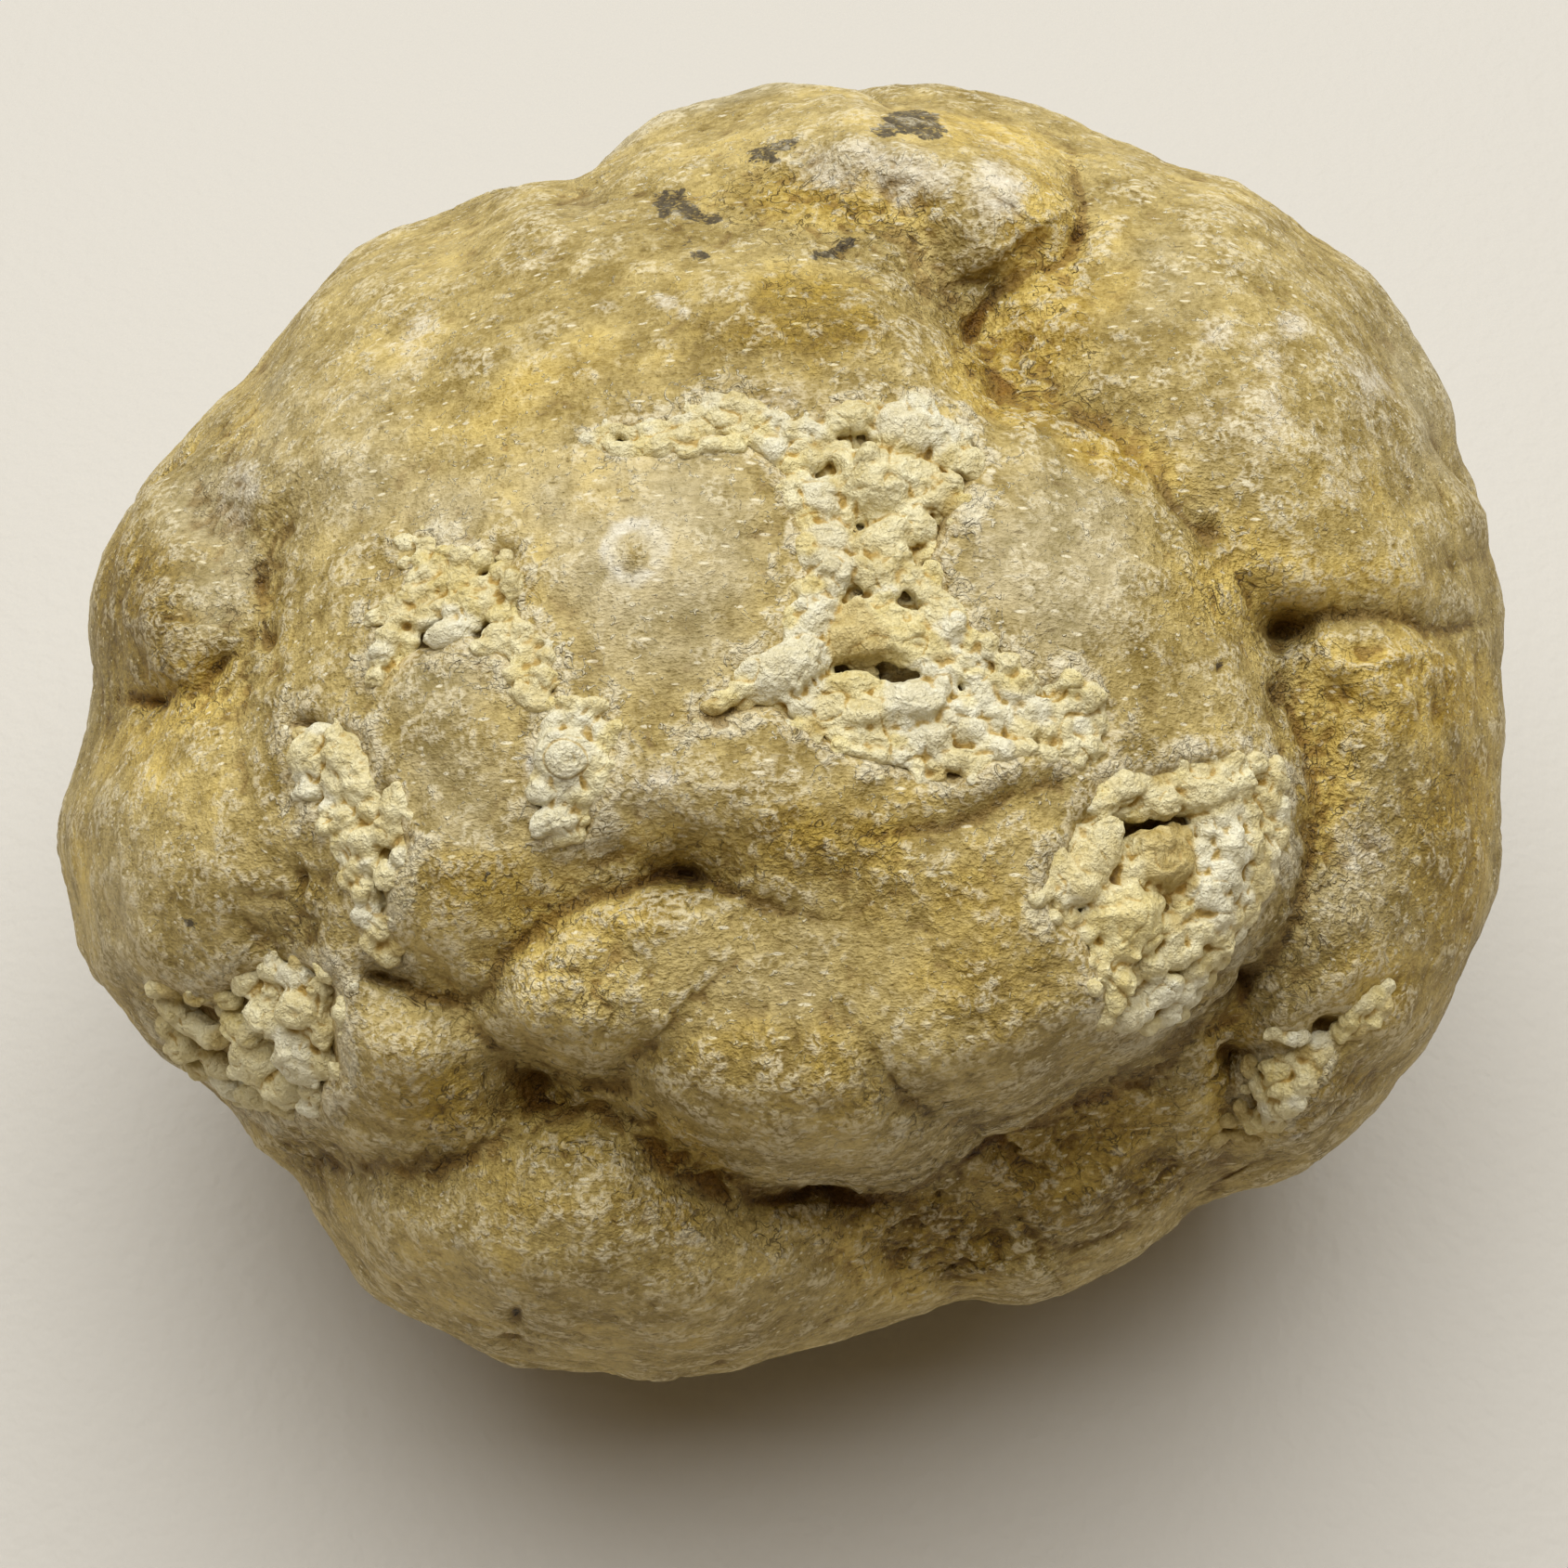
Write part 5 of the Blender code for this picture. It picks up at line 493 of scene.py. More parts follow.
# The knobs of the broken-open patches on the chart: (u, v, half length, half width, turn in degrees, tint).
# Tint 0 is cream, 1 white, 2 yellow, 3 tan.
KNOBS = {
    "A": [
        (632, 473, 9, 6, 0, 1), (648, 468, 8, 6, 0, 0), (664, 466, 9, 7, 0, 0), (680, 470, 8, 6, 0, 2),
        (696, 466, 11, 8, 0, 0), (716, 464, 10, 7, 0, 0), (736, 458, 12, 8, 0, 1), (756, 450, 12, 9, -20, 0),
        (776, 441, 14, 9, 0, 0), (796, 448, 12, 9, 20, 0), (812, 458, 12, 10, 0, 2), (826, 470, 14, 10, 30, 0),
        (846, 474, 12, 10, 0, 0), (862, 486, 13, 11, 0, 0), (874, 500, 12, 12, 0, 2), (884, 478, 12, 10, 0, 0),
        (872, 462, 12, 8, 0, 1), (900, 492, 14, 11, 0, 0), (919, 456, 22, 14, -10, 0), (897, 466, 10, 9, 0, 1),
        (979, 473, 34, 28, 0, 1), (954, 528, 44, 34, 20, 0), (938, 506, 18, 14, 0, 0), (1018, 500, 14, 17, 0, 0),
        (1030, 480, 13, 13, 0, 1), (1046, 505, 12, 15, 0, 0), (1004, 540, 18, 16, 0, 0), (1020, 528, 12, 12, 0, 0),
        (884, 545, 18, 22, 0, 1), (866, 538, 10, 14, 0, 0), (903, 530, 14, 14, 0, 0), (866, 562, 10, 12, 0, 2),
        (901, 558, 8, 11, 20, 3), (913, 563, 8, 10, -20, 3), (926, 556, 9, 9, 0, 3), (943, 560, 10, 9, 0, 2),
        (961, 563, 13, 10, 0, 0), (980, 560, 12, 12, 0, 0), (994, 574, 10, 14, 0, 0),
        (888, 590, 23, 20, 0, 1), (898, 616, 22, 15, 20, 1), (876, 606, 12, 12, 0, 0), (866, 590, 9, 12, 0, 2),
        (946, 593, 30, 22, -20, 0), (939, 620, 22, 19, 0, 0), (951, 643, 15, 13, 0, 1), (962, 612, 17, 22, 0, 0),
        (891, 639, 13, 12, 0, 0), (888, 656, 15, 12, 0, 0), (871, 640, 11, 14, 0, 2), (864, 660, 10, 12, 0, 0),
        (874, 674, 26, 14, -45, 1), (858, 684, 14, 11, -40, 0), (850, 668, 9, 11, 0, 2),
        (979, 628, 16, 12, 50, 0), (998, 645, 22, 13, 50, 0), (1014, 660, 20, 14, 50, 0), (1026, 680, 18, 19, 0, 1),
        (1000, 664, 9, 15, -20, 2), (988, 690, 12, 11, 0, 3), (1006, 700, 15, 13, 0, 2), (999, 678, 7, 6, 0, 0),
        (920, 694, 32, 20, 5, 3), (944, 678, 24, 22, 0, 2), (968, 694, 22, 19, 0, 2), (930, 664, 18, 14, 0, 0),
        (955, 664, 15, 12, 0, 0), (908, 678, 14, 12, 0, 2), (974, 672, 14, 12, 0, 2), (986, 712, 13, 10, 0, 3),
        (887, 706, 9, 16, 15, 3), (845, 724, 42, 22, -32, 1), (822, 738, 18, 12, -20, 1), (868, 716, 14, 15, -30, 0),
        (812, 726, 14, 12, 0, 2), (798, 742, 14, 9, 0, 0), (782, 752, 13, 8, 0, 2), (768, 762, 12, 7, 0, 3),
        (890, 730, 8, 8, 0, 3), (923, 717, 10, 8, 0, 2), (937, 729, 9, 8, 0, 0),
        (916, 742, 28, 14, 8, 2), (884, 748, 16, 12, -10, 0), (946, 748, 13, 11, 0, 2), (900, 762, 24, 14, 0, 0),
        (866, 766, 16, 11, -15, 0), (928, 772, 26, 17, 5, 0), (955, 768, 17, 15, 0, 1), (983, 762, 30, 20, 0, 1),
        (1010, 748, 14, 14, 0, 0), (1004, 728, 11, 11, 0, 2), (1022, 728, 12, 12, 0, 0), (1022, 710, 11, 11, 0, 0),
        (881, 778, 13, 9, 0, 1), (848, 752, 12, 9, 0, 0), (832, 756, 12, 8, 0, 2), (901, 791, 11, 8, 0, 2),
        (922, 796, 12, 9, 0, 0), (944, 798, 13, 10, 0, 0), (966, 800, 14, 10, 0, 2), (984, 806, 12, 10, 0, 0),
        (1002, 800, 18, 16, 0, 1), (1034, 820, 15, 12, 0, 0), (1018, 782, 14, 13, 0, 0), (1046, 792, 20, 14, 20, 1),
        (1072, 776, 18, 15, 0, 1), (1038, 766, 14, 14, 0, 0), (1054, 752, 14, 14, 0, 1), (1040, 714, 12, 12, 0, 0),
        (1059, 706, 12, 10, 0, 1), (1050, 732, 12, 12, 0, 2), (1072, 738, 14, 12, 0, 0), (1091, 752, 14, 15, 0, 1),
        (1108, 770, 19, 14, -15, 1), (1098, 790, 16, 13, 0, 0), (1120, 790, 14, 13, 0, 0), (1134, 768, 17, 14, 0, 0),
        (1153, 736, 13, 12, 0, 2), (1172, 752, 13, 14, 0, 0), (1154, 758, 12, 12, 0, 0), (1159, 784, 15, 14, 0, 1),
        (1140, 790, 12, 12, 0, 0), (1172, 806, 15, 11, 0, 0), (1148, 808, 13, 10, 0, 0), (1182, 782, 10, 13, 0, 0),
        (1064, 806, 14, 11, 0, 0), (1084, 812, 13, 11, 0, 1), (1104, 808, 13, 9, 0, 0), (1052, 826, 13, 10, 0, 0),
        (1010, 824, 13, 10, 0, 0), (990, 826, 12, 9, 0, 0), (968, 820, 12, 8, 0, 1), (946, 816, 11, 8, 0, 0),
        (924, 812, 10, 7, 0, 0), (904, 806, 9, 7, 0, 2), (1128, 812, 12, 9, 0, 0), (1086, 716, 11, 10, 0, 0),
        (1104, 736, 11, 11, 0, 0), (1066, 690, 10, 9, 0, 0), (1046, 690, 10, 10, 0, 2),
        (650, 482, 13, 10, 10, 0), (672, 486, 14, 10, 0, 0), (694, 486, 14, 10, 0, 2), (716, 482, 15, 11, 0, 0),
        (738, 474, 16, 12, -10, 0), (758, 466, 15, 12, 0, 0), (778, 458, 17, 13, 0, 0), (798, 466, 16, 13, 20, 0),
        (818, 478, 16, 12, 30, 0), (836, 492, 15, 12, 30, 1), (850, 508, 14, 12, 30, 2), (862, 524, 13, 12, 0, 0),
        (790, 436, 15, 10, 10, 0), (770, 432, 12, 8, 0, 1), (812, 442, 13, 9, 10, 0), (834, 452, 13, 9, 10, 1),
        (704, 472, 13, 8, 0, 1), (684, 474, 12, 8, 0, 0), (742, 488, 12, 8, 0, 0), (766, 482, 13, 9, 0, 0),
        (786, 480, 14, 9, 10, 2), (846, 526, 12, 10, 0, 0), (852, 544, 10, 12, 0, 0), (854, 470, 13, 9, 0, 0),
    ],
    "B": [
        (440, 585, 11, 9, 0, 0), (462, 592, 13, 9, 20, 0), (480, 600, 11, 9, 0, 2), (500, 602, 12, 10, 0, 0),
        (521, 608, 10, 9, 0, 0), (548, 604, 10, 9, 0, 0), (455, 606, 10, 9, 0, 2), (465, 622, 13, 11, 0, 0),
        (486, 618, 10, 10, 0, 1), (448, 626, 11, 10, 0, 0), (465, 645, 13, 12, 0, 1), (444, 648, 12, 11, 0, 0),
        (426, 658, 13, 10, -20, 0), (408, 668, 12, 9, -20, 0), (484, 640, 10, 10, 0, 2), (497, 650, 12, 10, 0, 0),
        (554, 632, 13, 15, 0, 0), (540, 622, 10, 10, 0, 2), (529, 652, 18, 14, 30, 0), (545, 668, 15, 12, 0, 2),
        (520, 634, 9, 9, 0, 2), (436, 672, 14, 11, 0, 0), (422, 690, 13, 12, 0, 0), (412, 708, 12, 13, 0, 1),
        (484, 684, 22, 13, -15, 1), (460, 672, 14, 11, 0, 0), (506, 674, 13, 11, 0, 2), (444, 694, 12, 9, 0, 0),
        (540, 688, 14, 11, 20, 0), (556, 700, 15, 12, 20, 0), (572, 716, 15, 13, 20, 0), (586, 734, 13, 13, 0, 0),
        (560, 728, 12, 12, 0, 2), (580, 756, 12, 11, 0, 0), (562, 748, 11, 10, 0, 0), (404, 732, 10, 10, 0, 0),
        (566, 680, 12, 11, 0, 0), (590, 708, 10, 10, 0, 0), (436, 608, 9, 8, 0, 0), (508, 622, 9, 8, 0, 0),
        (498, 634, 21, 17, 0, 2), (512, 656, 19, 15, 30, 2), (472, 660, 18, 13, 0, 0), (520, 700, 13, 10, 0, 0), (494, 664, 14, 11, 0, 0),
    ],
    "C": [
        (325, 792, 9, 8, 0, 3), (341, 817, 19, 21, 0, 0), (382, 822, 30, 22, 60, 0), (392, 846, 20, 17, 40, 0),
        (367, 850, 13, 18, -20, 1), (334, 852, 15, 13, 0, 1), (359, 873, 10, 9, 0, 0), (380, 884, 18, 15, 20, 0),
        (406, 872, 14, 12, 0, 0), (427, 868, 14, 18, 0, 0), (423, 900, 14, 14, 0, 0), (402, 908, 17, 14, 0, 0),
        (382, 908, 13, 11, 0, 2), (404, 930, 14, 12, 0, 1), (386, 936, 11, 12, 0, 0), (418, 944, 12, 13, 0, 0),
        (396, 960, 13, 13, 0, 0), (412, 972, 12, 12, 0, 0), (395, 985, 13, 12, 0, 1), (414, 1000, 12, 13, 0, 0),
        (400, 1016, 11, 12, 0, 0), (420, 1026, 12, 11, 0, 0), (352, 792, 16, 9, 0, 1), (374, 796, 12, 8, 0, 0),
        (352, 892, 10, 10, 0, 0), (366, 912, 9, 10, 0, 0), (432, 922, 9, 11, 0, 1), (372, 948, 9, 10, 0, 0),
    ],
    "D": [
        (286, 1137, 29, 25, 0, 0), (331, 1131, 25, 27, 0, 1), (315, 1165, 30, 18, -10, 0), (337, 1086, 25, 20, 20, 0),
        (296, 1088, 22, 19, 0, 0), (262, 1100, 16, 14, 0, 2), (216, 1096, 30, 13, 20, 0), (236, 1112, 16, 12, 0, 3),
        (203, 1127, 16, 13, 0, 0), (241, 1140, 16, 14, 0, 0), (273, 1057, 16, 13, 0, 0), (250, 1072, 14, 10, 0, 2),
        (327, 1051, 19, 13, 0, 1), (299, 1043, 16, 12, 0, 0), (304, 1066, 14, 12, 0, 0), (350, 1062, 13, 11, 0, 0),
        (190, 1082, 16, 11, 20, 0), (182, 1108, 12, 14, 0, 0), (222, 1146, 16, 12, 0, 0), (252, 1164, 18, 13, 0, 1),
        (282, 1176, 20, 13, 0, 0), (312, 1190, 20, 10, 0, 0), (345, 1172, 15, 14, 0, 0), (352, 1110, 13, 16, 0, 0),
        (354, 1142, 12, 16, 0, 0), (276, 1110, 13, 12, 0, 0), (312, 1108, 13, 12, 0, 2), (262, 1184, 14, 9, 0, 0),
        (336, 1192, 14, 9, 0, 1), (368, 1090, 10, 11, 0, 0), (168, 1064, 11, 9, 0, 0), (210, 1076, 12, 8, 0, 3),
    ],
    "E": [
        (1203, 849, 19, 14, 0, 0), (1226, 843, 14, 10, 0, 0), (1240, 862, 23, 16, 0, 0), (1262, 843, 16, 12, 0, 2),
        (1289, 855, 30, 21, -10, 0), (1308, 836, 14, 12, 0, 0), (1324, 823, 14, 12, 0, 0), (1327, 846, 17, 15, 0, 0),
        (1348, 824, 14, 12, 0, 0), (1362, 838, 17, 16, 0, 0), (1354, 862, 16, 14, 0, 0), (1371, 876, 13, 18, 0, 1),
        (1338, 876, 15, 13, 0, 0), (1318, 872, 14, 12, 0, 2), (1186, 868, 13, 14, 0, 0), (1170, 886, 12, 15, 20, 0),
        (1218, 876, 15, 10, 0, 2), (1174, 929, 40, 18, -58, 0), (1160, 908, 16, 14, -50, 0), (1155, 954, 23, 19, 0, 1),
        (1140, 940, 13, 18, 0, 0), (1141, 966, 14, 13, 0, 0), (1194, 916, 12, 12, 0, 2), (1238, 929, 31, 30, 0, 3),
        (1262, 904, 17, 14, 0, 3), (1214, 944, 16, 16, 0, 2), (1206, 989, 35, 27, 15, 2), (1186, 970, 17, 14, 0, 2),
        (1228, 972, 18, 15, 0, 0), (1178, 988, 13, 13, 0, 0), (1203, 1024, 17, 14, 0, 0), (1226, 1012, 15, 14, 0, 2),
        (1257, 1027, 25, 14, -10, 0), (1254, 1002, 16, 15, 0, 3), (1236, 1040, 14, 12, 0, 0),
        (1305, 890, 25, 20, 70, 1), (1312, 912, 24, 24, 0, 1), (1292, 924, 18, 20, 0, 1), (1306, 942, 24, 22, 0, 1),
        (1290, 962, 22, 22, 0, 1), (1296, 984, 20, 20, 0, 1), (1280, 1002, 20, 17, 0, 0), (1274, 946, 14, 16, 0, 0),
        (1268, 976, 14, 14, 0, 2), (1337, 912, 16, 18, 0, 0), (1350, 894, 14, 14, 0, 0), (1356, 920, 14, 16, 0, 1),
        (1340, 940, 15, 16, 0, 0), (1354, 950, 13, 16, 0, 0), (1330, 964, 16, 16, 0, 1), (1320, 986, 16, 15, 0, 0),
        (1306, 1008, 16, 15, 0, 0), (1294, 1028, 15, 14, 0, 0), (1278, 1046, 16, 14, 0, 1), (1264, 1064, 17, 13, 0, 1),
        (1241, 1062, 24, 16, -15, 1), (1250, 1084, 18, 14, 0, 1), (1226, 1082, 16, 13, 0, 0), (1209, 1094, 17, 13, 0, 1),
        (1232, 1100, 15, 11, 0, 0), (1196, 1078, 13, 12, 0, 2), (1206, 1056, 14, 13, 0, 2), (1187, 1047, 10, 12, 0, 0),
        (1182, 1030, 10, 11, 0, 0), (1168, 1005, 10, 10, 0, 0), (1150, 990, 11, 9, 0, 0), (1136, 988, 8, 7, 0, 0),
        (1117, 970, 9, 8, 0, 0), (1178, 1064, 8, 9, 0, 0), (1190, 1100, 9, 9, 0, 0), (1374, 900, 11, 14, 0, 0),
        (1366, 936, 10, 13, 0, 1), (1344, 980, 11, 13, 0, 0), (1328, 1006, 12, 12, 0, 1), (1310, 1032, 12, 12, 0, 0),
        (1296, 1052, 12, 11, 0, 0), (1282, 1072, 12, 10, 0, 1), (1266, 1090, 12, 10, 0, 0),
    ],
    "F": [
        (609, 820, 27, 26, 0, 1), (625, 791, 14, 10, 20, 1), (584, 852, 15, 12, 0, 1), (600, 884, 19, 12, 0, 1), (592, 794, 17, 9, -60, 1), (606, 778, 18, 10, -20, 1),
        (628, 776, 18, 11, 10, 1), (648, 790, 16, 12, 40, 1), (640, 760, 16, 8, 0, 0), (616, 756, 14, 6, 10, 0),
        (664, 782, 9, 7, 0, 2), (598, 850, 20, 12, 20, 1), (626, 858, 16, 12, 0, 0), (612, 886, 13, 9, -10, 0),
        (630, 880, 11, 8, 0, 2), (604, 904, 9, 8, 0, 0), (620, 900, 11, 8, 0, 0), (582, 890, 9, 12, 20, 1),
        (646, 838, 10, 16, 0, 0), (578, 838, 7, 10, 0, 0), (592, 758, 8, 7, 0, 2), (642, 820, 12, 14, 0, 1),
    ],
    "G": [
        (1456, 1094, 14, 12, -30, 2), (1468, 1083, 13, 10, -30, 0), (1445, 1111, 10, 9, 0, 2), (1464, 1108, 12, 9, -20, 3),
        (1478, 1098, 12, 10, 0, 2), (1480, 1074, 13, 10, -30, 2), (1491, 1063, 12, 9, -40, 0), (1490, 1082, 11, 9, 0, 3), (1372, 1150, 18, 13, 0, 2),
        (1392, 1142, 14, 11, 0, 0), (1408, 1150, 13, 11, 0, 2), (1360, 1168, 14, 13, 0, 0), (1384, 1170, 17, 14, 0, 2),
        (1404, 1166, 12, 11, 0, 0), (1366, 1190, 14, 13, 0, 1), (1388, 1190, 13, 11, 0, 0), (1352, 1206, 12, 11, 0, 2),
        (1374, 1208, 12, 10, 0, 0), (1396, 1186, 11, 9, 0, 1), (1424, 1138, 12, 9, -20, 0), (1420, 1122, 12, 8, -10, 1),
        (1396, 1116, 14, 9, 0, 1), (1376, 1112, 13, 9, 0, 0), (1350, 1150, 10, 12, 0, 3), (1312, 1224, 10, 12, 0, 3),
        (1322, 1206, 9, 10, 0, 3),
        (1350, 1226, 12, 9, 0, 3), (1336, 1222, 8, 12, 0, 3), (1338, 1194, 8, 12, 0, 3), 
    ],
}


# The sides that the eye point doesn't see, laid out in the same way from other eye points. The stone's middle is at
# (844, 844). REAR: u runs along -X. LEFT (from -X): u runs along -Y. RIGHT (from +X): u runs along +Y. UNDER: from below.
REAR = Chart(180, 8, EYE_DISTANCE, MIDDLE)
LEFT = Chart(270, 0, EYE_DISTANCE, MIDDLE)
RIGHT = Chart(90, 0, EYE_DISTANCE, MIDDLE)
UNDER = Chart(0, -78, EYE_DISTANCE, MIDDLE)

HIDDEN = [
    (REAR, [
        ("rear_lip", "ledge", [
            (250, 560, 0.4, 45, 60), (330, 640, 2.0, 55, 75), (440, 700, 3.6, 60, 85), (560, 722, 4.6, 65, 90),
            (680, 700, 4.6, 65, 90), (790, 668, 4.0, 60, 85), (880, 690, 3.4, 55, 75), (950, 760, 3.0, 55, 75),
            (1040, 830, 3.2, 60, 80), (1150, 850, 3.0, 60, 80), (1270, 812, 2.2, 55, 70), (1380, 800, 1.2, 50, 60),
            (1470, 830, 0.3, 40, 50)]),
        ("rear_fold", "fold", [
            (700, 360, 0.6, 45, 45), (716, 450, 1.8, 55, 55), (752, 540, 2.8, 60, 60), (800, 620, 3.2, 55, 55),
            (832, 668, 2.2, 45, 45)]),
        ("rear_fold_2", "fold", [
            (950, 770, 2.0, 45, 45), (930, 860, 2.6, 55, 60), (880, 950, 2.8, 60, 60), (860, 1050, 2.4, 55, 60),
            (900, 1150, 1.6, 50, 50), (960, 1250, 0.6, 45, 45)]),
        ("rear_valley", "valley", [
            (1060, 420, 0.8, 60, 60), (1150, 520, 1.8, 65, 65), (1220, 620, 2.0, 65, 65), (1300, 700, 1.4, 60, 60),
            (1400, 740, 0.6, 55, 55)]),
        ("rear_crack", "fold", [
            (330, 960, 0.4, 30, 30), (420, 1010, 1.4, 38, 38), (520, 1030, 1.8, 40, 40), (620, 1080, 1.6, 40, 40),
            (690, 1150, 0.8, 36, 36), (740, 1220, 0.2, 30, 30)]),
        ("rear_crack_2", "fold", [
            (1120, 1000, 0.3, 26, 26), (1190, 1040, 1.1, 32, 32), (1280, 1050, 1.3, 34, 34), (1360, 1010, 0.8, 30, 30),
            (1420, 960, 0.2, 26, 26)]),
    ], [
        (560, 560, 200, 110, 10, 1.8), (1000, 560, 150, 150, 0, 1.8), (420, 860, 160, 120, 0, 1.4),
        (700, 900, 150, 150, 0, 1.8), (1150, 960, 190, 120, 0, 1.6), (1330, 620, 130, 120, 0, 1.6),
        (812, 645, 26, 20, 0, -3.0), (946, 772, 22, 26, 0, -2.4), (560, 735, 40, 12, 0, -2.0), (300, 740, 26, 16, 20, -1.6),
    ], [
        ("H", 0.9, [
            (1006, 1000), (1040, 958), (1096, 948), (1140, 972), (1180, 1010), (1168, 1052), (1190, 1098), (1150, 1140),
            (1100, 1128), (1060, 1150), (1022, 1110), (1030, 1062)]),
        ("I", 0.8, [
            (330, 828), (380, 796), (450, 790), (510, 820), (550, 868), (522, 910), (470, 908), (430, 880), (380, 892),
            (340, 872)]),
    ]),
    (LEFT, [
        ("left_side_fold", "fold", [
            (560, 330, 0.6, 45, 45), (600, 440, 2.0, 58, 58), (590, 560, 3.0, 62, 62), (640, 680, 3.4, 62, 62),
            (720, 770, 3.0, 60, 60), (760, 880, 2.2, 55, 55), (740, 1000, 1.4, 50, 50), (780, 1110, 0.5, 45, 45)]),
        ("left_side_lip", "ledge", [
            (130, 900, 0.6, 45, 55), (240, 960, 2.2, 55, 70), (360, 980, 3.2, 60, 80), (480, 960, 3.2, 60, 80),
            (590, 900, 2.6, 58, 75), (680, 820, 2.0, 50, 60), (715, 775, 1.0, 40, 45)]),
        ("left_side_crack", "fold", [
            (900, 930, 0.3, 30, 30), (980, 975, 1.2, 36, 36), (1080, 985, 1.4, 36, 36), (1180, 950, 0.9, 34, 34),
            (1260, 900, 0.2, 28, 28)]),
    ], [
        (400, 700, 170, 150, 0, 1.8), (880, 640, 140, 170, 0, 1.4), (500, 1130, 180, 90, 0, 1.4), (960, 1120, 170, 90, 0, 1.2),
        (720, 778, 22, 24, 0, -2.8), (420, 990, 40, 12, 0, -1.6),
    ], []),
    (RIGHT, [
        ("right_side_fold", "fold", [
            (1150, 320, 0.5, 45, 45), (1080, 420, 1.6, 55, 55), (1040, 540, 2.6, 60, 60), (1060, 660, 3.2, 60, 60),
            (1030, 780, 3.0, 60, 60), (950, 870, 2.6, 58, 58), (880, 980, 2.0, 52, 52), (860, 1100, 1.0, 48, 48),
            (890, 1200, 0.3, 40, 40)]),
        ("right_side_lip", "ledge", [
            (380, 930, 0.4, 42, 50), (470, 985, 1.6, 50, 62), (580, 1010, 2.4, 55, 72), (700, 1000, 2.6, 55, 72),
            (810, 960, 2.2, 52, 66), (900, 900, 1.2, 42, 50)]),
        ("right_side_valley", "valley", [
            (1060, 700, 1.0, 45, 45), (1180, 740, 1.8, 55, 55), (1300, 760, 1.8, 55, 55), (1430, 740, 1.0, 50, 50),
            (1540, 720, 0.4, 45, 45)]),
    ], [
        (1250, 560, 160, 140, 0, 1.8), (1230, 930, 170, 130, 0, 1.6), (760, 660, 170, 150, 0, 1.2), (640, 1140, 180, 80, 0, 1.2),
        (1052, 690, 24, 26, 0, -2.8), (690, 1012, 40, 12, 0, -1.6),
    ], [
        ("J", 0.9, [
            (1120, 1020), (1165, 985), (1225, 980), (1262, 1010), (1300, 1040), (1280, 1086), (1230, 1080), (1190, 1106),
            (1146, 1090), (1110, 1060)]),
    ]),
    (UNDER, [
        ("under_fold", "fold", [
            (200, 620, 0.4, 45, 45), (330, 690, 1.6, 52, 52), (440, 780, 2.2, 55, 55), (520, 900, 2.0, 55, 55),
            (560, 1020, 1.2, 50, 50), (640, 1120, 0.4, 45, 45)]),
        ("under_fold_2", "fold", [
            (1480, 560, 0.4, 45, 45), (1360, 640, 1.6, 52, 52), (1240, 690, 2.2, 55, 55), (1180, 800, 2.0, 55, 55),
            (1200, 930, 1.4, 50, 50), (1270, 1040, 0.5, 45, 45)]),
        ("under_valley", "valley", [
            (700, 300, 0.5, 55, 55), (760, 400, 1.4, 60, 60), (860, 470, 1.6, 60, 60), (980, 450, 1.2, 55, 55),
            (1080, 380, 0.4, 50, 50)]),
    ], [
        (340, 900, 140, 130, 0, 1.2), (1330, 860, 120, 130, 0, 1.2), (900, 280, 180, 80, 0, 1.2),
    ], []),
]


def wandered(u, v, p, wander):
    """Chart positions moved about a little, so that a drawn line runs unevenly."""
    if not wander:
        return u, v
    du = layered(p + 0.9, 0.009, 3, seed=21) + 0.4 * layered(p + 0.4, 0.0024, 2, seed=23)
    dv = layered(p + 1.7, 0.009, 3, seed=22) + 0.4 * layered(p + 2.6, 0.0024, 2, seed=24)
    return u + wander * du, v + wander * dv


def hidden_height(p, n, wander=0.0):
    """How far the folds and swellings of the sides hidden from the eye point lift the surface, in mm."""
    out = np.zeros(len(p))
    for chart, lines, domes, patches in HIDDEN:
        u, v, _ = chart.project(p)
        u, v = wandered(u, v, p, wander)
        facing = -(n * chart.away(p)).sum(1)
        w = ramp(0.15, 0.6, facing)
        on = w > 0
        h = np.zeros(on.sum())
        for _, kind, points in lines:
            h -= line_depth(u[on], v[on], kind, points)
        for dome in domes:
            h += dome_height(u[on], v[on], dome)
        for _, deep, ring in patches:
            h -= deep * ramp(-8, 18, from_ring(u[on], v[on], ring))
        out[on] += h * w[on]
    return out


def top_height(u, v, soft=1.0):
    """The same for the side that faces the eye point, along the line of sight."""
    h = np.zeros(len(u))
    for _, kind, points in LINES:
        h -= line_depth(u, v, kind, points)
    for dome in DOMES:
        h += dome_height(u, v, dome)
    for deep, ring in PATCHES.values():
        r = np.array(ring)
        near = (u > r[:, 0].min() - 30) & (u < r[:, 0].max() + 30) & (v > r[:, 1].min() - 30) & (v < r[:, 1].max() + 30)
        d = from_ring(u[near], v[near], ring)
        h[near] -= deep * ramp(-8, 18, d)
    return h


def rough_form(d, wander=0.0):
    """The form with its uneven growth and the folds of its hidden sides, before the outline is fitted."""
    p, n = first_form(d)
    uneven = 1.5 * layered(p + 0.31, 0.048, 2, seed=5) + 0.35 * layered(p + 0.77, 0.017, 2, seed=9)
    p = p + n * (uneven * MM)[:, None]
    facing = -(n * TOP.away(p)).sum(1)
    hidden = 1 - ramp(0.0, 0.35, facing)
    on = hidden > 0
    # Nothing disturbs the ground under the foot.
    foot = ramp(0.016, 0.030, np.hypot(p[:, 0], p[:, 1])) + ramp(0.004, 0.012, p[:, 2])
    lift = np.zeros(len(p))
    lift[on] = hidden_height(p[on], n[on], wander) * hidden[on]
    return p + n * (lift * np.minimum(foot, 1) * MM)[:, None], n


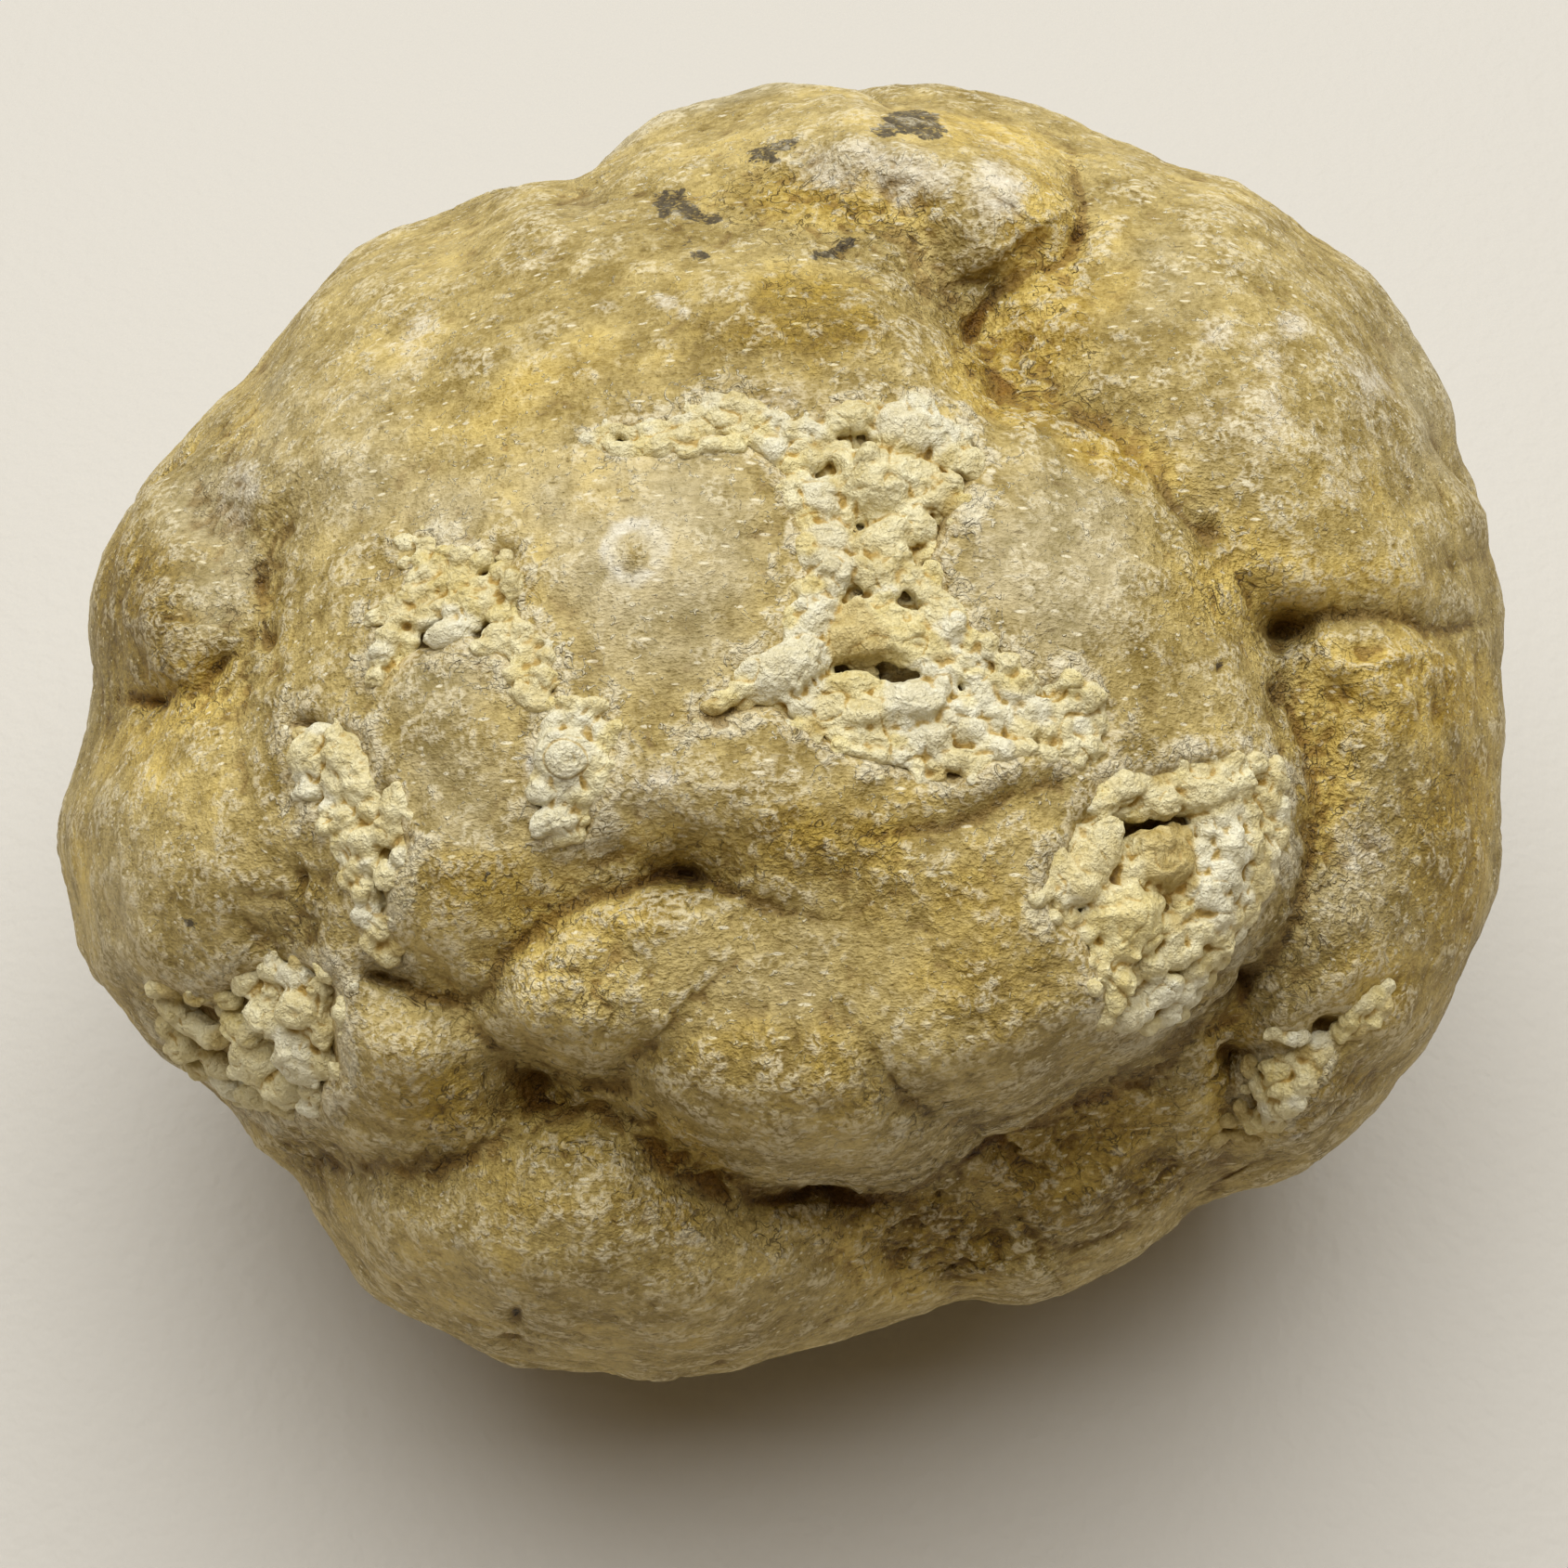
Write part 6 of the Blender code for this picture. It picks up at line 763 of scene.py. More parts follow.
def body(d, steps=None, wander=0.0):
    """The stone's surface for unit directions d: points, rough normals, and how much each faces the eye point."""
    p, n = rough_form(d, wander)
    for step in steps or fit_outline(lambda e: rough_form(e)[0]):
        p = outline_step(p, *step)
    facing = -(n * TOP.away(p)).sum(1)
    u, v, _ = TOP.project(p)
    u, v = wandered(u, v, p, wander)
    h = np.zeros(len(p))
    # What stands back does so as far as the outline and on round behind it, so front and back never cross.
    far = ramp(-0.75, 0.25, facing)
    on = far > 0
    for _, points in CLIFFS:
        h[on] -= cliff_depth(u[on], v[on], points) * far[on]
    seen = ramp(0.03, 0.38, facing)
    on = seen > 0
    h[on] += top_height(u[on], v[on]) * seen[on] / np.clip(facing[on], 0.42, 1)
    return p - TOP.away(p) * (h * MM)[:, None], n, facing


# ---------------------------------------------------------------- more shapes of noise
def cells(p, seed=0):
    """Distances to the nearest and second nearest of scattered points, one in each unit cell."""
    base = np.floor(p).astype(np.int64)
    f = p - base
    first = np.full(len(p), 9.0)
    second = first.copy()
    for dx in (-1, 0, 1):
        for dy in (-1, 0, 1):
            for dz in (-1, 0, 1):
                h = _hash(base[:, 0] + dx, base[:, 1] + dy, base[:, 2] + dz, seed)
                x = (h & np.uint32(1023)).astype(float) / 1023
                y = ((h >> np.uint32(10)) & np.uint32(1023)).astype(float) / 1023
                z = ((h >> np.uint32(20)) & np.uint32(1023)).astype(float) / 1023
                d = np.sqrt((dx + x - f[:, 0]) ** 2 + (dy + y - f[:, 1]) ** 2 + (dz + z - f[:, 2]) ** 2)
                closer = d < first
                second = np.where(closer, first, np.minimum(second, d))
                first = np.minimum(first, d)
    return first, second


def knobbly(p, size, seed=0):
    """Rounded bumps packed side by side, 0 in the gaps to 1."""
    first, _ = cells(p / size, seed)
    return np.sqrt(np.clip(1 - (first / 0.85) ** 2, 0, 1))


def ball(level):
    """A unit ball's points and triangles."""
    bm = bmesh.new()
    bmesh.ops.create_icosphere(bm, subdivisions=level, radius=1.0)
    d = np.array([v.co for v in bm.verts], float)
    faces = np.array([[v.index for v in f.verts] for f in bm.faces])
    bm.free()
    return d / np.linalg.norm(d, axis=1)[:, None], faces


def mesh_object(name, points, faces):
    mesh = bpy.data.meshes.new(name)
    mesh.vertices.add(len(points))
    mesh.vertices.foreach_set("co", np.asarray(points, np.float32).ravel())
    mesh.loops.add(3 * len(faces))
    mesh.loops.foreach_set("vertex_index", np.asarray(faces, np.int32).ravel())
    mesh.polygons.add(len(faces))
    mesh.polygons.foreach_set("loop_start", np.arange(0, 3 * len(faces), 3, dtype=np.int32))
    mesh.update(calc_edges=True)
    o = bpy.data.objects.new(name, mesh)
    bpy.context.scene.collection.objects.link(o)
    return o


def applied(o):
    """The object's mesh with its modifiers, in place of the one it had."""
    graph = bpy.context.evaluated_depsgraph_get()
    mesh = bpy.data.meshes.new_from_object(o.evaluated_get(graph))
    old = o.data
    o.modifiers.clear()
    o.data = mesh
    mesh.name = o.name
    bpy.data.meshes.remove(old)
    return o


def read(mesh):
    """(points, normals, edges) of a mesh."""
    points = np.empty(3 * len(mesh.vertices), np.float32)
    mesh.vertices.foreach_get("co", points)
    normals = np.empty(3 * len(mesh.vertices), np.float32)
    mesh.vertex_normals.foreach_get("vector", normals)
    edges = np.empty(2 * len(mesh.edges), np.int32)
    mesh.edges.foreach_get("vertices", edges)
    return points.reshape(-1, 3).astype(float), normals.reshape(-1, 3).astype(float), edges.reshape(-1, 2)


def smoothed(values, edges, rounds):
    """Values (n, k) averaged with their neighbours this many times."""
    count = np.bincount(edges.ravel(), minlength=len(values)).astype(float)[:, None]
    for _ in range(rounds):
        total = np.empty_like(values)
        for k in range(values.shape[1]):
            total[:, k] = (np.bincount(edges[:, 0], values[edges[:, 1], k], len(values))
                           + np.bincount(edges[:, 1], values[edges[:, 0], k], len(values)))
        values = 0.5 * values + 0.5 * total / np.maximum(count, 1)
    return values


def hollowness(points, normals, edges, rounds):
    """How far the surface lies below its own smoothed shape, in mm: + in a groove, - on a crest."""
    return ((smoothed(points.copy(), edges, rounds) - points) * normals).sum(1) / MM


def give(mesh, name, values):
    a = mesh.attributes.get(name) or mesh.attributes.new(name, "FLOAT", "POINT")
    a.data.foreach_set("value", np.ascontiguousarray(values, np.float32))


def plain_normal(p):
    """The normal of the plain rounded form below point p."""
    half = np.array([WIDTH, DEPTH, HEIGHT + FOOT_CUT]) / 2
    q = p - MIDDLE
    n = np.sign(q) * (np.abs(q / half) + 1e-9) ** (ROUND - 1) / half
    return n / np.linalg.norm(n, axis=1)[:, None]


# ---------------------------------------------------------------- what lies where on the skin
# Soft spots on the upper chart: (u, v, half length, half width, turn, weight)
OCHRE = [
    (1092, 378, 70, 50, 20, 1.0), (1135, 330, 70, 90, 0, 0.7), (900, 214, 130, 36, 0, 0.85), (1090, 425, 90, 34, 25, 1.0),
    (1180, 330, 60, 110, 10, 0.4), (190, 750, 70, 50, -10, 0.8), (1425, 800, 40, 120, 0, 0.9), (1510, 745, 110, 60, 0, 1.0),
    (680, 985, 80, 36, -15, 0.55), (760, 767, 30, 18, 0, 0.9), (150, 800, 70, 60, 0, 0.45), (300, 650, 26, 70, 0, 0.3),
    (1190, 480, 110, 36, 30, 0.8), (1340, 620, 80, 80, 30, 0.6), (560, 960, 80, 50, 0, 0.25), (640, 500, 46, 60, 0, 0.2),
    (1150, 1235, 140, 50, -20, 0.8), (740, 1240, 70, 30, 35, 0.8), (860, 900, 230, 60, 0, 0.35), (1120, 250, 50, 70, 0, 0.8),
    (460, 740, 50, 60, 0, 0.1), (1450, 620, 110, 36, 0, 0.5), (560, 650, 26, 60, 20, 0.3), (980, 1340, 120, 66, 0, 0.7),
    (1330, 1150, 40, 90, 0, 0.8), (250, 450, 40, 60, 30, 0.4), (790, 350, 170, 90, 0, 0.10), (1010, 990, 150, 90, 0, 0.25),
    (1580, 900, 60, 160, 0, 0.6), (460, 1190, 110, 46, 0, 0.35), (640, 1320, 300, 110, 0, 0.15), (860, 330, 100, 70, 0, 0.15), (600, 1060, 90, 70, 0, 0.25), (950, 200, 90, 60, 0, 0.2),
    (1270, 900, 60, 60, 0, 0.5), (1400, 560, 160, 90, 0, 0.25), (380, 860, 40, 100, 0, 0.3), (1230, 1030, 80, 60, 0, 0.3),
    (600, 420, 160, 50, -20, 0.35), (1060, 130, 120, 36, 10, 0.5), (1500, 1060, 90, 60, 0, 0.5), (70, 900, 30, 90, 0, 0.6),
]
# Brown spots: partly real brown stain, partly painted shade that darkens the lower cap, the jaw under the ledge and
# other shaded places.
BROWN_AND_SHADE = [
    (1015, 1335, 90, 56, 0, 0.9), (1150, 1245, 140, 46, -20, 0.55), (880, 1298, 100, 24, 0, 0.8), (1330, 1160, 22, 90, 0, 0.6),
    (1240, 1270, 100, 46, -20, 0.8), (737, 945, 60, 34, 5, 0.6), (580, 1180, 70, 30, 0, 0.5), (700, 1470, 280, 30, 0, 0.2), (640, 1295, 280, 50, 6, 0.40),
    (1420, 900, 26, 80, 0, 0.4), (160, 1090, 60, 30, 30, 0.3), (560, 1010, 70, 34, -40, 0.5), (330, 960, 24, 40, 0, 0.5),
    (1060, 920, 120, 26, -12, 0.3), (330, 700, 30, 60, 0, 0.2), (600, 1240, 180, 44, 0, 0.4), (330, 1250, 60, 50, 40, 0.5),
    (430, 1190, 90, 34, 0, 0.6), (700, 1360, 300, 90, 0, 0.10), (1580, 980, 50, 90, 0, 0.4), (880, 905, 200, 56, 0, 0.50),
    (1440, 1180, 80, 50, -30, 0.5), (850, 1150, 190, 90, 0, 0.50), (1080, 1060, 130, 100, -20, 0.50),
    (850, 350, 150, 60, 0, 0.75), (150, 650, 80, 120, 0, 0.70), (620, 1370, 240, 90, 0, 0.12), (1560, 900, 70, 130, 0, 0.55),
    (450, 1180, 110, 60, 0, 0.6), (1150, 1305, 110, 40, -10, 0.7), (480, 950, 110, 60, 0, 0.50), (1010, 960, 160, 60, 0, 0.45),
    (240, 700, 60, 50, -20, 0.45), (684, 592, 17, 17, 0, 0.55), (1476, 1204, 46, 9, -38, 1.0), (1390, 1262, 60, 8, -32, 0.8),
]
FROST = [
    (1308, 357, 34, 30, 0, 1.0), (1395, 349, 28, 26, 0, 0.9), (1075, 205, 50, 66, 0, 0.9), (262, 542, 34, 66, 0, 0.9),
    (1470, 915, 50, 66, 0, 0.8), (718, 321, 18, 16, 0, 0.9), (737, 336, 16, 14, 0, 0.9), (696, 1306, 18, 16, 0, 0.85),
    (743, 1336, 30, 12, 0, 0.75), (1400, 450, 150, 160, 0, 0.7), (700, 200, 110, 50, -10, 0.5), (560, 290, 100, 50, -20, 0.55),
    (1500, 500, 60, 120, 0, 0.55), (950, 185, 130, 50, 5, 0.9), (160, 640, 50, 80, 0, 0.3), (150, 930, 70, 80, 0, 0.5),
    (1180, 520, 110, 40, 20, 0.4), (1060, 620, 30, 90, 0, 0.6), (740, 570, 50, 60, 0, 0.2), (900, 1230, 220, 30, -4, 0.35),
    (1190, 1110, 90, 40, -30, 0.6), (480, 740, 90, 50, 0, 0.3), (1500, 1000, 60, 70, 0, 0.5), (590, 830, 60, 70, 0, 0.7),
    (700, 850, 50, 50, 0, 0.6), (330, 880, 50, 100, 0, 0.6), (1245, 815, 120, 30, 0, 0.7), (620, 1430, 200, 40, 0, 0.25),
    (840, 430, 200, 34, 0, 0.45), (380, 420, 80, 80, 0, 0.5), (620, 1090, 60, 40, 0, 0.4), (1330, 240, 90, 50, 30, 0.45),
    (450, 350, 50, 80, 20, 0.7), (520, 500, 60, 60, 0, 0.45), (240, 1080, 120, 50, 20, 0.5), (360, 1170, 60, 50, 0, 0.6),
    (1080, 860, 100, 30, -10, 0.3), (1300, 700, 50, 80, 0, 0.4), (820, 1130, 120, 40, 0, 0.20), (470, 1320, 90, 70, 0, 0.20),
    (880, 1380, 140, 50, -10, 0.25), (1300, 480, 60, 40, 0, 0.5), (1419, 1206, 100, 11, -32, 0.8), (1440, 1160, 80, 9, -32, 0.6), (90, 850, 26, 70, 0, 0.5), (660, 700, 40, 90, 0, 0.4),
]
GREY = [
    (690, 590, 140, 130, 0, 0.9), (474, 730, 80, 70, 0, 0.7), (720, 700, 120, 70, 0, 0.6), (220, 590, 66, 110, 0, 0.8),
    (1140, 600, 120, 130, 0, 0.8), (930, 150, 140, 60, 5, 0.4), (350, 480, 120, 120, -30, 0.6), (1450, 930, 80, 80, 0, 0.6),
    (130, 950, 70, 100, 0, 0.4), (480, 860, 100, 100, 0, 0.5), (1540, 430, 60, 170, 10, 0.55), (480, 550, 80, 60, 0, 0.4),
    (1120, 1060, 100, 80, -20, 0.4), (480, 1320, 150, 80, 20, 0.15), (700, 850, 90, 50, 0, 0.5), (1290, 740, 60, 60, 0, 0.4),
    (780, 1090, 120, 60, 0, 0.3), (1250, 300, 80, 80, 0, 0.3), (640, 240, 120, 40, -10, 0.4),
]
STAINS = [
    (722, 212, 23, 13, -20, 1.2), (740, 227, 22, 12, 20, 1.2), (713, 228, 13, 10, 0, 1.0), (763, 236, 26, 8, -6, 1.1),
    (753, 276, 16, 8, 0, 1.1), (740, 262, 9, 7, 0, 0.8), (817, 165, 16, 9, -10, 1.5), (846, 156, 20, 8, -12, 1.5),
    (832, 172, 11, 7, 0, 1.1), (979, 130, 32, 14, -8, 1.9), (1002, 142, 20, 10, 0, 1.6), (953, 140, 16, 9, 0, 1.5),
    (890, 275, 20, 8, 0, 1.3), (912, 263, 15, 8, -20, 1.3), (203, 993, 9, 8, 0, 1.4), (525, 946, 8, 7, 0, 1.2),
    (1317, 671, 7, 6, 0, 1.0), (1314, 717, 6, 10, 30, 0.9), (556, 1415, 9, 7, 0, 1.0),
]
# Where the skin is rugged.
RUGGED = [
    (620, 1075, 100, 80, 0, 1.0), (640, 985, 120, 40, -10, 0.8), (720, 1260, 120, 50, 35, 0.9), (1010, 1340, 110, 60, 0, 1.0),
    (1330, 1150, 50, 100, 0, 0.9), (205, 745, 110, 50, -10, 0.9), (270, 560, 50, 90, 0, 0.7), (1420, 760, 60, 120, 0, 0.7),
    (1500, 730, 100, 40, 0, 0.6), (760, 950, 120, 50, 10, 0.8), (560, 1190, 120, 40, 0, 0.8), (1080, 390, 90, 50, 20, 0.8),
    (940, 225, 140, 44, 0, 0.35), (330, 990, 50, 60, 0, 0.7), (560, 1440, 90, 30, 0, 0.8), (1240, 1280, 120, 40, -20, 0.7),
    (880, 930, 200, 50, 0, 0.5), (330, 1240, 90, 40, 0, 0.6), (1420, 1200, 110, 50, -32, 0.8), (1130, 300, 60, 80, 0, 0.5), (240, 1080, 120, 70, 0, 0.5),
]
# Rings: (u, v, radius, half width, weight)
RINGS = [(684, 592, 29, 8, 1.0), (684, 592, 11, 3, 0.35), (609, 818, 38, 7, 0.9), (609, 818, 22, 4, 0.6)]

# The same for the sides that the eye doesn't see, on their own charts.
HIDDEN_SPOTS = [
    (REAR, "ochre", [(812, 660, 90, 40, 0, 0.9), (946, 790, 50, 70, 0, 0.8), (560, 750, 150, 40, 0, 0.8),
                     (1260, 690, 110, 60, 20, 0.5), (900, 980, 50, 140, 0, 0.6), (380, 600, 120, 50, 30, 0.4),
                     (1300, 830, 160, 30, 0, 0.6), (560, 1060, 150, 40, 10, 0.5)]),
    (REAR, "brown_and_shade", [(560, 742, 130, 26, 0, 0.7), (880, 1000, 30, 120, 0, 0.5), (820, 655, 40, 30, 0, 0.6),
                     (1000, 840, 90, 26, 40, 0.5), (800, 1330, 300, 70, 0, 0.4)]),
    (REAR, "frost", [(620, 590, 150, 70, 0, 0.6), (1040, 560, 130, 120, 0, 0.6), (420, 880, 130, 90, 0, 0.5),
                     (1180, 930, 140, 80, 0, 0.5), (720, 880, 110, 110, 0, 0.4), (1320, 600, 100, 90, 0, 0.5)]),
    (REAR, "grey", [(980, 500, 190, 130, 0, 0.6), (440, 880, 170, 120, 0, 0.6), (720, 1180, 260, 120, 0, 0.4)]),
    (REAR, "stain", [(480, 640, 20, 9, 20, 0.9), (505, 652, 14, 6, 0, 0.7), (1180, 780, 16, 7, -30, 0.8), (700, 1010, 12, 7, 0, 0.6)]),
    (LEFT, "ochre", [(720, 790, 60, 60, 0, 0.9), (600, 600, 40, 140, 0, 0.6), (420, 1000, 180, 40, 0, 0.6), (1080, 1000, 120, 40, 0, 0.5)]),
    (LEFT, "brown_and_shade", [(725, 790, 40, 44, 0, 0.6), (420, 990, 130, 24, 0, 0.6), (740, 980, 30, 110, 0, 0.4)]),
    (LEFT, "frost", [(400, 700, 150, 120, 0, 0.5), (900, 640, 130, 140, 0, 0.6), (520, 1120, 150, 70, 0, 0.4), (960, 1120, 150, 70, 0, 0.4)]),
    (LEFT, "grey", [(880, 640, 160, 160, 0, 0.6), (460, 1120, 190, 90, 0, 0.5)]),
    (RIGHT, "ochre", [(1050, 700, 50, 110, 0, 0.9), (660, 1030, 180, 40, 0, 0.7), (1250, 760, 170, 40, 0, 0.5), (920, 920, 60, 90, 30, 0.5)]),
    (RIGHT, "brown_and_shade", [(1050, 700, 34, 60, 0, 0.6), (690, 1022, 120, 24, 0, 0.6), (880, 1020, 26, 110, 0, 0.4)]),
    (RIGHT, "frost", [(1260, 560, 150, 120, 0, 0.6), (1240, 930, 150, 110, 0, 0.5), (760, 660, 150, 130, 0, 0.5), (640, 1140, 160, 70, 0, 0.4)]),
    (RIGHT, "grey", [(1250, 560, 180, 140, 0, 0.5), (780, 660, 170, 140, 0, 0.5)]),
    (UNDER, "brown_and_shade", [(840, 840, 360, 320, 0, 0.4)]),
    (UNDER, "frost", [(420, 880, 170, 150, 0, 0.5), (1260, 860, 160, 150, 0, 0.5), (900, 360, 220, 90, 0, 0.5)]),
    (UNDER, "ochre", [(500, 900, 60, 200, -20, 0.6), (1190, 860, 60, 200, 20, 0.6)]),
]


def spots(u, v, listed):
    """The strongest of these soft spots at each point."""
    w = np.zeros(len(u))
    for cu, cv, ru, rv, turn, weight in listed:
        a = math.radians(turn)
        x, y = u - cu, v - cv
        r = ((x * math.cos(a) + y * math.sin(a)) / ru) ** 2 + ((y * math.cos(a) - x * math.sin(a)) / rv) ** 2
        w = np.maximum(w, weight * np.exp(-1.1 * r ** 1.3))
    return w


def fields(p):
    """What the skin is like at each point, each 0 to 1, by name. "open" is + inside a broken-open patch, in chart units."""
    n = plain_normal(p)
    out = {}
    facing = -(n * TOP.away(p)).sum(1)
    see = ramp(0.02, 0.22, facing)
    u, v, _ = TOP.project(p)
    # Edges wander, so that nothing has a drawn shape.
    u = u + 9 * layered(p + 1.3, 0.006, 3, seed=31)
    v = v + 9 * layered(p + 2.9, 0.006, 3, seed=32)
    for name, listed in (("ochre", OCHRE), ("brown_and_shade", BROWN_AND_SHADE), ("frost", FROST), ("grey", GREY), ("stain", STAINS)):
        out[name] = spots(u, v, listed) * see
    su, sv, _ = TOP.project(p)
    su = su + 3 * layered(p + 1.3, 0.002, 2, seed=33)
    sv = sv + 3 * layered(p + 2.9, 0.002, 2, seed=34)
    out["stain"] = spots(su, sv, STAINS) * see
    ring = np.zeros(len(p))
    for cu, cv, radius, width, weight in RINGS:
        r = np.hypot(u * 0.6 + su * 0.4 - cu, v * 0.6 + sv * 0.4 - cv)
        ring = np.maximum(ring, weight * np.exp(-((r - radius) / width) ** 2))
    out["ring"] = ring * see
    out["rugged"] = spots(u, v, RUGGED) * see
    edge = np.full(len(p), -400.0)
    for _, rim in PATCHES.values():
        d = from_ring(u, v, rim)
        edge = np.maximum(edge, np.where(see > 0.05, d, -400.0))
    fold = np.zeros(len(p))
    for _, kind, points in LINES:
        fold = np.maximum(fold, line_depth(u, v, kind, [(a, b, min(1.0, c / 3.0), e, f) for a, b, c, e, f in points]) * see)
    hide = 1 - see
    for chart, lines, _, patches in HIDDEN:
        face = ramp(0.1, 0.5, -(n * chart.away(p)).sum(1)) * hide
        on = face > 0.001
        hu, hv, _ = chart.project(p[on])
        hu = hu + 9 * layered(p[on] + 1.3, 0.006, 3, seed=31)
        hv = hv + 9 * layered(p[on] + 2.9, 0.006, 3, seed=32)
        for _, kind, points in lines:
            f = line_depth(hu, hv, kind, [(a, b, min(1.0, c / 3.0), e, g) for a, b, c, e, g in points])
            fold[on] = np.maximum(fold[on], f * face[on])
        for _, _, rim in patches:
            edge[on] = np.maximum(edge[on], np.where(face[on] > 0.3, from_ring(hu, hv, rim), -400.0))
        for where, name, listed in HIDDEN_SPOTS:
            if where is chart:
                out[name][on] = np.maximum(out[name][on], spots(hu, hv, listed) * face[on])
    out["fold"] = np.clip(fold, 0, 1)
    out["rugged"] = np.maximum(out["rugged"], 0.6 * out["fold"] * hide)
    out["edge"] = edge
    return out


# ---------------------------------------------------------------- the skin
def thickened(d, centre, much):
    """Unit directions drawn together around centre, so the mesh is finer there."""
    c = np.array(centre, float) / np.linalg.norm(centre)
    along = np.clip(d @ c, -1, 1)
    side = d - along[:, None] * c
    length = np.linalg.norm(side, axis=1)
    side /= np.maximum(length, 1e-9)[:, None]
    angle = 2 * np.arctan(np.tan(np.arccos(along) / 2 * 0.99999) / much)
    return c * np.cos(angle)[:, None] + side * np.sin(angle)[:, None]


def make_skin():
    d, faces = ball(8)
    d = thickened(d, (0.0, -0.62, 0.78), 1.30)
    p, n, facing = body(d, wander=7.0)
    # Where a cliff stretches the mesh, its points are evened out.
    pairs = np.concatenate([faces[:, [0, 1]], faces[:, [1, 2]], faces[:, [2, 0]]])
    gap, first = [np.linalg.norm(x[pairs[:, 0]] - x[pairs[:, 1]], axis=1) for x in (p, d)]
    stretch = gap / first / np.median(gap / first)
    steep = np.bincount(pairs[:, 0], stretch, len(p)) / np.bincount(pairs[:, 0], minlength=len(p))
    steep = smoothed(ramp(1.35, 2.2, steep)[:, None], pairs, 3)
    p = p + np.clip(1.3 * steep, 0, 1) * (smoothed(p, pairs, 14) - p)
    f = fields(p)
    u, v, _ = TOP.project(p)
    see = ramp(0.03, 0.3, facing)
    h = np.zeros(len(p))
    for pit in PITS:
        h += dome_height(u, v, pit) * see
    # Growth lumps, a hammered surface, broken edges along the folds and a rough crust round the open patches.
    rough = 0.55 + 0.45 * ramp(-0.4, 0.5, layered(p + 4.1, 0.020, 2, seed=40))
    h += 0.46 * layered(p, 0.0085, 3, seed=41)
    h += 0.15 * rough * layered(p, 0.0030, 3, seed=42, gain=0.6)
    h -= 0.13 * rough * np.clip(1 - np.abs(layered(p, 0.0050, 3, seed=52)) / 0.16, 0, 1) ** 2
    ragged = layered(p, 0.0040, 4, seed=43, gain=0.6)
    h += f["rugged"] * (0.55 * layered(p, 0.0056, 4, seed=58, gain=0.62) + 0.30 * layered(p, 0.0022, 3, seed=59, gain=0.65)
                        - 0.40 * np.clip(1 - np.abs(layered(p, 0.0062, 3, seed=57)) / 0.13, 0, 1) ** 2)
    h += f["fold"] * (0.50 * ragged - 0.35 * np.clip(1 - np.abs(layered(p, 0.0055, 3, seed=54)) / 0.16, 0, 1) ** 2)
    h += 0.50 * f["brown_and_shade"] * layered(p, 0.0036, 4, seed=44, gain=0.6)
    h += 0.42 * f["ochre"] * layered(p, 0.0032, 4, seed=53, gain=0.6)
    near = f["edge"] + 12 * layered(p, 0.004, 2, seed=45)
    crust = ramp(-34, -2, near) * (1 - 0.7 * ramp(4, 18, f["edge"])) * ramp(-0.35, 0.25, layered(p, 0.0034, 3, seed=56))
    h -= 0.16 * crust
    h += crust * (0.22 * knobbly(p, 0.0028, seed=46) + 0.15 * knobbly(p + 0.3, 0.0017, seed=47) + 0.18 * layered(p, 0.0019, 2, seed=55)
                  - 0.16 * np.clip(1 - np.abs(layered(p, 0.0036, 2, seed=81)) / 0.16, 0, 1) ** 2)
    low = ramp(0.066, 0.034, p[:, 2])
    h += low * (0.50 * layered(p, 0.0150, 3, seed=82) + 0.22 * layered(p, 0.0060, 3, seed=83)
                - 0.22 * np.clip(1 - np.abs(layered(p, 0.0120, 3, seed=84)) / 0.10, 0, 1) ** 2)
    # The floor under the knobs lies deep between them.
    h -= 0.80 * ramp(3, 22, f["edge"])
    flakes = ramp(0.1, 0.45, f["frost"] * 0.6 + 0.35 * layered(p, 0.006, 3, seed=48))
    h += 0.10 * flakes * layered(p, 0.0015, 2, seed=49)
    # Small open pores.
    first, _ = cells(p / 0.0050, seed=50)
    h -= 0.25 * np.exp(-(first / 0.06) ** 2)
    foot = ramp(0.010, 0.020, np.hypot(p[:, 0] + 0.0018, p[:, 1] - 0.004)) + ramp(0.0015, 0.006, p[:, 2])
    h *= np.minimum(foot, 1)
    p = p + plain_normal(p) * (h * MM)[:, None]
    p[:, 2] = np.maximum(p[:, 2], 0.0)
    o = mesh_object("skin", p, faces)
    thin = o.modifiers.new("thin", "DECIMATE")
    thin.ratio = SKIN_FACES / len(faces)
    applied(o)
    mesh = o.data
    p, n, edges = read(mesh)
    f = fields(p)
    wide, middle = layered(p, 0.017, 3, seed=70), layered(p, 0.0052, 3, seed=71)
    small = layered(p, 0.0017, 2, seed=72)
    groove, crease = hollowness(p, n, edges, 8), hollowness(p, n, edges, 70)
    give(mesh, "tone", 0.5 + 0.34 * wide + 0.32 * middle + 0.22 * small)
    give(mesh, "ochre", ramp(0.10, 0.75, f["ochre"] + 0.30 * middle + 0.22 * wide + 0.12 * small + 0.05))
    give(mesh, "brown_and_shade", ramp(0.15, 0.85, f["brown_and_shade"] + 0.30 * middle + 0.15 * small))
    give(mesh, "grey", ramp(0.15, 0.75, f["grey"] + 0.38 * layered(p, 0.012, 3, seed=73) + 0.10 * small))
    give(mesh, "frost", f["frost"] + 0.34 * layered(p, 0.0065, 3, seed=74) + 0.12 * layered(p, 0.0022, 2, seed=75))
    give(mesh, "ring", ramp(0.20, 0.80, f["ring"] * (1 + 0.5 * small)))
    give(mesh, "stain", ramp(0.35, 0.60, f["stain"] * (0.85 + 0.6 * small)))
    near = f["edge"] + 12 * layered(p, 0.004, 2, seed=45)
    give(mesh, "crust", ramp(-38, -2, near + 16 * small) * ramp(-0.35, 0.25, layered(p, 0.0034, 3, seed=56)))
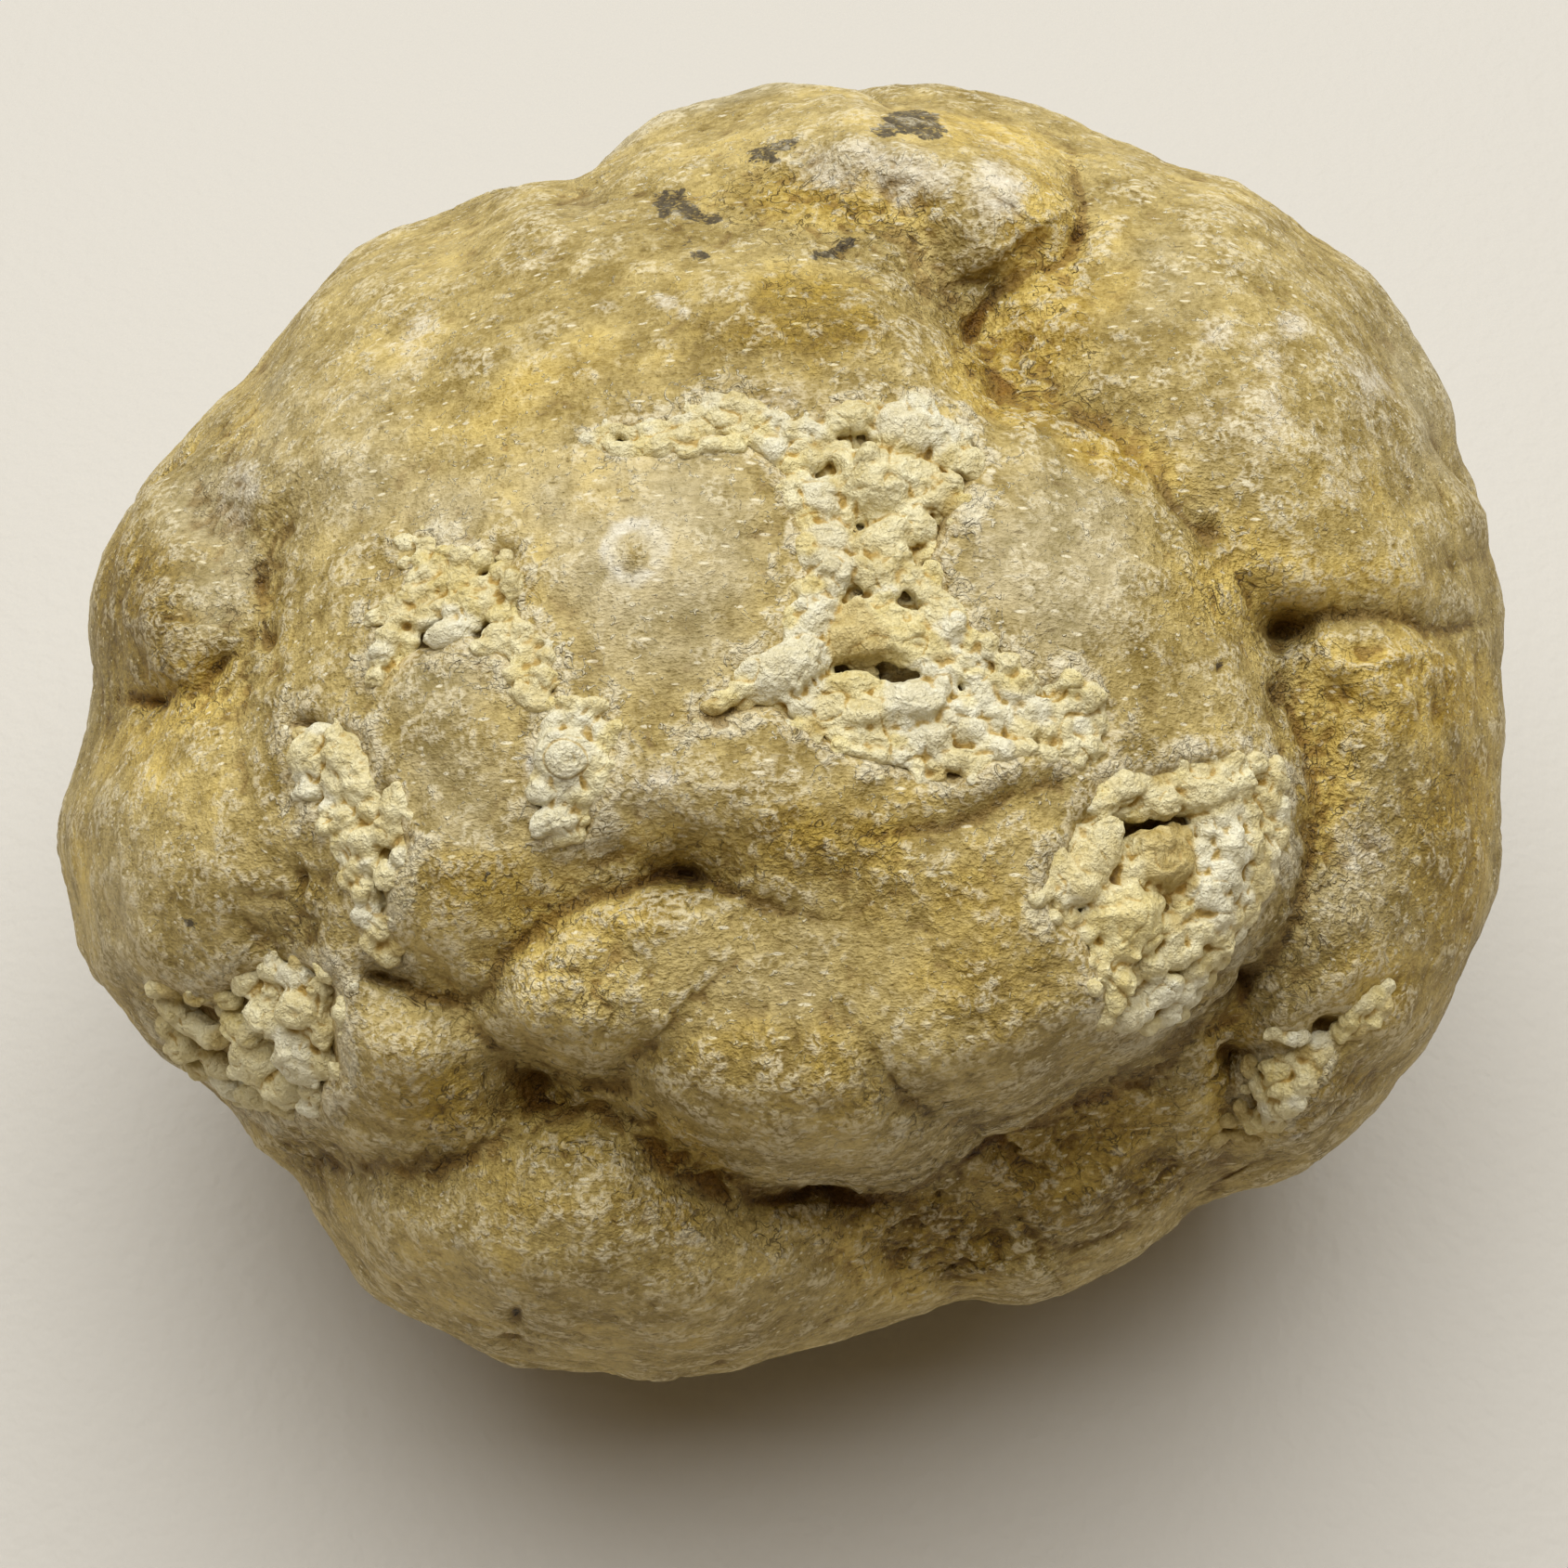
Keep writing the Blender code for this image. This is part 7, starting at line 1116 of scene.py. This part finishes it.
    give(mesh, "broken", ramp(-4, 12, f["edge"] + 4 * small))
    give(mesh, "fold", np.maximum(f["fold"], 0.6 * f["rugged"]))
    give(mesh, "groove", groove)
    give(mesh, "crease", crease)
    mesh.shade_smooth()
    return o


# Small deep holes on the upper chart, and the hollows between knobs.
PITS = [
    (928, 577, 15, 8, 0, -3.0), (903, 712, 16, 13, 0, -2.4), (972, 732, 24, 13, 10, -3.2), (940, 712, 22, 10, 0, -1.6),
    (541, 592, 12, 9, 0, -1.4), (455, 685, 9, 9, 0, -1.4), (522, 682, 9, 8, 0, -1.4), (775, 779, 12, 6, 0, -0.9),
    (329, 779, 14, 8, 0, -1.2), (360, 790, 14, 6, 20, -1.2), (397, 973, 11, 9, 0, -1.2), (415, 853, 7, 9, 0, -1.0),
    (322, 945, 8, 14, -20, -0.9), (1216, 893, 34, 12, 5, -2.8), (1260, 884, 22, 8, 0, -1.6), (595, 868, 10, 4, 0, -1.4),
    (599, 893, 10, 4, 45, -0.9), (1344, 1052, 8, 12, 0, -1.0), (1339, 1146, 9, 10, 0, -1.2), (1431, 1103, 14, 6, -20, -1.0),
    (546, 1449, 12, 5, 0, -0.8), (555, 1418, 6, 12, 15, -0.6), (568, 1462, 16, 4, 10, -0.6), (343, 1307, 9, 7, 0, -0.8), (884, 1289, 34, 6, 0, -1.2),
    (1388, 680, 20, 6, -8, -0.7), (1040, 366, 7, 12, 30, -0.4), (740, 944, 14, 6, 5, -0.9), (1316, 717, 4, 8, 40, -0.5),
    (1160, 256, 6, 9, 10, -0.5), (289, 690, 7, 10, 10, -0.7), (160, 754, 12, 5, 0, -0.6), (578, 1160, 20, 6, 10, -0.8),
]


# ---------------------------------------------------------------- the knobs in the open patches
def sight(tree, chart, u, v):
    """Where the sight line through (u, v) meets the skin."""
    x, y = (u - chart.mid) / chart.focal, (v - chart.mid) / chart.focal
    ray = chart.forward + x * chart.right - y * chart.up
    place, _, _, _ = tree.ray_cast(Vector(chart.eye), Vector(ray / np.linalg.norm(ray)))
    return None if place is None else np.array(place)


def scattered(rim, seed, knobs, holes):
    """Smaller knobs between the large ones and a few on a patch's rim: (u, v, half length, half width, turn, tint)."""
    rng = np.random.default_rng(seed)
    r = np.array(rim)
    (u0, v0), (u1, v1) = r.min(0) - 14, r.max(0) + 14
    many = int((u1 - u0) * (v1 - v0) / 14.0 ** 2)
    u, v = rng.uniform(u0, u1, many), rng.uniform(v0, v1, many)
    d = from_ring(u, v, rim)
    inside = ramp(-2, 6, d)
    keep = rng.uniform(0, 1, many) < inside * 0.90 + 0.16 * np.exp(-(np.clip(-d, 0, None) / 9) ** 2)
    for cu, cv, ru, rv, _, _ in holes:
        keep &= ((u - cu) / (ru + 9)) ** 2 + ((v - cv) / (rv + 9)) ** 2 > 1
    for cu, cv, ru, rv, _, _ in knobs:
        keep &= ((u - cu) / (0.8 * ru)) ** 2 + ((v - cv) / (0.8 * rv)) ** 2 > 1
    out = []
    for i in np.flatnonzero(keep):
        size = (5.5 + 6.0 * rng.uniform() ** 1.3) * (0.60 + 0.40 * inside[i])
        tint = int(rng.choice([0, 2, 2, 3, 3] if d[i] > 4 else [0, 0, 1]))
        out.append((u[i], v[i], size * rng.uniform(0.9, 1.5), size, rng.uniform(-90, 90), tint))
    return out


def strewn(rim, seed):
    """The large knobs of a patch on a side that isn't drawn knob by knob."""
    rng = np.random.default_rng(seed)
    r = np.array(rim)
    out = []
    for _ in range(900):
        u, v = rng.uniform(r.min(0), r.max(0))
        size = rng.uniform(11, 25)
        if from_ring(np.array([u]), np.array([v]), rim)[0] < 0.6 * size:
            continue
        if all(math.hypot(u - a, v - b) > 0.85 * (size + c) for a, b, c, _, _, _ in out):
            out.append((u, v, size, size * rng.uniform(0.65, 0.95), rng.uniform(-90, 90), int(rng.choice([0, 0, 1, 1, 2]))))
    return out


def make_knobs(name, tree, chart, rim, knobs, grains, voxel=0.00017, seed=0, eye=None):
    """One solid of rounded, grown-together lumps, half sunk in the skin, with a cauliflower surface."""
    rng = np.random.default_rng(500 + seed)
    shapes = {3: ball(3), 2: ball(2)}
    points, faces, tints, centres, sizes = [], [], [], [], []
    total = 0

    def lump(place, axes, radii, level, uneven, facets=2):
        nonlocal total
        d, f = shapes[level]
        s = rng.uniform(-50, 50, 3)
        r = 1 + uneven * (noise(d * 1.2 + s, 61) + 0.5 * noise(d * 2.7 + s, 62))
        for _ in range(facets):
            # A face broken flat.
            way = rng.normal(size=3)
            way /= np.linalg.norm(way)
            cut = rng.uniform(0.74, 0.98)
            r = np.minimum(r, cut / np.maximum(d @ way, 0.3))
        points.append(place + (d * r[:, None] * radii) @ axes)
        faces.append(f + total)
        total += len(d)

    for k, (u, v, ru, rv, turn, tint) in enumerate(knobs + grains):
        place = sight(tree, chart, u, v)
        if place is None:
            continue
        scale = (place - chart.eye) @ chart.forward / chart.focal
        n = plain_normal(place[None])[0] - 0.5 * chart.away(place[None])[0]
        n /= np.linalg.norm(n)
        a = math.radians(turn)
        x = math.cos(a) * chart.right - math.sin(a) * chart.up
        x -= n * (x @ n)
        x /= np.linalg.norm(x)
        axes = np.stack([x, np.cross(n, x), n])
        grain = k >= len(knobs)
        much = scale * (1.0 if grain else 1.24)
        rx, ry = ru * much, rv * much
        rz = (0.80 if grain else 0.86) * min(rx, ry) + 0.05 * max(rx, ry)
        lift = (0.0 if grain else 0.80) * MM * float(ramp(2, 22, from_ring(np.array([u]), np.array([v]), rim)[0]))
        base = place + n * (lift - rz * (rng.uniform(0.25, 0.6) if grain else rng.uniform(0.0, 0.25)))
        lump(base, axes, np.array([rx, ry, rz]) * 1.06, 2 if min(ru, rv) < 9 else 3, 0.12 if eye else 0.36, 0 if eye else 2)
        # Smaller lumps bud from a larger one.
        for _ in range(0 if grain or min(ru, rv) < 13 else 3 + int(max(ru, rv) > 24)):
            way = rng.uniform(0, 2 * math.pi)
            out = rng.uniform(0.60, 0.95)
            high = rng.uniform(0.2, 0.8) * math.sqrt(1 - out ** 2)
            at = base + np.array([rx * out * math.cos(way), ry * out * math.sin(way), rz * high]) @ axes
            small = rng.uniform(0.28, 0.42) * min(rx, ry)
            lump(at, axes, small * rng.uniform(0.8, 1.3, 3), 2, 0.22)
        centres.append(place)
        sizes.append(max(rx, ry))
        tints.append(tint)
    o = mesh_object(name, np.concatenate(points), np.concatenate(faces))
    remesh = o.modifiers.new("grown_together", "REMESH")
    remesh.mode = "VOXEL"
    remesh.voxel_size = voxel
    remesh.use_smooth_shade = True
    applied(o)
    triangulate = o.modifiers.new("triangles", "TRIANGULATE")
    applied(o)
    mesh = o.data
    p, n, edges = read(mesh)
    p = smoothed(p, edges, 1)
    big = layered(p, 0.0030, 2, seed=63)
    h = 0.09 * (knobbly(p, 0.0018, seed=64) - 0.6) * (0.7 + 0.5 * big) + 0.05 * (knobbly(p, 0.0008, seed=65) - 0.6) + 0.12 * big
    h += 0.06 * layered(p, 0.0011, 3, seed=66)
    h -= 0.16 * np.clip(1 - np.abs(layered(p, 0.0032, 2, seed=69)) / 0.14, 0, 1) ** 2
    if eye:
        # An agate eye: thin rings round one knob.
        u, v, _ = chart.project(p)
        r = np.hypot(u - eye[0], (v - eye[1]) * 1.05) + 3.2 * layered(p, 0.0024, 2, seed=67)
        flat = ramp(eye[2] + 5, eye[2] - 1, r)
        part = 0.35 + 0.65 * ramp(-0.3, 0.3, layered(p, 0.0018, 2, seed=68))
        h = h * (1 - 0.8 * flat) + flat * (0.09 * part * np.cos(2 * np.pi * r / eye[3]) - 0.22 * np.exp(-((r - eye[2]) / 2.2) ** 2))
    p = p + n * (h * MM)[:, None]
    mesh.vertices.foreach_set("co", p.astype(np.float32).ravel())
    mesh.update()
    p, n, edges = read(mesh)
    # Each point takes its tint from the knob it is part of.
    centres, sizes, tints = np.array(centres), np.array(sizes), np.array(tints)
    best = np.full(len(p), 1e9)
    tint = np.zeros(len(p), int)
    for c, s, t in zip(centres, sizes, tints):
        near = np.flatnonzero((np.abs(p - c) < 2.2 * s).all(1))
        d = np.linalg.norm(p[near] - c, axis=1) / s
        closer = d < best[near]
        best[near[closer]] = d[closer]
        tint[near[closer]] = t
    for i, word in enumerate(("cream", "white", "yellow", "tan")):
        w = smoothed((tint == i).astype(float)[:, None], edges, 3)[:, 0]
        if i:
            give(mesh, word, w)
    give(mesh, "tone", 0.5 + 0.35 * layered(p, 0.0034, 3, seed=76) + 0.25 * layered(p, 0.0011, 2, seed=77))
    give(mesh, "warm", ramp(0.0, 0.5, layered(p, 0.0058, 3, seed=78)))
    give(mesh, "groove", hollowness(p, n, edges, 10))
    give(mesh, "crease", hollowness(p, n, edges, 70))
    mesh.shade_smooth()
    return o


# ---------------------------------------------------------------- materials
class Nodes:
    """Short calls for building a material's nodes. A socket or a number can go in anywhere."""

    def __init__(self, name):
        self.material = bpy.data.materials.new(name)
        self.material.use_nodes = True
        self.tree = self.material.node_tree
        self.shader = self.tree.nodes["Principled BSDF"]
        self.place = self.add("ShaderNodeTexCoord").outputs["Object"]

    def add(self, kind):
        return self.tree.nodes.new(kind)

    def put(self, socket, value):
        if isinstance(value, bpy.types.NodeSocket):
            self.tree.links.new(value, socket)
        elif isinstance(value, (tuple, list)) and len(value) == 3 and socket.type == "RGBA":
            socket.default_value = (*value, 1.0)
        else:
            socket.default_value = value

    def attribute(self, name):
        n = self.add("ShaderNodeAttribute")
        n.attribute_name = name
        return n.outputs["Fac"]

    def noise(self, size, detail=4.0, rough=0.55, bend=0.0, place=None):
        """Noise with features of about this many millimetres."""
        n = self.add("ShaderNodeTexNoise")
        n.noise_dimensions = "3D"
        n.normalize = True
        self.put(n.inputs["Vector"], place or self.place)
        self.put(n.inputs["Scale"], 1000.0 / size)
        self.put(n.inputs["Detail"], detail)
        self.put(n.inputs["Roughness"], rough)
        self.put(n.inputs["Distortion"], bend)
        return n.outputs["Fac"]

    def cells(self, size, feature="F1", place=None, random=1.0):
        n = self.add("ShaderNodeTexVoronoi")
        n.feature = feature
        self.put(n.inputs["Vector"], place or self.place)
        self.put(n.inputs["Scale"], 1000.0 / size)
        self.put(n.inputs["Randomness"], random)
        return n.outputs["Distance"]

    def marks(self, size, place):
        """Scattered marks of about this spacing: (distance to the nearest one, its lot between 0 and 1)."""
        n = self.add("ShaderNodeTexVoronoi")
        self.put(n.inputs["Vector"], place)
        self.put(n.inputs["Scale"], 1000.0 / size)
        lot = self.add("ShaderNodeSeparateColor")
        self.put(lot.inputs[0], n.outputs["Color"])
        return n.outputs["Distance"], lot.outputs[0]

    def turned(self, angles, scale, bend=0.0):
        """The place turned and stretched, for grain that runs one way."""
        place = self.place
        if bend:
            wave = self.add("ShaderNodeTexNoise")
            self.put(wave.inputs["Vector"], self.place)
            self.put(wave.inputs["Scale"], 90.0)
            self.put(wave.inputs["Detail"], 2.0)
            shift = self.add("ShaderNodeVectorMath")
            shift.operation = "MULTIPLY_ADD"
            self.put(shift.inputs[0], wave.outputs["Color"])
            shift.inputs[1].default_value = (bend, bend, bend)
            self.put(shift.inputs[2], place)
            place = shift.outputs["Vector"]
        n = self.add("ShaderNodeMapping")
        self.put(n.inputs["Vector"], place)
        n.inputs["Rotation"].default_value = [math.radians(a) for a in angles]
        n.inputs["Scale"].default_value = scale
        return n.outputs["Vector"]

    def math(self, operation, a, b=0.5, c=None, clamp=False):
        n = self.add("ShaderNodeMath")
        n.operation = operation
        n.use_clamp = clamp
        self.put(n.inputs[0], a)
        self.put(n.inputs[1], b)
        if c is not None:
            self.put(n.inputs[2], c)
        return n.outputs[0]

    def times(self, a, b, clamp=False):
        return self.math("MULTIPLY", a, b, clamp=clamp)

    def plus(self, a, b, clamp=False):
        return self.math("ADD", a, b, clamp=clamp)

    def between(self, value, lo, hi, out_lo=0.0, out_hi=1.0, smooth=True):
        """Value carried from lo..hi to out_lo..out_hi, and held there beyond."""
        n = self.add("ShaderNodeMapRange")
        n.interpolation_type = "SMOOTHSTEP" if smooth else "LINEAR"
        n.clamp = True
        self.put(n.inputs["Value"], value)
        self.put(n.inputs["From Min"], lo)
        self.put(n.inputs["From Max"], hi)
        self.put(n.inputs["To Min"], out_lo)
        self.put(n.inputs["To Max"], out_hi)
        return n.outputs["Result"]

    def mix(self, factor, a, b, mode="MIX"):
        n = self.add("ShaderNodeMix")
        n.data_type = "RGBA"
        n.blend_type = mode
        n.clamp_factor = True
        self.put(n.inputs[0], factor)
        self.put(n.inputs[6], a)
        self.put(n.inputs[7], b)
        return n.outputs[2]

    def bump(self, height, strength, distance, below=None):
        n = self.add("ShaderNodeBump")
        n.inputs["Strength"].default_value = strength
        n.inputs["Distance"].default_value = distance
        self.put(n.inputs["Height"], height)
        if below is not None:
            self.put(n.inputs["Normal"], below)
        return n.outputs["Normal"]


def rind_material():
    m = Nodes("chalcedony_rind")
    grain = m.noise(0.20, 2.0, 0.60, 0.2, m.turned((8, -6, 10), (0.5, 1.2, 1.2)))
    speckle = m.noise(0.50, 3.0, 0.60, 0.4)
    cloud = m.noise(2.2, 3.0, 0.58, 0.4)
    lines = m.noise(1.9, 2.0, 0.50, 1.2)
    tone, frost, fold = m.attribute("tone"), m.attribute("frost"), m.attribute("fold")
    ochre, brown_and_shade, grey = m.attribute("ochre"), m.attribute("brown_and_shade"), m.attribute("grey")
    fine = m.plus(m.times(grain, 1.1), m.plus(m.times(speckle, 1.7), m.times(cloud, 1.8)))
    light = m.between(m.plus(m.times(tone, 1.2), fine), 2.32, 3.48, smooth=False)

    # The rind: mustard tan in clouds and fine grain, greyer and ochre in its places, and brown where its mask says,
    # partly real brown stain and partly painted shade.
    colour = m.mix(light, (0.270, 0.185, 0.034), (0.640, 0.500, 0.190))
    colour = m.mix(m.times(grey, 0.95), colour, m.mix(light, (0.335, 0.265, 0.105), (0.620, 0.520, 0.295)))
    colour = m.mix(m.times(ochre, 0.90), colour, m.mix(light, (0.390, 0.238, 0.012), (0.800, 0.600, 0.165)))
    colour = m.mix(m.times(brown_and_shade, 0.80), colour, m.mix(light, (0.140, 0.080, 0.002), (0.440, 0.300, 0.032)))

    # Squiggles: thin light lines where one noise crosses its middle, here and there
    squiggle = m.between(m.math("ABSOLUTE", m.plus(lines, -0.5)), 0.006, 0.020, 1.0, 0.0)
    here = m.plus(m.plus(speckle, m.times(frost, 0.08)), m.times(m.attribute("crust"), 0.26))
    squiggle = m.times(squiggle, m.between(here, 0.56, 0.62))
    # Short crisp dashes, most of them light and some dark
    dash, lot = m.marks(0.80, m.turned((8, -6, 10), (0.36, 1.25, 1.25)))
    dash = m.between(dash, 0.24, 0.13)
    fleck = m.times(dash, m.between(m.plus(lot, m.times(here, 1.2)), 1.10, 1.20))
    pale = m.plus(m.times(squiggle, 0.65), m.times(fleck, 0.80), clamp=True)
    colour = m.mix(pale, colour, (0.880, 0.800, 0.560))
    # Dark specks
    speck = m.plus(m.times(dash, m.between(m.plus(lot, m.times(cloud, 0.6)), 0.46, 0.40)),
                   m.between(m.plus(m.times(grain, 0.4), m.times(speckle, 0.6)), 0.370, 0.325), clamp=True)
    colour = m.mix(m.times(speck, 0.55), colour, (0.110, 0.066, 0.010))
    # Hair cracks along the folds and in the broken brown places
    crack = m.between(m.math("ABSOLUTE", m.plus(lines, -0.43)), 0.004, 0.016, 1.0, 0.0)
    broken_up = m.plus(fold, m.plus(m.times(brown_and_shade, 0.45), m.times(ochre, 0.25)))
    crack = m.times(crack, m.between(m.plus(broken_up, m.times(cloud, 0.8)), 0.75, 1.15))
    colour = m.mix(m.times(crack, 0.70), colour, (0.130, 0.075, 0.012))

    # White frost where its mask says, in patches with a bright middle
    veil = m.plus(m.plus(m.times(frost, 0.66), m.times(speckle, 0.40)), m.plus(m.times(grain, 0.20), m.times(cloud, 0.60)))
    frosted = m.times(m.between(veil, 0.92, 1.28), m.between(frost, 0.15, 0.90, 0.35, 0.90))
    colour = m.mix(frosted, colour, m.mix(light, (0.560, 0.470, 0.290), (0.860, 0.800, 0.640)))
    colour = m.mix(m.times(m.attribute("ring"), 0.80), colour, m.mix(light, (0.620, 0.560, 0.400), (0.900, 0.860, 0.720)))

    # Crust round the open patches, and their floor
    crust = m.between(m.plus(m.attribute("crust"), m.times(m.plus(grain, speckle), 0.60)), 0.80, 1.40)
    colour = m.mix(m.times(crust, 0.85), colour, m.mix(light, (0.520, 0.400, 0.160), (0.900, 0.830, 0.600)))
    colour = m.mix(m.times(m.attribute("broken"), 0.85), colour, m.mix(light, (0.330, 0.210, 0.045), (0.780, 0.630, 0.300)))

    # Where the brown mask is strong the colour is multiplied browner and yellower: partly real brown stain, partly
    # painted shade that warms the shaded places.
    colour = m.mix(m.times(brown_and_shade, 0.85), colour, m.mix(1.0, colour, (0.97, 0.90, 0.58), "MULTIPLY"))

    # Dark stains
    stain = m.between(m.plus(m.times(m.attribute("stain"), 0.7), m.times(m.plus(speckle, grain), 0.9)), 1.38, 1.56)
    colour = m.mix(m.times(stain, 0.92), colour, (0.062, 0.046, 0.024))

    # Darker brown in grooves and creases, partly dirt and partly painted shade, and paler crests
    groove, crease = m.attribute("groove"), m.attribute("crease")
    dirt_and_shade = m.plus(m.between(groove, 0.02, 0.16, 0.0, 0.65), m.between(crease, 0.55, 1.9, 0.0, 0.60), clamp=True)
    colour = m.mix(dirt_and_shade, colour, m.mix(1.0, colour, (0.42, 0.29, 0.07), "MULTIPLY"))
    pale_crests = m.between(groove, -0.015, -0.11, 0.0, 0.60)
    colour = m.mix(m.times(pale_crests, m.between(speckle, 0.40, 0.60)), colour, (0.830, 0.740, 0.500))

    m.put(m.shader.inputs["Base Color"], colour)
    m.put(m.shader.inputs["Roughness"], m.plus(0.46, m.times(speckle, 0.34)))
    m.shader.inputs["IOR"].default_value = 1.50
    rough = m.times(m.plus(m.times(fold, 1.6), m.plus(m.times(brown_and_shade, 1.0), 0.5)), m.plus(speckle, m.times(cloud, 0.8)))
    rough = m.plus(rough, m.times(m.attribute("crust"), m.plus(m.times(speckle, 1.2), m.times(squiggle, 0.8))))
    height = m.plus(m.plus(m.times(grain, 0.30), rough), m.plus(m.times(squiggle, 0.35), m.times(crack, -0.9)))
    m.put(m.shader.inputs["Normal"], m.bump(height, 1.0, 0.00042))
    return m.material


def knob_material():
    m = Nodes("cream_knobs")
    grain = m.noise(0.30, 3.0, 0.66, 0.3)
    coarse = m.noise(1.2, 3.0, 0.60, 0.4)
    tone, warm = m.attribute("tone"), m.attribute("warm")
    light = m.between(m.plus(m.times(tone, 0.7), m.plus(m.times(grain, 0.8), m.times(coarse, 1.3))), 1.02, 1.80, smooth=False)
    colour = m.mix(light, (0.680, 0.555, 0.235), (0.950, 0.875, 0.560))
    colour = m.mix(m.attribute("white"), colour, m.mix(light, (0.760, 0.680, 0.410), (0.955, 0.915, 0.700)))
    colour = m.mix(m.attribute("yellow"), colour, m.mix(light, (0.690, 0.545, 0.190), (0.950, 0.855, 0.480)))
    colour = m.mix(m.attribute("tan"), colour, m.mix(light, (0.470, 0.335, 0.090), (0.820, 0.680, 0.320)))
    colour = m.mix(m.times(warm, 0.22), colour, m.mix(light, (0.460, 0.320, 0.065), (0.840, 0.680, 0.290)))
    groove, crease = m.attribute("groove"), m.attribute("crease")
    # Grooves and creases between the knobs are multiplied to ochre-brown: partly real staining, partly painted shade.
    stain_and_shade = m.plus(m.between(groove, 0.01, 0.08, 0.0, 0.70), m.between(crease, 0.06, 0.40, 0.0, 0.60), clamp=True)
    colour = m.mix(stain_and_shade, colour, m.mix(1.0, colour, (0.66, 0.49, 0.19), "MULTIPLY"))
    # The deepest gaps between the knobs are painted near-black brown: painted shade.
    deep = m.between(m.plus(m.times(groove, 1.5), crease), 0.24, 0.76, 0.0, 0.90)
    colour = m.mix(deep, colour, (0.130, 0.064, 0.007))
    m.put(m.shader.inputs["Base Color"], colour)
    m.put(m.shader.inputs["Roughness"], m.plus(0.45, m.times(grain, 0.35)))
    m.shader.inputs["IOR"].default_value = 1.50
    m.put(m.shader.inputs["Normal"], m.bump(m.plus(m.times(grain, 0.7), coarse), 1.0, 0.00050))
    return m.material


def floor_material():
    m = Nodes("pale_table")
    grit = m.noise(1.9, 2.0, 0.6)
    m.shader.inputs["Base Color"].default_value = (0.600, 0.572, 0.512, 1.0)
    m.shader.inputs["Roughness"].default_value = 0.55
    m.put(m.shader.inputs["Normal"], m.bump(grit, 0.35, 0.00045))
    return m.material


# ---------------------------------------------------------------- putting it together
skin = make_skin()
skin.name = "rind_surface"
points, _, _ = read(skin.data)
tree = BVHTree.FromPolygons([Vector(p) for p in points], [tuple(f.vertices) for f in skin.data.polygons])
pieces = [skin]
for k, (name, knobs) in enumerate(KNOBS.items()):
    grains = scattered(PATCHES[name][1], 70 + k, knobs, PITS)
    eye = (609, 818, 25, 6.5) if name == "F" else None
    pieces.append(make_knobs("knobs_" + name, tree, TOP, PATCHES[name][1], knobs, grains, seed=k, eye=eye))
for chart, _, _, patches in HIDDEN:
    for k, (name, _, rim) in enumerate(patches):
        knobs = strewn(rim, 90 + k)
        grains = scattered(rim, 95 + k, knobs, [])
        pieces.append(make_knobs("knobs_" + name, tree, chart, rim, knobs, grains, seed=20 + k))
print("triangles", {o.name: len(o.data.polygons) for o in pieces}, sum(len(o.data.polygons) for o in pieces))
rind, cream = rind_material(), knob_material()
for o in pieces:
    o.data.materials.append(rind if o is skin else cream)

for o in pieces:
    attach(o, "root")
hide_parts("geode")

bpy.ops.mesh.primitive_circle_add(vertices=128, radius=0.85, fill_type="NGON", location=(0, 0, 0))
table = bpy.context.object
table.name = "table"
table.data.materials.append(floor_material())

# ---------------------------------------------------------------- light and camera
scene = bpy.context.scene
scene.view_settings.view_transform = "Standard"
scene.view_settings.look = "None"
scene.view_settings.exposure = 0.0
scene.view_settings.gamma = 1.0
world = bpy.data.worlds.new("room")
scene.world = world
world.use_nodes = True
fill = world.node_tree.nodes["Background"]
fill.inputs["Color"].default_value = (1.0, 0.76, 0.48, 1)
fill.inputs["Strength"].default_value = 0.17
# Past the table's edge the room is as pale as the table.
wall = world.node_tree.nodes.new("ShaderNodeBackground")
wall.inputs["Color"].default_value = (0.620, 0.590, 0.530, 1)
wall.inputs["Strength"].default_value = 1.0
sight_ray = world.node_tree.nodes.new("ShaderNodeLightPath")
either = world.node_tree.nodes.new("ShaderNodeMixShader")
for start, end in ((sight_ray.outputs["Is Camera Ray"], either.inputs[0]), (fill.outputs[0], either.inputs[1]),
                   (wall.outputs[0], either.inputs[2]), (either.outputs[0], world.node_tree.nodes["World Output"].inputs[0])):
    world.node_tree.links.new(start, end)


def area(name, place, aim, size, power, colour):
    light = bpy.data.lights.new(name, "AREA")
    light.shape = "SQUARE"
    light.size = size
    light.energy = power
    light.color = colour
    o = bpy.data.objects.new(name, light)
    scene.collection.objects.link(o)
    o.location = place
    o.rotation_euler = (Vector(aim) - Vector(place)).to_track_quat("-Z", "Y").to_euler()


area("window", (-0.03, 0.547, 1.503), (0, 0, 0), 2.0, 43.8, (0.965, 0.985, 1.0))
scene.cycles.max_bounces = 3
scene.cycles.diffuse_bounces = 2
scene.cycles.glossy_bounces = 1
scene.cycles.denoising_prefilter = "FAST"

lens = bpy.data.cameras.new("camera")
lens.sensor_width = 36.0
lens.lens = 36.0 * CHART_FOCAL / CHART
lens.clip_start = 0.01
camera = bpy.data.objects.new("camera", lens)
scene.collection.objects.link(camera)
turn = Matrix([TOP.right, TOP.up, -TOP.forward]).transposed()
camera.matrix_world = Matrix.Translation(TOP.eye) @ turn.to_4x4()
scene.camera = camera
